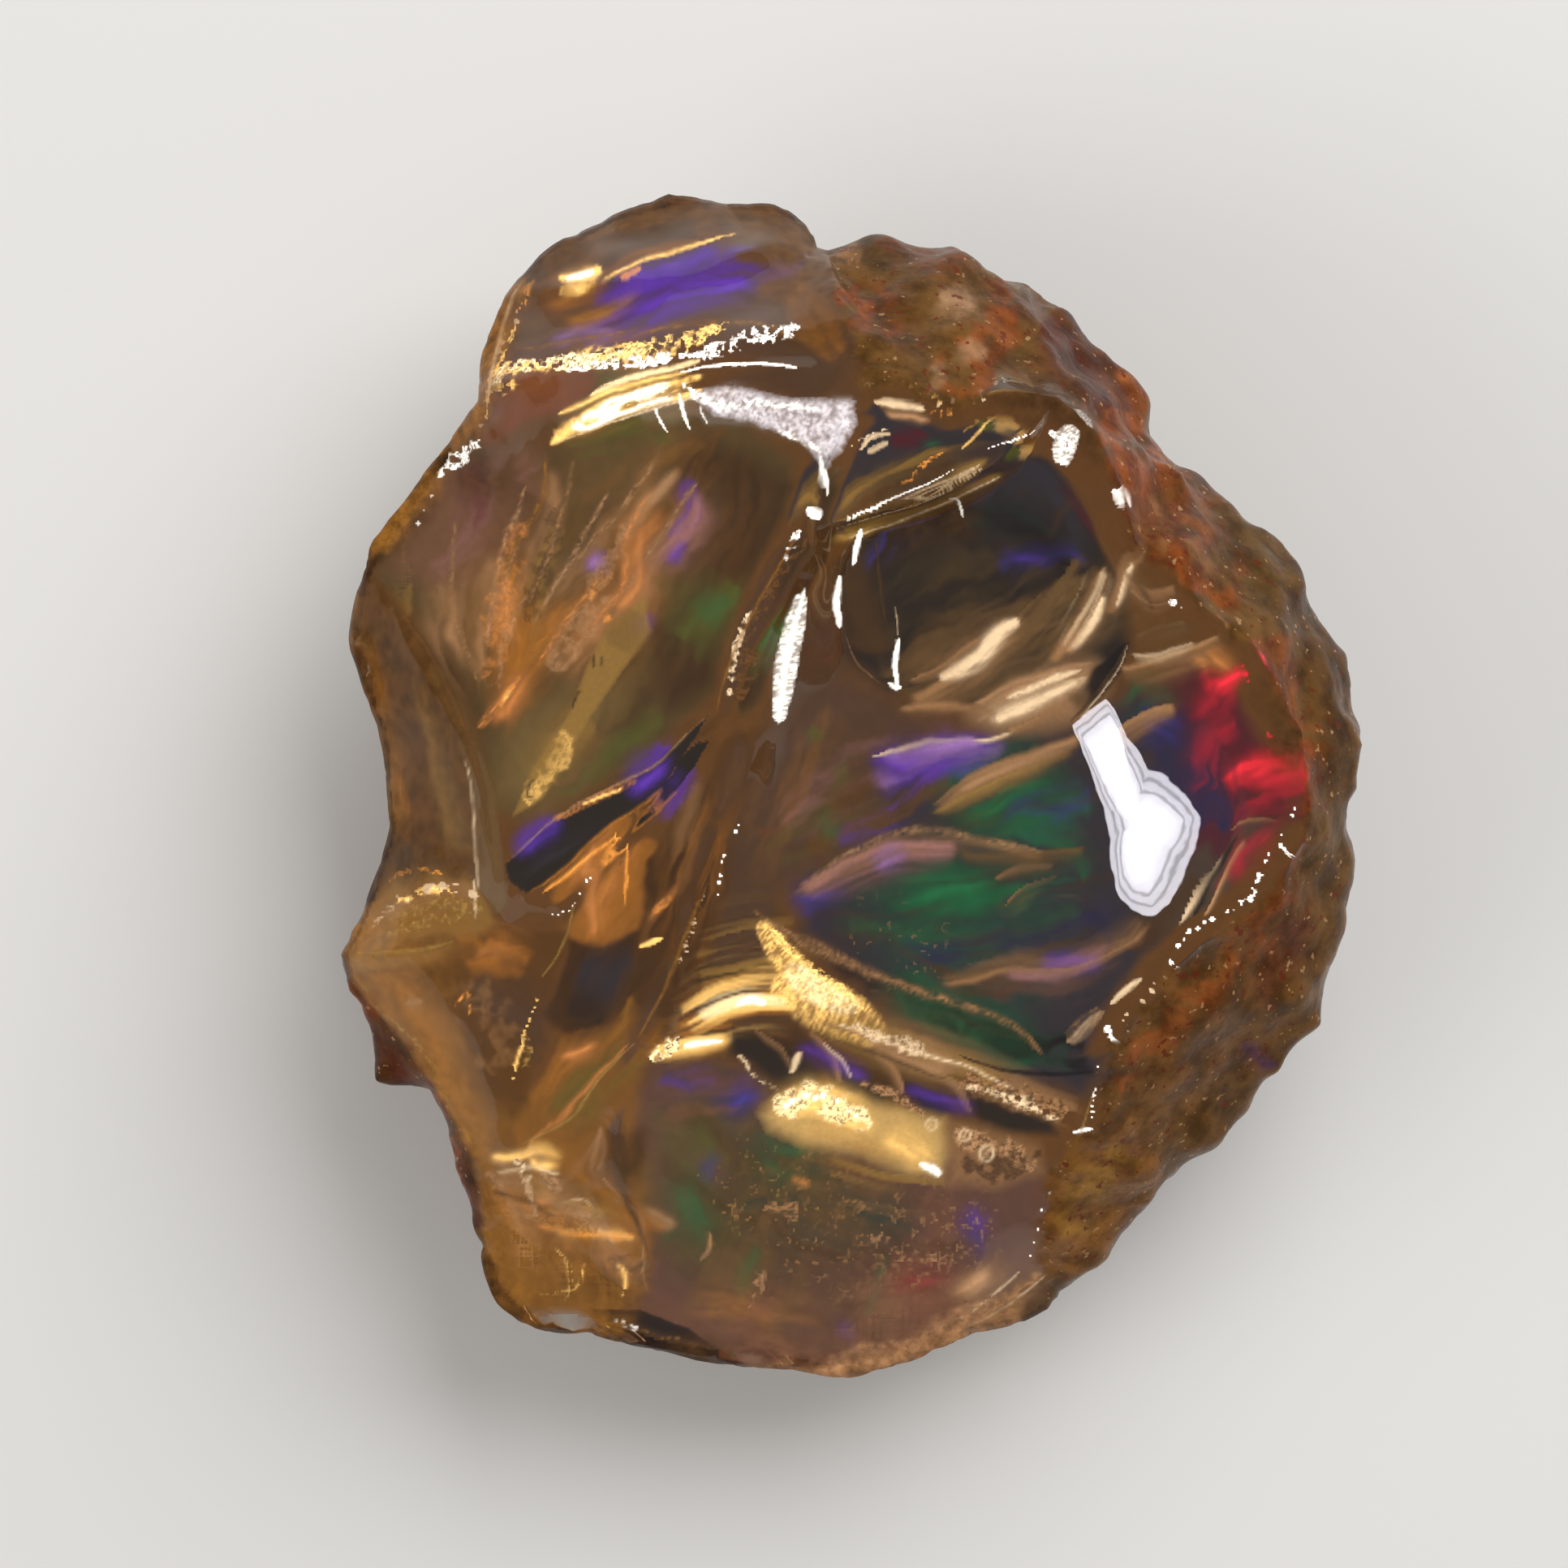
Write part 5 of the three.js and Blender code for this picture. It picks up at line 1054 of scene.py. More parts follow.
    ("olive", 1, 0.55, "haze", (-0.4, 7.9), (1.1, 8.4), (2.4, 8.9)),
    ("straw", 0.96, 0.5, "veils", (-0.6, 7.5), (1.1, 8.2), (3.1, 9.1)),
    # light and dark streaks over it all
    ("umber", 0.5, 2.2, "shade", (-9, 9.1), (-7.7, 6), (-9.9, 1.6)),
    ("umber", 0.5, 2.6, "shade", (-2.6, 9.1), (-5.5, 5.1), (-7.7, 0.7)),
    ("umber", 0.5, 1.6, "shade", (-9.4, 12.6), (-5.9, 13.5), (-1.5, 14.1)),
    ("umber", 0.5, 3, "shade", (0.7, 3.4), (4, 5.6), (7.3, 7.8)),
    ("umber", 0.5, 3.4, "shade", (-2, -1.9), (3.3, -1.3), (8.8, 0.3)),
    ("umber", 0.6, 3, "shade", (-4.6, -9), (-1.5, -11.2), (2.9, -12.9)),
    ("umber", 0.5, 1.6, "shade", (-13.2, -4.3), (-10.8, -7), (-9, -10.7)),
    ("umber", 0.5, 1.8, "shade", (-3.7, 0.7), (-5, -3.2), (-7.7, -7.9)),
    ("umber", 0.5, 1.6, "shade", (-9.4, -10.7), (-7.2, -11.8), (-5.5, -13.8)),
    # painted shade in dark pockets, and painted warm light between them
    ("black", 0.8, 0.5, "haze", (3.1, 7.5), (4.6, 7.3), (6.2, 6)),
    ("teal", 0.8, 0.5, "veils", (3.3, 7.1), (4.6, 7.3), (5.7, 7.1)),
    ("straw", 0.6, 0.6, "haze", (-7.2, 2), (-7.7, 1.4), (-8.1, 0.5)),
]
depths = {
    "depth": 2.6,
    "thin": (0.3, 0.9),  # the thickness of the stone over which the sheet fades in
    "gap": 0.09,
    "tone": "brown",
    "cover": 1.0,
    "bends": ((1.5, 0.6), (0.5, 0.25), (0.2, 0.08)),
    "strokes": deepStrokes,
}
# painted gleams: light mirrored and bent by inner fractures, painted as glowing strokes, among some of the
# opal's own colours
gleamStrokes = [
    # top scoop, with painted gold and white gleams
    ("amber", 0.6, 0.5, "flare", (-8.6, 13.1), (-7.7, 13.6), (-6.4, 13.9)),
    ("gold", 1, 0.24, "gleam", (-7.9, 13.7), (-7.3, 13.8), (-6.7, 14.1)),
    ("white", 1, 0.12, "gleam", (-7.7, 13.7), (-7.3, 13.85), (-6.9, 14)),
    ("gold", 0.8, 0.07, "line", (-6.7, 13.8), (-5.7, 14.25), (-4.7, 14.55), (-3.25, 15)),
    ("amber", 0.6, 0.14, "veils", (-6.7, 13.95), (-5.7, 14.4), (-4.15, 14.8)),
    ("fire", 0.6, 0.12, "gleam", (-6.25, 13.85), (-5.7, 14.05)),
    ("fire", 0.7, 0.14, "crust", (-9, 12.8), (-8.8, 13.2), (-8.65, 13.7)),
    # dark crack in the middle
    ("soot", 1, 0.04, "patch", (-3.7, 2), (-4.5, 1.25), (-5.2, 0.65), (-5.9, 0.25), (-6.9, -0.1),
     (-7.9, -0.7), (-8.75, -1.35), (-9.4, -2.05), (-9.2, -2.6), (-8.75, -2.9), (-8.4, -2.75), (-7.55, -2.05),
     (-6.7, -1.2), (-5.7, -0.6), (-5, -0.05), (-4.35, 0.7), (-4, 1.35)),
    ("night", 0.8, 0.25, "veils", (-9, -2.4), (-7.2, -1.3), (-5.5, 0)),
    ("violet", 1, 0.4, "flare", (-6.1, -0.3), (-5.4, 0.4), (-4.7, 0.9)),
    ("violet", 0.9, 0.35, "flare", (-9.3, -1.8), (-8.6, -1.3), (-7.7, -0.8)),
    ("orange", 0.8, 0.13, "comb", (-8.1, -0.85), (-6.9, -0.3), (-5.7, 0.2)),
    ("gold", 0.9, 0.05, "gleam", (-7.35, -0.5), (-6.7, -0.25), (-6.15, -0.05)),
    ("peach", 0.6, 0.05, "line", (-9.25, -1.9), (-7.9, -0.75), (-6.15, 0.15), (-5.05, 0.7), (-3.8, 1.95)),
    ("amber", 0.7, 0.06, "line", (-8.65, -2.9), (-7.65, -2.2), (-6.7, -1.3), (-5.65, -0.65), (-4.8, 0.05)),
    # crust and band, with painted gold gleams and white highlights
    ("gold", 0.8, 0.3, "crust", (-9.7, 10.6), (-9.2, 11.3), (-8.1, 11.4)),
    ("gold", 0.7, 0.34, "crust", (-7.9, 11.5), (-6.7, 11.7), (-5.4, 11.8), (-4.5, 12.2)),
    ("amber", 0.7, 0.5, "veils", (-9, 11.1), (-6.8, 11.6), (-4.2, 12.2)),
    ("straw", 0.6, 0.6, "veils", (-7.9, 9.7), (-5.9, 10.4), (-3.9, 11.2)),
    ("paleGold", 0.9, 0.14, "gleam", (-7.1, 10.6), (-6.05, 11.05), (-5.15, 11.3), (-4, 11.6)),
    ("gold", 0.9, 0.1, "line", (-7.9, 10.15), (-6.35, 10.75), (-4.35, 11.25)),
    ("gold", 1, 0.17, "gleam", (-8.2, 9.5), (-7.1, 10.1), (-6.2, 10.5), (-5.1, 10.8), (-4, 11.1)),
    ("white", 0.9, 0.09, "gleam", (-7.55, 9.85), (-6.2, 10.5), (-4.8, 10.9)),
    ("moss", 0.4, 0.5, "veils", (-6.8, 9.7), (-5.5, 10.2), (-4.4, 10.4)),
    # left face
    ("straw", 0.85, 0.1, "patch", (-5.6, 5.25), (-5.45, 4.3), (-6.25, 3.15), (-7.2, 1.8), (-7.9, 0.5),
     (-8.4, -0.25), (-9.25, -0.75), (-8.65, 0.6), (-7.65, 2.05), (-7.2, 3.3), (-6.6, 4.45)),
    ("khaki", 0.5, 0.6, "haze", (-5.8, 4.9), (-6.4, 3.8)),
    ("gold", 0.35, 0.4, "crust", (-7.7, 1.6), (-8.1, 0.5), (-8.9, -0.3)),
    ("straw", 0.6, 0.5, "haze", (-7.9, 1.5), (-8.6, 0.2)),
    ("black", 0.9, 0.05, "haze", (-6.95, 3.65), (-7.05, 3.25)),
    ("black", 0.9, 0.04, "haze", (-6.7, 3.55), (-6.75, 3.3)),
    ("black", 0.9, 0.05, "haze", (-7.4, 2.7), (-7.6, 2.2)),
    ("black", 0.9, 0.06, "haze", (-8.65, 0.25), (-8.75, -0.1), (-8.55, -0.25)),
    ("fire", 1, 0.13, "gleam", (-9.6, 2.2), (-9.4, 2.55), (-9.15, 2.85)),
    ("gold", 0.9, 0.07, "gleam", (-9.5, 2.35), (-9.25, 2.7)),
    ("honey", 0.8, 0.12, "flame", (-9.65, 5.45), (-9, 6.85), (-8.4, 8), (-8.3, 9.35)),
    ("tan", 0.8, 0.12, "flame", (-7.9, 5.55), (-7.1, 6.65), (-5.8, 8.2), (-5.2, 9.2)),
    ("tan", 0.9, 0.14, "flame", (-6.15, 5.35), (-5.35, 6.6), (-4.7, 7.6), (-4.15, 8.4)),
    ("tan", 0.7, 0.1, "flame", (-9.5, 5.25), (-9.3, 6), (-9, 6.65)),
    ("amber", 0.8, 0.12, "flame", (-9.75, 3.8), (-9.35, 5.25), (-9.1, 6.2)),
    ("amber", 0.8, 0.14, "flame", (-8.75, 3.7), (-7.65, 4.85), (-6.45, 5.9)),
    ("orange", 0.9, 0.14, "flame", (-10.3, 1.6), (-9.55, 2.35), (-9, 3.15)),
    ("straw", 0.8, 0.3, "strata", (-7.9, 7.3), (-8.6, 5.6), (-9, 3.8)),
    ("tan", 0.6, 0.6, "strata", (-11.2, 5.6), (-10.8, 3.8), (-10.1, 2.5)),
    ("orange", 0.7, 0.2, "flare", (-5.7, 7.3), (-5.8, 6.4), (-5.8, 5.6), (-6.4, 4.8)),
    ("orange", 0.6, 0.16, "flare", (-9.3, 5.9), (-9.4, 4.9), (-9.2, 4)),
    ("peach", 0.5, 0.22, "flare", (-4.6, 8.8), (-5.5, 7.8), (-6.4, 6.7)),
    ("fire", 0.5, 0.12, "gleam", (-7.1, 5.15), (-6.95, 5.4)),
    ("fire", 0.5, 0.12, "gleam", (-6.7, 4.55), (-6.5, 4.7)),
    ("tan", 0.7, 0.3, "veils", (-7.9, 3.4), (-7.7, 4.2), (-7.2, 5.1)),
    ("straw", 0.8, 0.3, "veils", (-12.1, 6.7), (-11.9, 5.6), (-12.2, 4.6)),
    # side flake, lobe and cheek
    ("sepia", 0.9, 0.06, "patch", (-10.6, 1.6), (-10.15, 0.95), (-9.75, -0.25), (-9.25, -3), (-9.6, -3.4),
     (-10.05, -2.8), (-10.15, -1.05), (-10.35, 0.5)),
    ("fire", 0.7, 0.14, "flare", (-12.6, 2.05), (-12.3, 0.7), (-12.15, -0.4)),
    ("cream", 0.8, 0.05, "line", (-10.4, 0.95), (-10.2, -0.15), (-10.15, -1.5), (-10.1, -2.8)),
    ("gold", 0.9, 0.16, "gleam", (-11.8, -2.9), (-11.4, -2.8), (-11.1, -2.9)),
    ("fire", 0.6, 0.12, "crust", (-12.5, -2.6), (-11.85, -2.25), (-11.1, -2.35)),
    ("straw", 0.7, 0.25, "crust", (-12.5, -3.7), (-11.6, -3.3), (-10.5, -3.1)),
    ("peach", 0.5, 0.4, "veils", (-13.2, -4.2), (-11.9, -3.9), (-10.5, -3.7)),
    ("cream", 0.7, 0.06, "line", (-10.25, -2.45), (-10.2, -2.9), (-10.25, -3.55)),
    ("peach", 0.8, 0.2, "haze", (-12, -5.8), (-11.6, -5.7)),
    ("fire", 0.8, 0.08, "crust", (-10.85, -5.9), (-10.5, -5.55), (-10.3, -6.1)),
    ("orange", 0.6, 0.25, "flare", (-10.4, -4.6), (-9.7, -4.4), (-8.7, -4.6)),
    # diamond scoop
    ("fire", 0.9, 0.06, "line", (-6.25, -1.25), (-6.2, -2.15), (-6.2, -3.15)),
    ("orange", 0.7, 0.18, "flare", (-6.8, -1.5), (-7.2, -2.8), (-7, -4.1)),
    ("fire", 0.4, 0.2, "veils", (-6.4, -1.7), (-6.7, -2.6), (-6.8, -3.7)),
    ("fire", 0.8, 0.09, "line", (-8.35, -2.95), (-7.45, -2.3), (-6.25, -1.4)),
    ("gold", 0.9, 0.12, "gleam", (-5.7, -4.35), (-5.3, -4.2), (-4.95, -4.05)),
    ("fire", 0.7, 0.12, "comb", (-5.35, -3.4), (-5, -3.15), (-4.7, -2.95)),
    ("orange", 0.6, 0.16, "flare", (-5.5, -3.6), (-4.8, -3), (-4.5, -2.6)),
    ("orange", 0.8, 0.26, "flare", (-8.1, -7.4), (-7.2, -7.2), (-6.7, -6.9)),
    ("tan", 0.5, 0.5, "veils", (-4.2, 0.3), (-4.6, -1.9), (-5.5, -5)),
    ("gold", 1, 0.05, "gleam", (-8.5, -5.35), (-8.75, -6.1), (-9.05, -7.05), (-9.35, -8.3)),
    ("straw", 0.9, 0.18, "crust", (-8.8, -6.6), (-8.9, -7.6)),
    ("orange", 0.6, 0.1, "line", (-8.75, -9.6), (-7.65, -8.75), (-5.9, -7)),
    # crumpled corner
    ("gold", 0.6, 0.17, "flare", (-9.8, -10), (-9, -9.9), (-8.4, -9.8), (-7.8, -10)),
    ("tan", 0.8, 0.14, "flare", (-9.65, -10.05), (-8.75, -10.55), (-8.05, -10.65), (-7.2, -10),
     (-6.85, -9.4)),
    ("peach", 0.7, 0.2, "crust", (-8.5, -10), (-8.2, -10.5), (-8, -10.9)),
    ("gold", 0.7, 0.15, "flare", (-8.1, -12.1), (-7, -12), (-5.95, -12.2)),
    ("tan", 0.9, 0.07, "line", (-6.7, -10.5), (-6.15, -11.15), (-5.8, -11.65), (-5.75, -12.8),
     (-5.45, -13.6)),
    ("peach", 0.8, 0.24, "flare", (-5.8, -11.4), (-5.3, -11.6), (-4.7, -11.9)),
    ("gold", 0.8, 0.05, "line", (-8.6, -13.7), (-7.9, -13.65), (-7.45, -13.45), (-7.25, -12.9)),
    ("tan", 0.8, 0.34, "crust", (-9.7, -10.3), (-9.4, -11.2), (-8.8, -11.8)),
    ("amber", 0.7, 0.6, "crust", (-9, -11.2), (-7.7, -11.6), (-6.4, -11.8)),
    ("bark", 0.8, 0.3, "crust", (-6.4, -12.7), (-5.8, -13)),
    ("amber", 0.4, 1, "veils", (-9.4, -10.1), (-7.9, -10.9), (-5.7, -12)),
    ("orange", 0.3, 0.8, "veils", (-9, -11.6), (-7.2, -11.4), (-5.9, -12.9)),
    ("gold", 0.6, 0.2, "flare", (-8.8, -9.9), (-8.4, -10.2), (-7.9, -10.1)),
    ("tan", 0.8, 0.13, "flare", (-9.35, -10.55), (-9, -10.75), (-8.65, -10.6), (-8.4, -10.95)),
    ("peach", 0.7, 0.14, "flare", (-7.65, -10.95), (-7.35, -11.35), (-7.2, -11.7)),
    ("cream", 0.6, 0.04, "line", (-7.9, -11.15), (-7.4, -11.05), (-6.9, -11.35)),
    ("fire", 0.6, 0.12, "flare", (-8.55, -11.85), (-7.45, -12.1), (-5.9, -12.1)),
    ("gold", 0.8, 0.05, "line", (-8, -12.5), (-7.65, -12.95), (-7.65, -13.6), (-7.9, -14.05)),
    ("tan", 0.8, 0.13, "flare", (-6.9, -10.4), (-6.6, -9.85), (-6.75, -9.2)),
    ("tan", 0.8, 0.16, "flare", (-7.1, -10.5), (-6.8, -9.6), (-6.8, -9)),
    ("tan", 0.8, 0.12, "flare", (-6.45, -11.05), (-5.8, -11.6), (-5, -11.85)),
    ("orange", 0.7, 0.22, "flare", (-9.4, -10.7), (-8.8, -11.2), (-7.9, -10.9)),
    ("amber", 0.7, 0.3, "flare", (-6.8, -10.9), (-6.1, -11.6), (-4.9, -11.9)),
    ("umber", 0.8, 0.12, "line", (-6.25, -9.3), (-6.2, -10.3), (-6, -11.4), (-5.7, -12.5)),
    ("cream", 0.7, 0.12, "crust", (-9.2, -9.95), (-8.75, -10.6), (-8.45, -11.6)),
    ("gold", 0.6, 0.08, "flare", (-6.25, -12.75), (-6.15, -13.25), (-6.2, -13.8)),
    # painted gold gleams on the fractures over the bottom face, with painted white highlights
    ("bark", 0.9, 1.1, "strata", (-4.4, -5), (-2.9, -4.7), (-1.4, -4.4)),
    ("straw", 0.8, 1.1, "strata", (-4.3, -4.9), (-2.8, -4.6), (-1.3, -4.4)),
    ("bark", 0.8, 0.7, "strata", (-5.1, -6.2), (-3.9, -5.9), (-2.6, -6)),
    ("amber", 0.7, 0.9, "strata", (-4.8, -6.5), (-3.3, -6), (-1.5, -5.9)),
    ("gold", 0.95, 0.7, "strata", (-4.6, -6.3), (-3.3, -5.7), (-1.4, -5.6)),
    ("paleGold", 0.9, 0.3, "strata", (-4.2, -6.1), (-2.9, -5.7), (-1.7, -5.8)),
    ("white", 0.9, 0.13, "gleam", (-3.15, -5.85), (-2.7, -5.7), (-2.3, -5.85)),
    ("gold", 0.95, 0.36, "comb", (-2.5, -3.6), (-1.8, -4.6), (-1.1, -5.3), (-0.2, -5.8)),
    ("gold", 0.95, 0.62, "comb", (-2.1, -5.1), (-1.1, -5.7), (0, -6.2), (0.9, -6.8)),
    ("paleGold", 0.9, 0.36, "comb", (-1.8, -4.8), (-1, -5.4), (0.2, -6)),
    ("tan", 0.8, 0.12, "flame", (-2.7, -3.25), (-1.5, -4.1), (0.05, -4.9), (2, -5.55)),
    ("amber", 0.8, 0.5, "strata", (-5.6, -7), (-4.4, -6.7), (-3.2, -6.5)),
    ("gold", 1, 0.26, "strata", (-5.5, -7.1), (-4.4, -6.9), (-3.2, -6.7)),
    ("paleGold", 0.9, 0.3, "crust", (-5.5, -7.3), (-5.1, -7), (-4.7, -6.8)),
    ("white", 0.9, 0.1, "gleam", (-4.6, -6.95), (-4.05, -6.85), (-3.55, -6.8)),
    ("bark", 0.9, 0.7, "flare", (-3.7, -6.6), (-1.5, -7), (0.7, -8), (2.9, -8.6), (5.3, -9.1)),
    ("tan", 0.9, 0.7, "strata", (-0.9, -6.4), (1.1, -7), (3.1, -7.6), (4.9, -8.3), (6.3, -8.8)),
    ("straw", 0.8, 0.6, "flare", (-1.1, -6.3), (0.7, -6.8), (2.7, -7.5), (4.6, -8.2)),
    ("peach", 0.9, 0.5, "flare", (0.2, -6.6), (1.6, -7.1), (3.1, -7.5)),
    ("cream", 0.6, 0.22, "crust", (0, -6.4), (1.3, -6.9), (2.4, -7.2)),
    ("tan", 0.9, 0.5, "crust", (2.9, -7.9), (4.2, -8.3), (6, -8.8)),
    ("cream", 0.6, 0.22, "crust", (3.9, -8.2), (5.3, -8.7)),
    ("soot", 0.95, 0.22, "zone", (-3.4, -6.6), (-2.4, -6.7), (-1.8, -7), (-0.8, -7.6), (-1.1, -8.2),
     (-2.1, -7.9), (-2.7, -7.4), (-3.3, -7.2)),
    ("soot", 0.95, 0.18, "zone", (-0.6, -7.5), (0.2, -7.7), (1, -8.3), (0.7, -8.6), (-0.2, -8.3)),
    ("soot", 0.95, 0.16, "zone", (1.3, -7.9), (2.4, -8.2), (2.8, -8.8), (2, -8.7)),
    ("soot", 0.95, 0.18, "zone", (3.1, -8.2), (4.2, -8.6), (5.5, -9), (5.7, -9.4), (4.4, -9.3), (3.5, -9)),
    ("tan", 0.9, 0.2, "fan", (-1.1, -6.5), (-0.4, -7.2), (-0.2, -8)),
    ("tan", 0.9, 0.24, "fan", (0.6, -7), (1.2, -7.5), (1.5, -8.3)),
    ("peach", 0.8, 0.2, "fan", (2.2, -7.5), (3, -8), (3.3, -8.8)),
    ("cream", 0.6, 0.1, "fan", (-0.75, -6.85), (-0.15, -7.35), (0.05, -7.85)),
    ("violet", 0.5, 0.3, "flare", (-1.6, -6.9), (-0.6, -7.3), (0.6, -7.9)),
    ("violet", 0.4, 0.3, "flare", (1.3, -8.1), (2.4, -8.4), (3.5, -8.7)),
    ("cream", 0.9, 0.12, "gleam", (-1.6, -7.7), (-1.5, -7.35), (-1.4, -7.1)),
    ("brass", 0.9, 0.3, "zone", (-2.4, -8.8), (-1.8, -8.3), (-1.2, -8), (0, -8.4), (1.4, -8.7), (2.5, -9),
     (2.6, -9.8), (2.4, -10.5), (1.6, -10.4), (0.3, -9.9), (-1.2, -9.6), (-2.2, -9.2)),
    ("amber", 0.4, 0.7, "veils", (-1.3, -9.4), (0.2, -9.7), (1.6, -10.1)),
    ("gold", 0.75, 0.6, "flare", (-2.2, -8.9), (-0.9, -8.6), (0.9, -9.2)),
    ("paleGold", 0.6, 0.5, "crust", (-2.1, -8.7), (-0.9, -8.4), (0.5, -9.1)),
    ("gold", 0.8, 0.4, "flare", (0.7, -9.3), (1.6, -9.7), (2.4, -10.2)),
    ("white", 0.8, 0.08, "beads", (-1.85, -8.7), (-0.95, -8.35), (0.25, -8.85)),
    ("white", 0.9, 0.14, "gleam", (1.85, -10.15), (2.2, -10.3), (2.45, -10.5)),
    ("straw", 0.7, 0.6, "strata", (-0.6, -10.2), (0.9, -10.6), (2.6, -10.8)),
    ("tan", 0.7, 0.3, "zone", (2.6, -9), (3.7, -9.2), (5.1, -9.7), (5.3, -10.4), (4, -10.8), (2.7, -10.7)),
    ("peach", 0.7, 0.4, "crust", (2.7, -9.4), (3.7, -9.6), (5.1, -10.3)),
    ("umber", 0.8, 0.4, "crust", (2.9, -10.1), (4.2, -10.3), (5.3, -9.9)),
    ("cream", 0.7, 0.18, "ring", (3.1, -9.4), (3.7, -9.9), (2.2, -9.1)),
    ("tan", 0.8, 0.3, "crust", (-2.4, -11.6), (-1.8, -11.4), (-1.6, -11.8)),
    ("orange", 0.8, 0.14, "flare", (-1.7, -10.55), (-1.4, -10.65), (-1.05, -10.85)),
    ("peach", 0.5, 0.2, "crust", (-2.4, -12.9), (-2.6, -13.6), (-2.8, -14.2)),
    ("peach", 0.7, 0.08, "line", (-4.1, -12.8), (-3.85, -12.5), (-3.8, -12)),
    ("tan", 0.9, 1.1, "dust", (-3.7, -10.1), (-1.5, -10.7), (0.3, -11.2)),
    ("tan", 0.8, 1.5, "dust", (-0.6, -11.6), (2, -12), (4.4, -12)),
    ("tan", 0.7, 1.2, "dust", (-3.7, -12), (-1.5, -12.7), (0.7, -12.9)),
    ("tan", 0.5, 1, "veils", (-3.3, -14.7), (-1.1, -15.1), (2.2, -14.2), (4.2, -12.9)),
    # great hollow
    ("cream", 0.9, 0.16, "fan", (0.5, 0.9), (1.7, 1.3), (2.5, 1.4), (3.5, 1.4), (4.5, 1.6)),
    ("lilac", 0.9, 0.24, "flare", (0.8, 0.8), (2.2, 1.1), (3.7, 1.3)),
    ("tan", 0.9, 0.55, "fan", (2.2, -0.4), (3.4, 0.5), (4.7, 1), (6.2, 1.6)),
    ("peach", 0.8, 0.35, "fan", (2.9, 0), (4.2, 0.7), (5.5, 1.3), (6.2, 1.5)),
    ("straw", 0.7, 0.3, "fan", (2.2, -0.6), (3.8, 0.2), (6, 1.1)),
    ("rose", 0.95, 0.75, "fan", (-1.4, -2.6), (0.1, -1.8), (1.3, -1.4), (2.9, -1.4)),
    ("tan", 0.8, 0.45, "fan", (-1.6, -2.8), (-0.2, -2), (1.3, -1.3), (3.1, -1.2), (5.3, -1.7)),
    ("peach", 0.5, 0.12, "flame", (-1.4, -2.6), (0.05, -1.7), (1.45, -1.15), (2.5, -1.15), (3.55, -1.35),
     (5.3, -1.7)),
    ("lilac", 0.8, 0.3, "flare", (0.5, -2.2), (1, -1.9), (1.6, -1.6)),
    ("sepia", 0.9, 0.4, "fan", (2.9, -1.7), (4.4, -1.7), (6.4, -1.5)),
    ("tan", 0.8, 0.14, "fan", (4.1, -3.2), (4.65, -2.6), (5.65, -2.3)),
    ("tan", 0.8, 0.22, "fan", (3.9, -2.4), (4.7, -2), (5.5, -2)),
    ("tan", 0.7, 0.45, "veils", (2.4, -5.4), (3.4, -5.2), (4.3, -4.9), (5.3, -5), (6.4, -4.7), (8.1, -3.7)),
    ("tan", 0.8, 0.22, "fan", (2.4, -5.3), (3.4, -5.1), (4.3, -4.8), (5.5, -4.9), (6.8, -4.6), (8.2, -3.7)),
    ("rose", 0.6, 0.3, "flare", (4, -5), (5.5, -5.1), (7.1, -4.2)),
    ("tan", 0.8, 0.14, "flame", (5.3, -7.3), (4.3, -6.45), (2.5, -5.8), (0.95, -5.25), (-0.75, -4.35),
     (-2.3, -3.6)),
    ("cream", 0.8, 0.26, "fan", (5.9, -7), (6.5, -6.4), (7, -6.1)),
    ("tan", 0.8, 0.3, "comb", (5.9, -6.9), (6.5, -6.5), (7, -6.1)),
    ("cream", 0.9, 0.16, "gleam", (7.2, -6), (7.7, -5.6), (8.2, -5.3)),
    ("cream", 0.8, 0.2, "fan", (9, -3.8), (9.4, -2.8), (9.9, -1.7)),
    ("peach", 0.8, 0.24, "fan", (9.7, -3.7), (10.1, -2.5), (10.8, -1.4)),
    ("black", 0.9, 0.12, "flare", (9.4, -3.7), (9.8, -2.35), (10.6, -1.25)),
    ("tan", 0.7, 0.14, "fan", (10.15, -1.05), (10.9, -0.75), (11.8, -0.85)),
    # arc of painted gleams over the hollow
    ("sepia", 0.8, 1, "veils", (1.3, 2.3), (4, 3.4), (6.4, 4.7), (8.2, 6)),
    ("peach", 0.8, 0.5, "patch", (3.3, 2), (4.4, 2.7), (5.5, 3.2), (6.6, 3.4), (6.8, 2.8), (6.2, 2.1),
     (5.3, 1.7), (4.1, 1.6)),
    ("cream", 0.5, 0.5, "veils", (3.4, 1.9), (4.7, 2.5), (6.5, 3)),
    ("tan", 0.9, 0.9, "veils", (1.6, 2.4), (4, 3.4), (6.6, 4.2)),
    ("sepia", 0.9, 0.5, "strata", (4.1, 4.2), (5.1, 5.2), (6, 6.2)),
    ("tan", 1, 0.6, "fan", (1.6, 2.4), (2.7, 3.1), (3.7, 4), (4.7, 4.8)),
    ("cream", 1, 0.34, "gleam", (2.4, 3), (3.4, 3.5), (4, 4.2), (4.6, 4.6)),
    ("tan", 0.9, 0.3, "fan", (1.6, 3), (2.6, 3.5), (3.5, 4.2)),
    ("peach", 0.9, 0.4, "fan", (3.3, 2.3), (4.4, 3), (5.5, 3.3), (6.6, 3.5)),
    ("cream", 0.6, 0.4, "fan", (3.7, 1.9), (4.7, 2.6), (5.7, 2.9), (6.6, 2.9)),
    ("cream", 0.9, 0.26, "gleam", (3.9, 1.9), (5.1, 2.4), (6.3, 2.8)),
    ("cream", 0.9, 0.14, "gleam", (4.2, 2.45), (5.3, 2.95), (6.3, 3.2)),
    ("umber", 0.9, 0.2, "flare", (5.9, 2.2), (6.4, 2.5), (6.7, 2.9)),
    ("tan", 0.9, 0.26, "fan", (4.2, 1.6), (5.3, 2), (6.2, 2.4)),
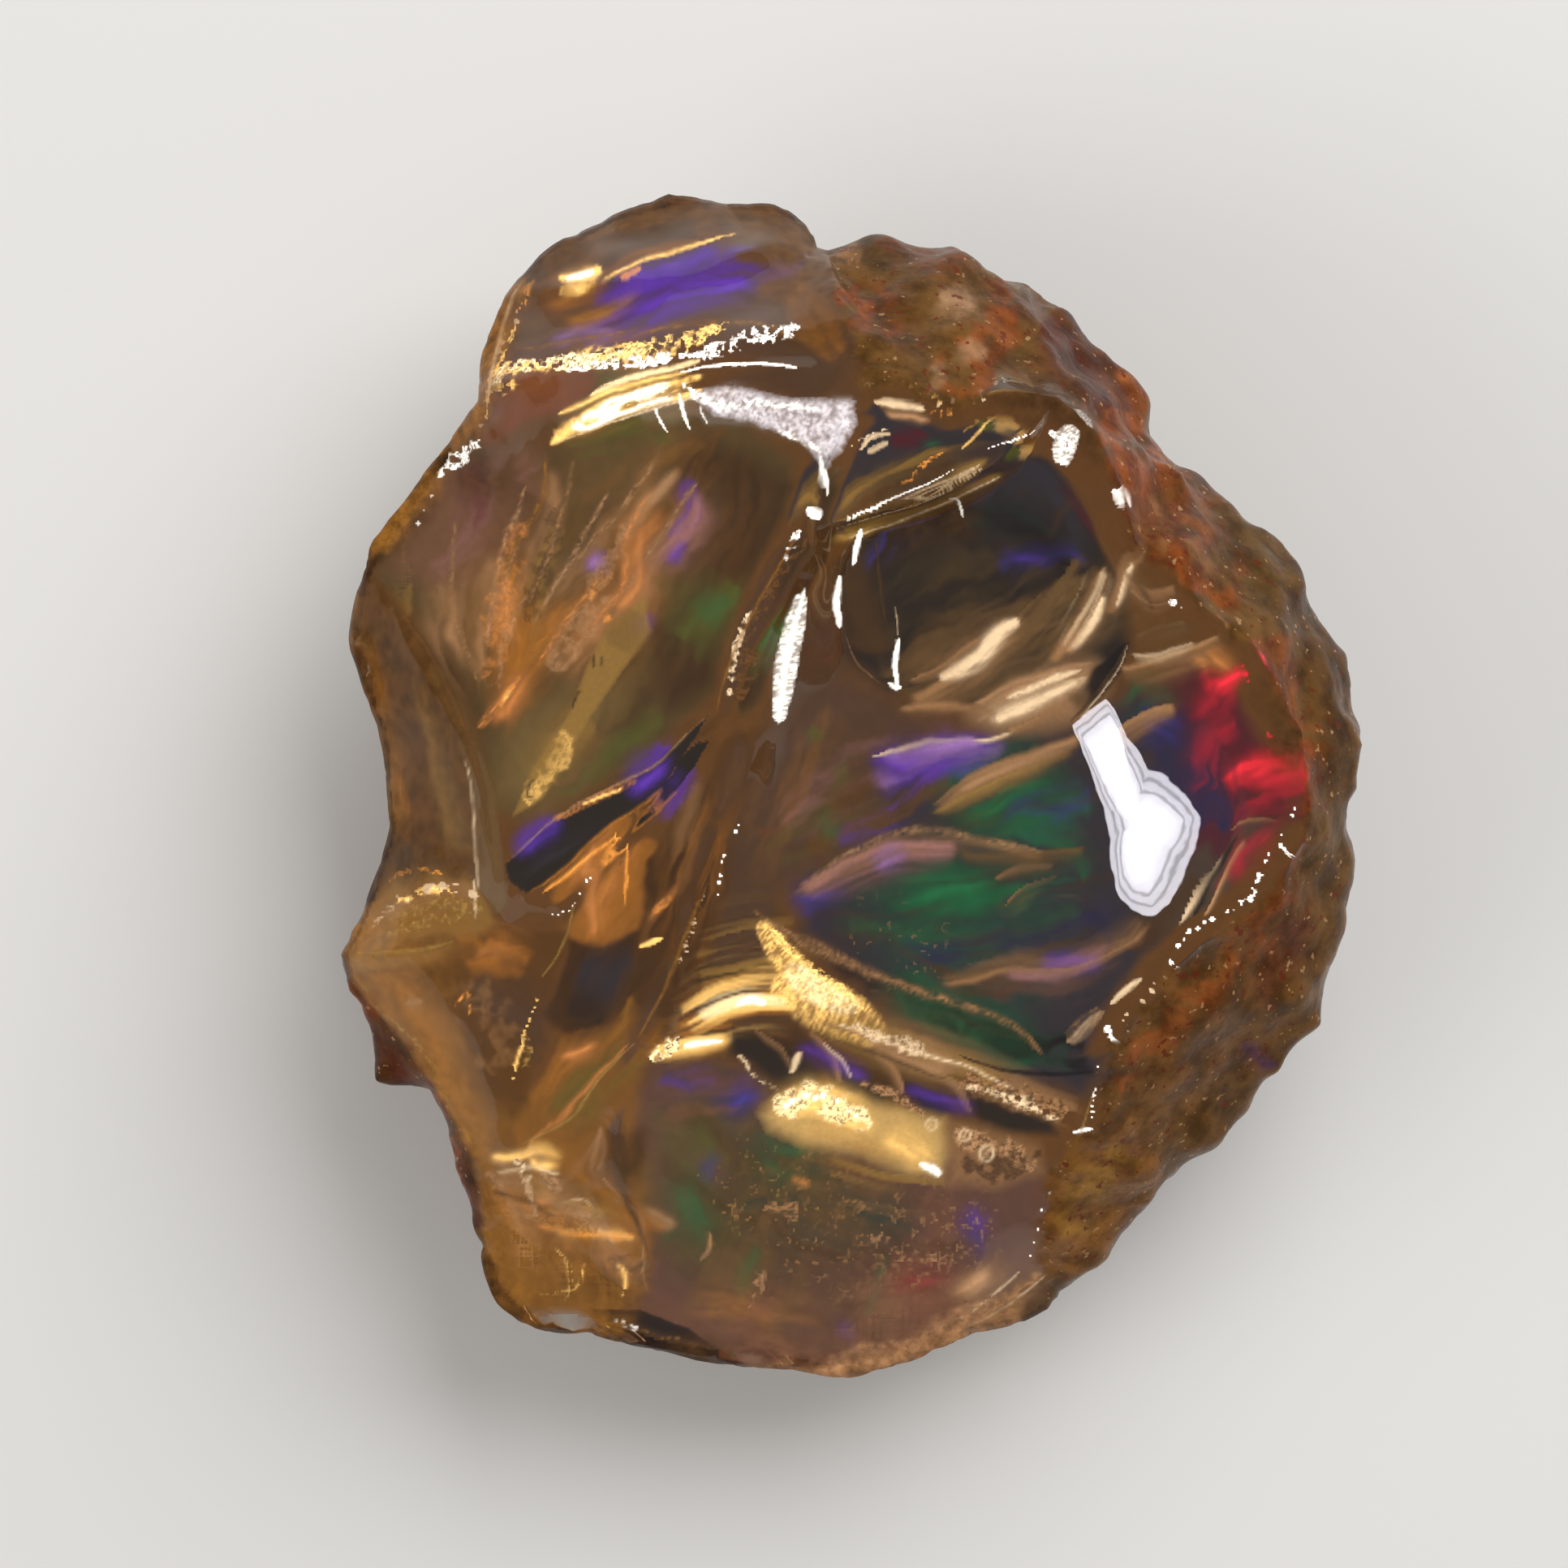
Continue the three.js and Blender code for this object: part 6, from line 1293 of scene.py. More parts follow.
    ("tan", 0.9, 0.25, "fan", (1.3, 2.2), (2.7, 2.4), (4, 2.1)),
    ("tan", 0.95, 0.55, "fan", (5.3, 3.5), (6, 4.5), (6.6, 5.7), (7.1, 6.2)),
    ("peach", 0.9, 0.3, "fan", (5.8, 3.7), (6.4, 4.6), (6.8, 5.4)),
    ("cream", 0.9, 0.22, "fan", (6, 3.8), (6.5, 4.6), (6.9, 5.3)),
    ("cream", 0.6, 0.4, "strata", (5.9, 3.8), (6.5, 4.9), (7, 6)),
    ("sepia", 0.8, 0.7, "strata", (4.6, 4), (5.7, 5.3), (6.4, 6.2)),
    ("tan", 0.95, 0.4, "fan", (6.9, 4.8), (7.3, 5.8), (7.7, 6.6), (8.3, 6.9)),
    ("cream", 0.8, 0.14, "fan", (7.25, 5), (7.55, 5.85), (7.9, 6.45)),
    ("tan", 0.95, 0.4, "fan", (7.6, 6.2), (8.3, 5.7), (9.3, 6)),
    ("peach", 0.9, 0.2, "fan", (7.7, 5.6), (8.4, 5.2), (9.2, 5.5)),
    ("umber", 0.8, 0.1, "flare", (7.75, 6), (8.1, 5.65), (8.4, 5)),
    ("tan", 0.95, 0.55, "fan", (7.2, 3.3), (8.5, 3.7), (9.5, 4.1), (10.3, 4.6)),
    ("cream", 0.8, 0.22, "fan", (7.6, 3.7), (8.5, 3.8), (9.5, 4.2)),
    ("sepia", 0.9, 0.5, "fan", (7.7, 4.2), (8.6, 4.6), (9.4, 4.9)),
    ("tan", 0.95, 0.45, "fan", (6.8, 1.2), (7.6, 1.9), (8.8, 2.4)),
    ("peach", 0.7, 0.2, "fan", (7, 1.5), (7.7, 2), (8.6, 2.3)),
    ("black", 0.95, 0.1, "patch", (6.65, 3.2), (7.3, 3.9), (7.55, 4), (7.3, 3.15), (6.75, 2.55),
     (6.4, 2.25)),
    ("orange", 0.8, 0.36, "flare", (9.7, 4.1), (10.2, 3.8), (10.8, 3.4)),
    ("red", 0.9, 0.3, "flare", (9.9, 2.6), (10.6, 3.2), (11.2, 3.5)),
    ("red", 0.9, 0.1, "beads", (10.9, 3.7), (11.25, 2.7), (11.7, 1.7)),
    ("red", 0.95, 0.45, "flare", (10.7, 0.2), (11.9, 0.7), (13, 1.1)),
    ("crimson", 0.8, 0.4, "flare", (10.4, -2.8), (11, -1.9), (11.8, -1)),
    # pocket
    ("cream", 1, 0.2, "gleam", (0.6, 10.7), (1.4, 10.8), (2.1, 10.7)),
    ("peach", 0.9, 0.2, "flare", (0.8, 10.4), (1.7, 10.4), (2.3, 10.2)),
    ("cream", 0.9, 0.12, "gleam", (0.05, 9.25), (0.4, 9.65), (1.05, 9.75)),
    ("cream", 0.7, 0.14, "gleam", (0.25, 9.2), (0.7, 9.35), (1, 9.5)),
    ("fire", 0.7, 0.16, "crust", (2.2, 10.6), (2.6, 10.4), (2.9, 10.5)),
    ("straw", 0.7, 0.2, "crust", (3.1, 9.9), (3.8, 10.3), (4.4, 10)),
    ("gold", 0.6, 0.07, "line", (3.1, 9.1), (3.55, 9.75), (3.9, 10.3)),
    ("straw", 0.9, 0.3, "flare", (-0.9, 6.8), (0.7, 7.3), (2.2, 7.9), (4.1, 8.8)),
    ("cream", 0.8, 0.05, "line", (-0.2, 6.9), (1, 7.3), (2.45, 7.95), (3.95, 8.65)),
    ("umber", 0.8, 0.04, "line", (-0.3, 6.75), (1, 7.15), (2.55, 7.8), (4, 8.5)),
    ("fire", 0.6, 0.14, "crust", (1.35, 8.1), (2, 8.55), (2.65, 9.1)),
    # warm blotches in the flames
    ("orange", 0.4, 0.5, "crust", (-9, 7.3), (-9.6, 4.7), (-9.9, 2.7)),
    ("peach", 0.35, 0.5, "crust", (-6.1, 7.3), (-7.1, 4.9), (-8.1, 3.1)),
    ("umber", 0.5, 0.4, "crust", (-7.9, 7.8), (-8.4, 6), (-8.8, 4.5)),
    # striped edge of the foot
    ("tan", 0.6, 0.4, "flare", (1.6, -14.7), (3.1, -13.8), (4.4, -12.5)),
    ("peach", 0.8, 0.35, "flare", (2.6, -13.8), (3.3, -13.4), (4, -12.9)),
    ("cream", 0.6, 0.05, "line", (1.8, -14.9), (3.35, -14), (4.75, -12.9)),
    # honey glow over the lower left
    ("honey", 0.5, 0.9, "veils", (-12.7, -4.6), (-10.8, -7), (-9.4, -9.4)),
    ("straw", 0.6, 0.4, "flare", (-9, -10.3), (-7.7, -11.2), (-6.1, -11.6)),
    ("amber", 0.6, 0.5, "flare", (-9.9, -10.5), (-9, -12), (-8.8, -13.6)),
    # fine flow lines in the gold and under it
    ("cream", 0.7, 0.06, "line", (-0.4, -6.35), (1.15, -6.9), (2.9, -7.4), (4.45, -8.1)),
    ("umber", 0.7, 0.05, "line", (-0.85, -6.65), (0.9, -7.25), (2.65, -7.85)),
    ("tan", 0.8, 0.14, "fan", (-2.6, -6.5), (-1.85, -7), (-1.6, -7.55)),
    ("cream", 0.7, 0.1, "crust", (-3.15, -7.2), (-2.5, -7.85), (-1.95, -8.2)),
    ("peach", 0.8, 0.16, "crust", (0.2, -8), (1.1, -8.3), (2, -8.9)),
    ("cream", 0.7, 0.14, "crust", (3.1, -8.1), (4.45, -8.35), (5.75, -9.05)),
    # fine filaments in the flames
    ("peach", 0.7, 0.09, "flame", (-8.75, 8.4), (-9.6, 6), (-9.9, 3.8)),
    ("tan", 0.8, 0.1, "flame", (-7.55, 9.1), (-7.9, 7.3), (-8.75, 5)),
    ("peach", 0.7, 0.09, "flame", (-6.55, 8.2), (-7.65, 6.2), (-8.65, 4.55)),
    ("orange", 0.8, 0.12, "flame", (-5.35, 8.2), (-6.1, 6.9), (-6.2, 5.5), (-7.1, 4.35)),
    ("tan", 0.7, 0.1, "flame", (-10.7, 7.3), (-10.85, 5.1), (-10.2, 2.8)),
    ("peach", 0.6, 0.1, "flame", (-8.8, 5.35), (-9.5, 3.8), (-9.6, 2.7)),
    ("orange", 0.7, 0.1, "flame", (-6.7, 6), (-7.65, 4.7), (-8.55, 3.35)),
    ("honey", 0.9, 0.1, "flame", (-8.75, 13.8), (-6.55, 15.15), (-3.7, 15.6), (-1.05, 15.05)),
    ("amber", 0.8, 0.08, "flame", (-8.55, 14.05), (-6.8, 15), (-4.6, 15.4)),
    ("honey", 0.8, 0.12, "flame", (-9, 11.9), (-6.35, 12.35), (-3.25, 12.6), (-0.85, 12.15)),
    # crumbly gold and cream on the cheek: painted glints
    ("cream", 0.7, 0.16, "crust", (-13.1, -3.9), (-12, -3), (-10.6, -2.6)),
    ("straw", 0.8, 0.24, "crust", (-12.7, -4.2), (-11.2, -3.6), (-9.9, -3.2)),
    ("gold", 0.8, 0.1, "crust", (-12.3, -3.2), (-11.4, -2.8), (-10.75, -2.95)),
    # soft folds of the crumpled corner
    ("peach", 0.45, 0.9, "veils", (-9.4, -10.5), (-7.7, -11.6), (-5.9, -12.5)),
    ("tan", 0.6, 0.5, "flare", (-9.9, -10.1), (-9, -11.6), (-8.6, -13.4)),
    ("tan", 0.6, 0.4, "flare", (-7.9, -10.7), (-7.7, -12.3), (-7.9, -13.8)),
    ("bark", 0.7, 0.4, "veils", (-7.7, -11.6), (-6.8, -12.9), (-6.4, -14.2)),
    ("peach", 0.6, 0.16, "flare", (-9, -11.6), (-7.9, -11.4), (-6.8, -11.6)),
    ("cream", 0.5, 0.1, "flare", (-9.65, -10.4), (-8.75, -10.25), (-7.9, -10.4)),
    ("umber", 0.7, 0.1, "flare", (-9.75, -10.95), (-8.75, -11.1), (-8.1, -11.6)),
    # grain over the lower face
    ("straw", 0.7, 0.8, "dust", (-4.6, -10.3), (-3.3, -11.6), (-2.6, -12.9)),
    ("peach", 0.6, 0.8, "dust", (0, -11.6), (1.8, -12.3), (3.8, -11.6)),
]
gleams = {
    "depth": 1.1,
    "thin": (0.5, 2.5),
    "gap": 0.07,
    "tone": "gold",
    "cover": 0.0,
    "bends": ((0.9, 0.2), (0.3, 0.1), (0.12, 0.04)),
    "strokes": gleamStrokes,
}

# crumbs just under the surface, and painted white highlights and glints along the fractures
crumbAndHighlightStrokes = [
    # painted white highlights and gold crumbs along the top of the left face
    ("white", 1, 0.2, "crust", (-7.9, 11.4), (-6.7, 11.5), (-5.5, 11.6), (-4.4, 11.8)),
    ("white", 1, 0.26, "crust", (-4.6, 11.7), (-3.2, 12), (-2.6, 12.3), (-2, 12.3), (-1.3, 12.6)),
    ("paleGold", 1, 0.26, "crust", (-9.7, 10.9), (-9.3, 11.4), (-8.1, 11.5), (-6.8, 11.7), (-5.5, 11.9)),
    ("gold", 0.9, 0.26, "crust", (-7, 11.7), (-5.5, 12), (-4.2, 12.2), (-3.2, 12.7)),
    ("white", 0.9, 0.07, "gleam", (-4.7, 11.25), (-3.7, 11.45), (-2.4, 11.5), (-1.3, 11.35)),
    ("cream", 0.8, 0.04, "line", (-8.2, 9.35), (-6.35, 10.05), (-4.35, 10.65), (-3.05, 10.85)),
    ("paleGold", 0.8, 0.04, "line", (-6.8, 10.9), (-5.45, 11.25), (-4.15, 11.5)),
    # painted highlight: the frosted plate, white as if it mirrored a softbox
    ("silver", 0.95, 0.14, "frost", (-4.25, 10.8), (-3.2, 10.95), (-1.8, 10.6), (0, 10.5), (0.05, 9.95),
     (-0.3, 9.35), (-0.7, 8.8), (-1, 9.15), (-1.4, 9.5), (-2.8, 10.05), (-3.7, 10.2)),
    ("white", 0.9, 0.16, "crust", (-4.6, 11), (-3.9, 10.6), (-3.1, 10.3)),
    ("white", 0.9, 0.06, "gleam", (-5.3, 10.4), (-5.15, 10), (-4.95, 9.65)),
    ("white", 0.9, 0.07, "gleam", (-4.65, 10.85), (-4.55, 10.3), (-4.35, 9.7)),
    ("white", 0.7, 0.05, "gleam", (-4.1, 10.45), (-4, 10.15), (-3.85, 9.85)),
    ("white", 0.9, 0.05, "line", (-0.8, 9.05), (-0.75, 8.55), (-0.75, 7.95)),
    ("white", 1, 0.13, "gleam", (-1.05, 7.7), (-1, 7.55), (-0.95, 7.35)),
    ("white", 0.9, 0.12, "crust", (-1.25, 7.1), (-1.5, 6.75), (-1.75, 6.2)),
    ("white", 0.9, 0.05, "haze", (-2.75, 8.2), (-2.7, 8.2)),
    # painted white highlights along the left rim
    ("white", 1, 0.26, "crust", (-11.3, 8.4), (-10.7, 8.9), (-10, 9.5)),
    ("white", 0.8, 0.08, "beads", (-11.75, 7.1), (-11.5, 7.7), (-11.2, 8.2)),
    ("cream", 0.7, 0.09, "beads", (-10.1, 9.75), (-9.85, 10.6), (-9.6, 11.7), (-9, 12.95)),
    ("gold", 0.8, 0.1, "crust", (-9.9, 9.95), (-9.75, 11.05), (-9, 12.7)),
    ("cream", 0.8, 0.06, "line", (-9.85, 10.4), (-9.65, 11.7), (-9, 13.7), (-7.9, 14.8)),
    ("honey", 0.7, 0.05, "line", (-7.9, 14.8), (-5.9, 15.8), (-4.15, 16.15), (-2.4, 15.75)),
    # painted white highlight on the rippled strip beside the crest, with brown crumbs and lines
    ("white", 1, 0.3, "comb", (-1.4, 5.4), (-1.6, 4.5), (-1.8, 3.4), (-2, 1.8)),
    ("white", 0.8, 0.1, "line", (-1.35, 5.5), (-1.75, 3.8), (-2, 1.8)),
    ("cream", 0.9, 0.14, "crust", (-2.7, 4.8), (-3.1, 3.6), (-3.25, 2.5)),
    ("brown", 0.8, 0.24, "crust", (-1.1, 6.9), (-2, 5.5), (-2.7, 3.8), (-3.1, 2.3)),
    ("honey", 0.7, 0.06, "line", (-1.3, 7.1), (-2.4, 5.1), (-3.25, 3.35), (-3.6, 2.05)),
    ("umber", 0.7, 0.07, "line", (-1, 6.75), (-1.7, 5.35), (-2.4, 3.8), (-2.8, 2.25)),
    # finger, with painted white highlights along its edges
    ("white", 1, 0.11, "gleam", (0.3, 7.15), (0.15, 6.6), (0.05, 6.05)),
    ("white", 1, 0.13, "gleam", (-0.3, 5.85), (-0.4, 5.1), (-0.3, 4.35)),
    ("white", 1, 0.1, "gleam", (1.3, 4.15), (1.2, 3.45), (1.25, 2.8)),
    ("white", 0.9, 0.09, "gleam", (1, 2.95), (1.2, 2.75), (1.4, 2.8)),
    ("umber", 0.8, 0.05, "line", (0.65, 7), (0.75, 6), (0.9, 4.7), (1.2, 4)),
    ("tan", 0.5, 0.04, "line", (-0.2, 4.35), (0.15, 3.45), (0.9, 2.8)),
    ("cream", 0.6, 0.03, "line", (1.15, 5.1), (1.25, 4.55), (1.3, 4)),
    # pocket, step and right rim, with painted white highlights on the step and the rim
    ("cream", 1, 0.18, "crust", (0.2, 10.8), (0.7, 11.2), (1.3, 11.3), (2.2, 10.9)),
    ("gold", 0.8, 0.12, "crust", (1.35, 11.05), (2.25, 10.7), (2.45, 10.4)),
    ("cream", 0.8, 0.08, "crust", (3.35, 10.85), (4, 11), (4.7, 10.95)),
    ("cream", 0.8, 0.08, "beads", (2.25, 10.4), (3.1, 10.6), (4.2, 10.95)),
    ("white", 1, 0.05, "gleam", (-0.5, 7.3), (0.7, 7.7), (2, 8.2), (3.1, 8.8)),
    ("white", 0.9, 0.04, "gleam", (3.5, 9.15), (4.45, 9.55), (5.2, 10.1)),
    ("cream", 0.8, 0.03, "line", (-0.65, 7.1), (0.9, 7.55), (2.45, 8.15), (3.95, 9.05)),
    ("cream", 0.8, 0.09, "crust", (-0.1, 9.25), (0.45, 9.65), (1.05, 9.75)),
    ("white", 0.9, 0.06, "gleam", (2.6, 7.95), (2.9, 7.85), (3.05, 7.3)),
    ("white", 1, 0.3, "comb", (6.2, 10.1), (5.9, 9.5), (5.7, 8.8)),
    ("white", 0.9, 0.2, "crust", (5.4, 9.9), (5.9, 9.5), (6, 9.1)),
    ("white", 0.9, 0.1, "gleam", (7.2, 8.25), (7.35, 7.95), (7.45, 7.6)),
    ("white", 0.7, 0.12, "crust", (8.6, 5.2), (9.15, 4.95)),
    ("cream", 0.6, 0.03, "line", (7.55, 4), (7.25, 3.25), (6.65, 2.45), (6, 1.7)),
    ("umber", 0.9, 0.05, "line", (7.45, 3.9), (7.05, 3.15), (6.5, 2.45), (5.9, 1.8)),
    # painted white glints, as beads, and lines along the seam and the crack
    ("white", 0.9, 0.05, "beads", (-6.4, -1.5), (-7.1, -2.4), (-7.65, -3.15), (-8.1, -3.35)),
    ("white", 1, 0.07, "beads", (-3, -0.7), (-3.3, -1.5), (-3.6, -2.15), (-3.7, -2.95)),
    ("cream", 0.8, 0.05, "beads", (-4, -2.8), (-4.35, -3.9), (-4.7, -5)),
    ("honey", 0.6, 0.05, "line", (-3.95, -2.45), (-4.45, -3.9), (-5.05, -5.45), (-5.8, -6.85)),
    ("straw", 0.7, 0.06, "line", (-5.8, -6.85), (-6.8, -7.85), (-7.65, -8.95), (-9, -9.6)),
    # painted white glints along the rind on the right
    ("white", 1, 0.08, "beads", (12.25, -0.25), (11.8, -1.15), (11.25, -2.05), (10.9, -2.9)),
    ("white", 0.9, 0.14, "crust", (11.7, -1.5), (11.95, -1.8)),
    ("white", 1, 0.09, "beads", (10.9, -2.9), (10.15, -3.5), (9.25, -3.9), (8.7, -4.8)),
    ("white", 0.9, 0.1, "crust", (11.25, -2.25), (10.8, -3.05), (10.1, -3.5)),
    ("cream", 0.9, 0.07, "beads", (8.6, -5), (7.75, -5.9), (7.4, -6.5)),
    ("white", 1, 0.18, "crust", (7, -6.4), (7.2, -6.8), (7.3, -6.9)),
    ("white", 0.9, 0.06, "beads", (6.75, -7.4), (6.65, -8.2), (6.55, -9.05)),
    ("white", 0.9, 0.07, "gleam", (6, -9.3), (6.35, -9.2), (6.65, -9.15)),
    ("white", 0.9, 0.05, "beads", (5.75, -10.15), (5.25, -11.15), (5, -12.05), (4.8, -12.9)),
    ("straw", 0.6, 0.05, "line", (6.65, -8.1), (6.2, -9.4), (5.3, -11.15)),
    ("black", 0.9, 0.06, "line", (6.65, -7.6), (5.55, -7.7), (4.2, -7.6), (2.9, -7.2)),
    # cheek, flake and diamond edges, with painted cream glints on the cheek
    ("straw", 0.8, 0.06, "line", (-13.9, -4.4), (-12.75, -4.45), (-11.65, -4.35), (-10.75, -4.1)),
    ("cream", 0.7, 0.16, "beads", (-12.1, -2.8), (-11.2, -2.6), (-10.2, -2.8)),
    ("straw", 0.7, 0.05, "line", (-7.55, -3), (-7.65, -3.7), (-7.95, -4.45), (-8.4, -5.1)),
    ("brown", 0.9, 0.08, "line", (-13.05, 5.95), (-12.3, 4.9), (-11.4, 3.6), (-10.7, 2.15), (-10.1, 0.5),
     (-9.75, -1.5)),
    ("straw", 0.6, 0.1, "crust", (-13.7, -4.65), (-12.75, -6), (-11.65, -7), (-10.75, -8.85),
     (-10.05, -9.85)),
    ("honey", 0.7, 0.1, "crust", (-13.5, 5.55), (-13.4, 3.8), (-13.05, 2.05), (-12.55, 0.05)),
    # foot: painted shadow in the notch, painted white glints, and honey lines
    ("black", 0.9, 0.05, "zone", (-7, -14.1), (-5.7, -14.1), (-4.4, -14.6), (-3.4, -15.3), (-4.4, -15.3),
     (-5.7, -14.9), (-6.8, -14.5)),
    ("white", 0.9, 0.12, "crust", (-6.45, -14.4), (-6.15, -14.5), (-5.8, -14.6)),
    ("cream", 0.8, 0.05, "beads", (-5.6, -14.95), (-4.35, -15.3), (-3.05, -15.65)),
    ("straw", 0.6, 0.09, "crust", (-8.75, -14.25), (-6.8, -14.4), (-4.35, -15), (-1.95, -15.8),
     (1.15, -15.65), (4.2, -13.8)),
    ("honey", 0.7, 0.05, "line", (-9, -13.8), (-6.8, -14.7), (-4.15, -15.4), (-1.05, -16)),
    # dust over the gold
    ("straw", 0.8, 0.9, "dust", (-3.5, -10.3), (-1.5, -10.8), (0.3, -11.2)),
    ("tan", 0.8, 1.3, "dust", (-2.2, -12.3), (1.1, -12.5), (4, -12)),
    ("tan", 0.5, 1.1, "dust", (-0.4, -3.5), (1.1, -4.3), (3.3, -4.8)),
    ("gold", 0.8, 0.18, "crust", (-2.3, -3.7), (-1.4, -4.6), (-0.4, -5.3), (0.4, -6)),
    # painted white highlights by the plate
    ("white", 0.7, 0.12, "crust", (-3.95, 10.4), (-2.4, 10.5), (-0.85, 10.3)),
    ("white", 0.8, 0.1, "crust", (-1.95, 9.75), (-1.05, 9.3), (-0.65, 9.1)),
    ("cream", 0.5, 0.05, "line", (2.9, -14.7), (4.2, -14), (5.55, -12.9)),
]
# the crumbs sheet: crumbs, and painted highlights and glints, just under the surface
crust = {
    "depth": 0.16,
    "thin": (0.3, 1.2),
    "gap": 0.05,
    "tone": "white",
    "cover": 0.0,
    "bends": ((0.5, 0.12), (0.15, 0.06)),
    "strokes": crumbAndHighlightStrokes,
}


def sheetInside(name, plan):
    # a sheet under the front of the stone, bent as light is, so that its strokes show where they were set
    low, high = points.min(0), points.max(0)
    across = np.arange(low[0], high[0], plan["gap"])
    along = np.arange(low[1], high[1], plan["gap"])
    x, y = (g.ravel() for g in np.meshgrid(across, along, indexing="ij"))
    top, even, foot = (sampled(heights[key], x, y) for key in ("full", "soft", "under"))
    room = top - foot
    d = np.minimum(plan["depth"], np.maximum(room, 0) * relief["share"])
    h = relief["slopeOver"]
    soft = heights["soft"]
    slopeX, slopeY = ((sampled(soft, x + i, y + j) - sampled(soft, x - i, y - j)) / (2 * h)
                      for i, j in ((h, 0), (0, h)))
    nz = 1 / np.sqrt(1 + slopeX ** 2 + slopeY ** 2)
    nx, ny = -slopeX * nz, -slopeY * nz
    bend = np.sqrt(1 - (1 - nz ** 2) / clear["ior"] ** 2) - nz / clear["ior"]
    wayDown = 1 / clear["ior"] + bend * nz
    z = np.minimum(top, 0.5 * top + 0.5 * even) - d
    sheet = np.stack([x - bend * nx * d / wayDown, y - bend * ny * d / wayDown, z], 1)
    spots = seenAt(np.stack([x, y, top], 1))
    inside = (room > relief["least"]) & (sampled(np.where(solid, 1.0, 0.0), x, y) > 0.999)
    colour, cover, grit = np.zeros((len(x), 3)), np.zeros(len(x)), np.zeros(len(x))
    used = np.flatnonzero(inside)
    colour[used], cover[used], grit[used] = painted(spots[used], plan)
    cover[used] *= step(*plan["thin"], room[used])
    shown = (inside & (cover > relief["faint"])).reshape(len(across), len(along))
    cell = shown[:-1, :-1] & shown[1:, :-1] & shown[:-1, 1:] & shown[1:, 1:]
    index = np.arange(len(x)).reshape(len(across), len(along))
    a, b, c, e = index[:-1, :-1][cell], index[1:, :-1][cell], index[1:, 1:][cell], index[:-1, 1:][cell]
    kept, quads = np.unique(np.stack([a, b, c, e], 1), return_inverse=True)
    quads = quads.reshape(-1, 4)
    print(name, "made:", len(quads) * 2, "triangles")
    masks = {"cover": cover[kept], "grit": grit[kept]}
    return makeMesh(name, sheet[kept], quads, masks, {"tone": colour[kept] / glow})


def glowFinish(name, grainSize):
    # colour that gives its own light, and is grainy where its grit says so
    f = Finish(name)
    tone = f.colour("tone")
    grit = f.mask("grit")
    grain = f.noise(grainSize, 3, 0.65)
    shine = grain.between(0.3, 0.7) * (0.12 + 1.0 * grit) + (0.94 - 0.55 * grit)
    lit = f.mix(1.0, tone, f.add("ShaderNodeCombineXYZ", {}, {0: shine, 1: shine, 2: shine}), "MULTIPLY")
    cover = f.mask("cover") * (1 - grit * (1 - grain.between(0.36, 0.5)))
    skin = f.add("ShaderNodeBsdfPrincipled", {}, {
        "Base Color": f.mix(0.25, (0, 0, 0), tone), "Roughness": 0.5, "Alpha": cover, "Emission Color": lit,
        "Emission Strength": glow, "Specular IOR Level": 0.0})
    return f.finish(skin)


for name, plan, finishName, grainSize in (
        ("inner_depths", depths, "colour, painted light and shade deep in the opal", 0.4),
        ("inner_colours_and_painted_gleams", gleams, "painted gleams and colours on inner fractures", 0.14),
        ("crumbs_and_painted_highlights_under_surface", crust, "crumbs and painted highlights along the fractures", 0.1)):
    sheet = sheetInside(name, plan)
    sheet.data.materials.append(glowFinish(finishName, grainSize))
    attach(sheet, "root")

# Studio
studio = {
    "floor": ((0.79, 0.78, 0.76), (0.80, 0.79, 0.77)),
    "floorReach": 900,
    "floorAt": -0.1,  # just under the stone
    "sky": (1, 0.98, 0.95),
    "skyLight": 0.3,
    "lightOn": (0, 0, 8),  # the point that the softboxes face
    "away": 300,  # how far off they stand
    "softboxes": (  # name, the way to it from the stone, side, brightness
        ("overhead softbox", (0.45, 0.6, 0.7), 260, 4.2),
        ("side softbox", (-0.8, -0.3, 0.55), 220, 2.2)),
    "clamp": 8,
    "bounces": 8,
    "clearBounces": 16,  # through the sheets inside the stone
}
gleam = {  # a small lamp close to the bowl, which mirrors it as the big white gleam
    "light": 34,
    "away": 2.2,  # so near that no other face mirrors it
    "middle": (7.65, -0.9),  # where in the gleam its edge is measured from
    "tone": (0.94, 0.92, 1.0),
    "lines": (0.16, 0.32),  # how far in from its edge the fine lines run
    "lineWidth": 0.04,
    "lineDepth": 0.45,
}

reach, at = studio["floorReach"], studio["floorAt"]
corners = np.array([(-reach, -reach, at), (reach, -reach, at), (reach, reach, at), (-reach, reach, at)])
floor = makeMesh("floor", corners, np.array([(0, 1, 2, 3)]))
f = Finish("pale floor")
plain = f.add("ShaderNodeBsdfPrincipled", {}, {
    "Base Color": f.mix(f.noise(60, 3), *studio["floor"]), "Roughness": 0.9})
floor.data.materials.append(f.finish(plain))

world = bpy.data.worlds.new("studio")
bpy.context.scene.world = world
world.use_nodes = True
sky = world.node_tree.nodes["Background"].inputs
sky["Color"].default_value = (*studio["sky"], 1)
sky["Strength"].default_value = studio["skyLight"]


def panel(name, middle, away, size, brightness):
    # a square lamp that faces against the direction away, and the directions of its sides
    lamp = bpy.data.lights.new(name, "AREA")
    lamp.shape = "RECTANGLE"
    lamp.size = lamp.size_y = size * mm
    lamp.energy = brightness * math.pi * size * size * mm * mm
    box = bpy.data.objects.new(name, lamp)
    side = Vector((0, 1, 0)).cross(away).normalized()
    up = away.cross(side)
    box.matrix_world = Matrix.Translation(middle * mm) @ Matrix((side, up, away)).transposed().to_4x4()
    box.visible_camera = False
    bpy.context.scene.collection.objects.link(box)
    return box, side, up


for name, toward, size, brightness in studio["softboxes"]:
    away = Vector(toward).normalized()
    box, _, _ = panel(name, Vector(studio["lightOn"]) + away * studio["away"], away, size, brightness)
    box.visible_glossy = False


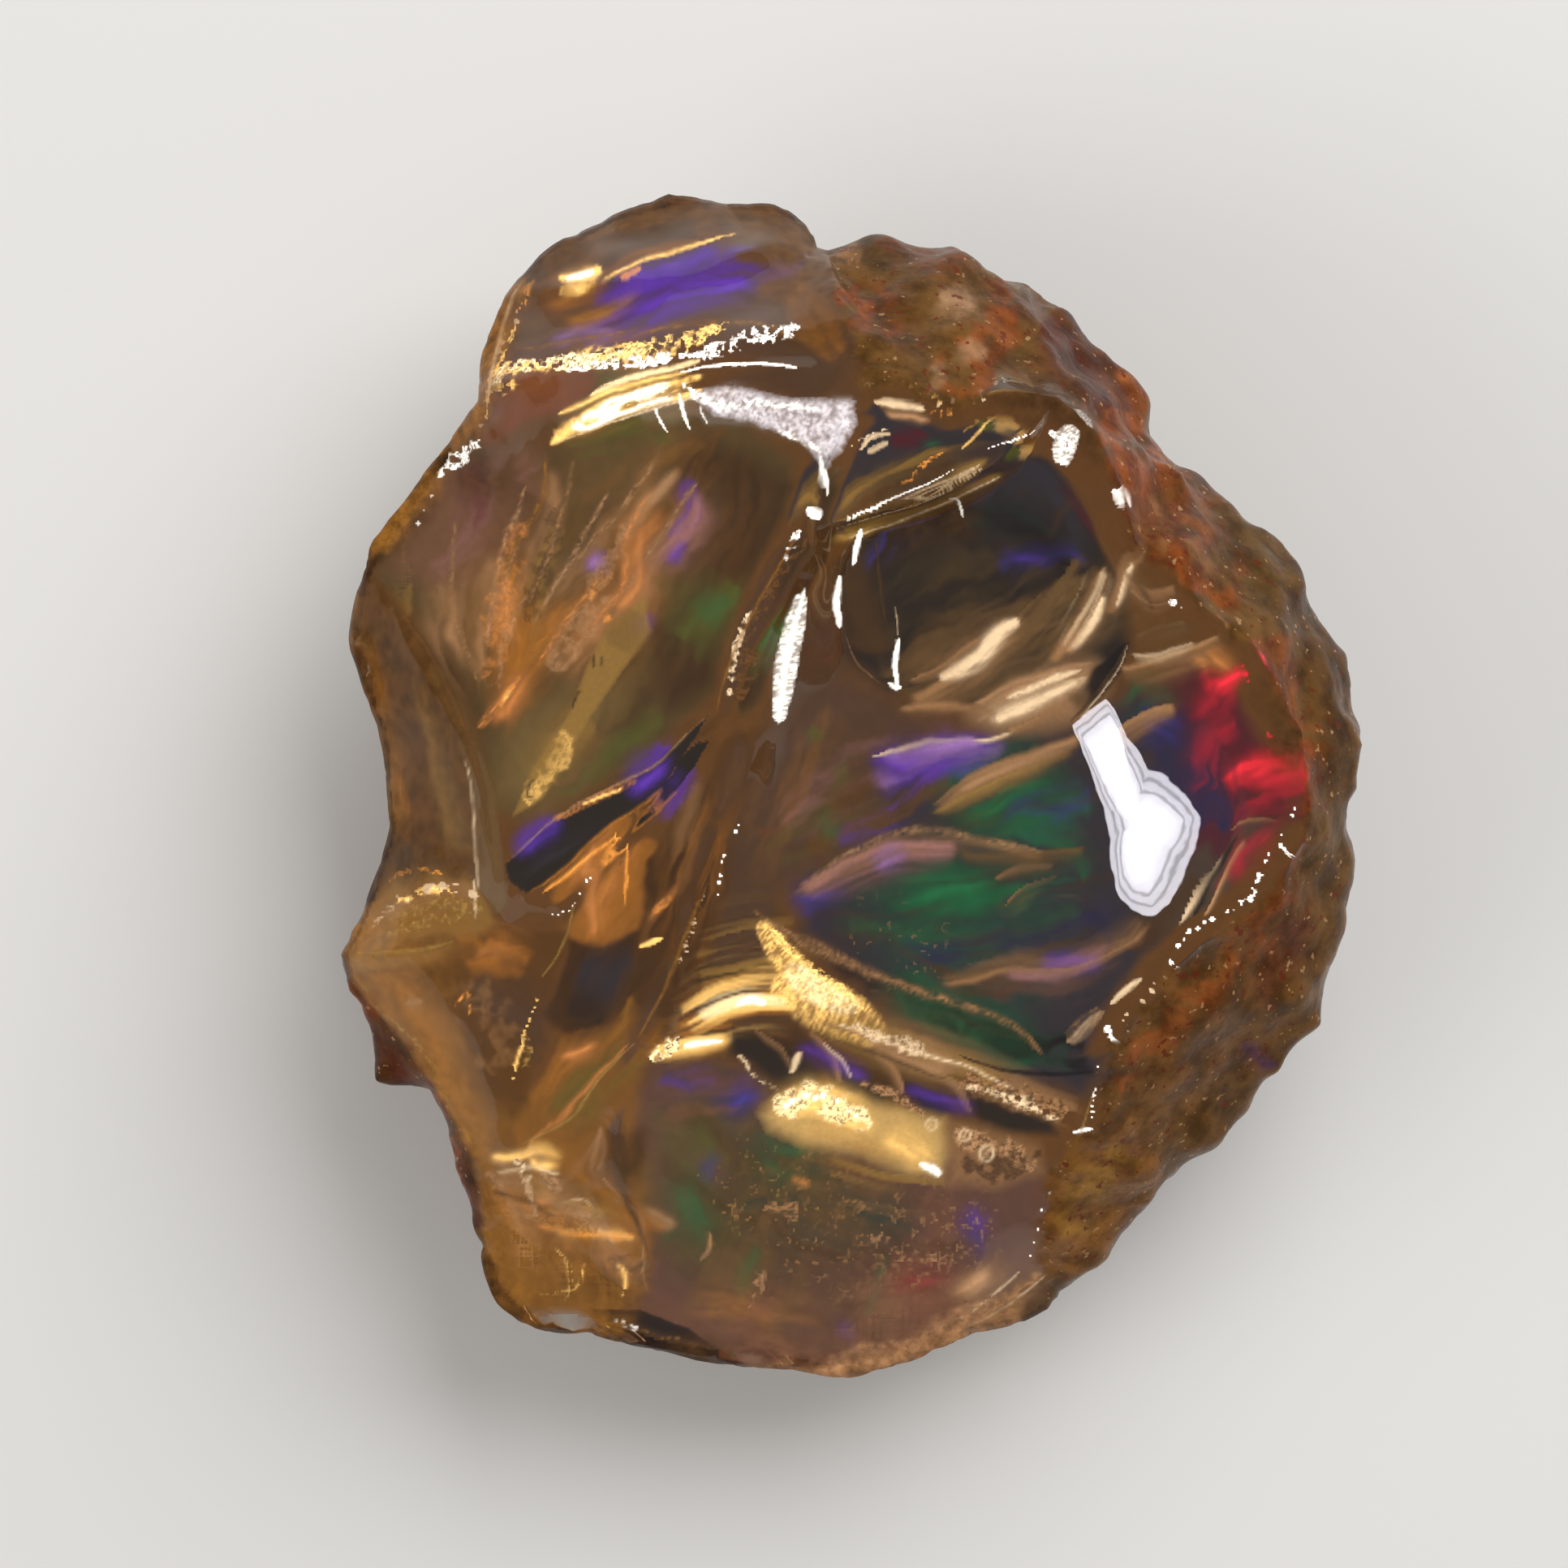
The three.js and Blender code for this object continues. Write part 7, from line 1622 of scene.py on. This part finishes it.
def mirrored(spots):
    # where the ways from the camera to spots of the bowl go on to, as points and directions
    over = np.array(camera["over"])
    c = bowl["terms"]
    xy = over + (spots - over) * shrunk(bowlTerms(spots) @ c)[:, None]
    terms = bowlTerms(xy)
    u, v = terms[:, 1], terms[:, 2]
    normal = np.stack([-c[1] - 2 * c[3] * u - c[4] * v, -c[2] - c[4] * u - 2 * c[5] * v, np.ones(len(u))], 1)
    normal /= np.linalg.norm(normal, axis=1, keepdims=True)
    spot = np.column_stack([xy, terms @ c])
    view = spot - (*over, camera["height"])
    view /= np.linalg.norm(view, axis=1, keepdims=True)
    return spot, view - 2 * (view * normal).sum(1)[:, None] * normal


def gleamLamp():
    # a lamp whose glow is cut so that its mirror image in the bowl is the big white gleam
    spot, back = mirrored(np.array([gleam["middle"]] + bowl["outline"]))
    toward = back.mean(0) / np.linalg.norm(back.mean(0))
    way = (gleam["away"] + (spot[0] - spot) @ toward) / (back @ toward)
    edge = spot + way[:, None] * back
    middle, away = Vector(edge[0]), Vector(toward)
    side = Vector((0, 1, 0)).cross(away).normalized()
    x, y = (edge[1:] - edge[0]) @ side, (edge[1:] - edge[0]) @ away.cross(side)
    turn, reach = np.arctan2(y, x) / (2 * np.pi) + 0.5, np.hypot(x, y)
    order = np.argsort(turn)
    turn, reach = turn[order], reach[order]
    far = float(reach.max()) * 1.05
    ends = np.interp(0, [turn[-1] - 1, turn[0]], [reach[-1], reach[0]])  # where the turn closes
    stops = [(float(t), (float(r) / far,) * 3) for t, r in zip([0, *turn, 1], [ends, *reach, ends])]
    box, side, up = panel("gleam lamp", middle, away, 2 * far, gleam["light"])
    box.visible_diffuse = False
    box.visible_transmission = False
    f = Finish("gleam lamp", box.data)
    here = f.add("ShaderNodeNewGeometry", {}, {}, "Position")
    off = f.add("ShaderNodeVectorMath", {"operation": "SUBTRACT"}, {0: here, 1: middle * mm})
    dot = {"operation": "DOT_PRODUCT"}
    across, along = (f.add("ShaderNodeVectorMath", dot, {0: off, 1: axis / mm}, "Value")
                     for axis in (side, up))
    angle = along.math("ARCTAN2", along, across) / (2 * math.pi) + 0.5
    edgeAt = f.add("ShaderNodeValToRGB", {"stops": stops}, {0: angle}) * far
    inset = edgeAt - (across * across + along * along) ** 0.5
    lines = sum((1 - ((inset - at) / gleam["lineWidth"]) ** 2).between(0.0, 1.0) for at in gleam["lines"])
    streak = f.noise(0.5, 3, at=f.add("ShaderNodeCombineXYZ", {}, {0: across * 0.001, 1: along * 0.0002}))
    shine = inset.between(0.0, 0.03) * (0.62 + 0.5 * inset.between(0.1, 0.75))
    shine = shine * (1 - gleam["lineDepth"] * lines) * (0.9 + 0.2 * streak)
    tone = f.add("ShaderNodeCombineXYZ", {}, {k: shine * share for k, share in enumerate(gleam["tone"])})
    f.finish(f.add("ShaderNodeEmission", {}, {"Color": tone, "Strength": 1.0}))


gleamLamp()

bpy.context.scene.view_settings.view_transform = "Standard"
cycles = bpy.context.scene.cycles  # how far light is followed
cycles.sample_clamp_indirect = studio["clamp"]
cycles.transparent_max_bounces = studio["clearBounces"]
cycles.max_bounces = cycles.transmission_bounces = studio["bounces"]
print("studio lit")
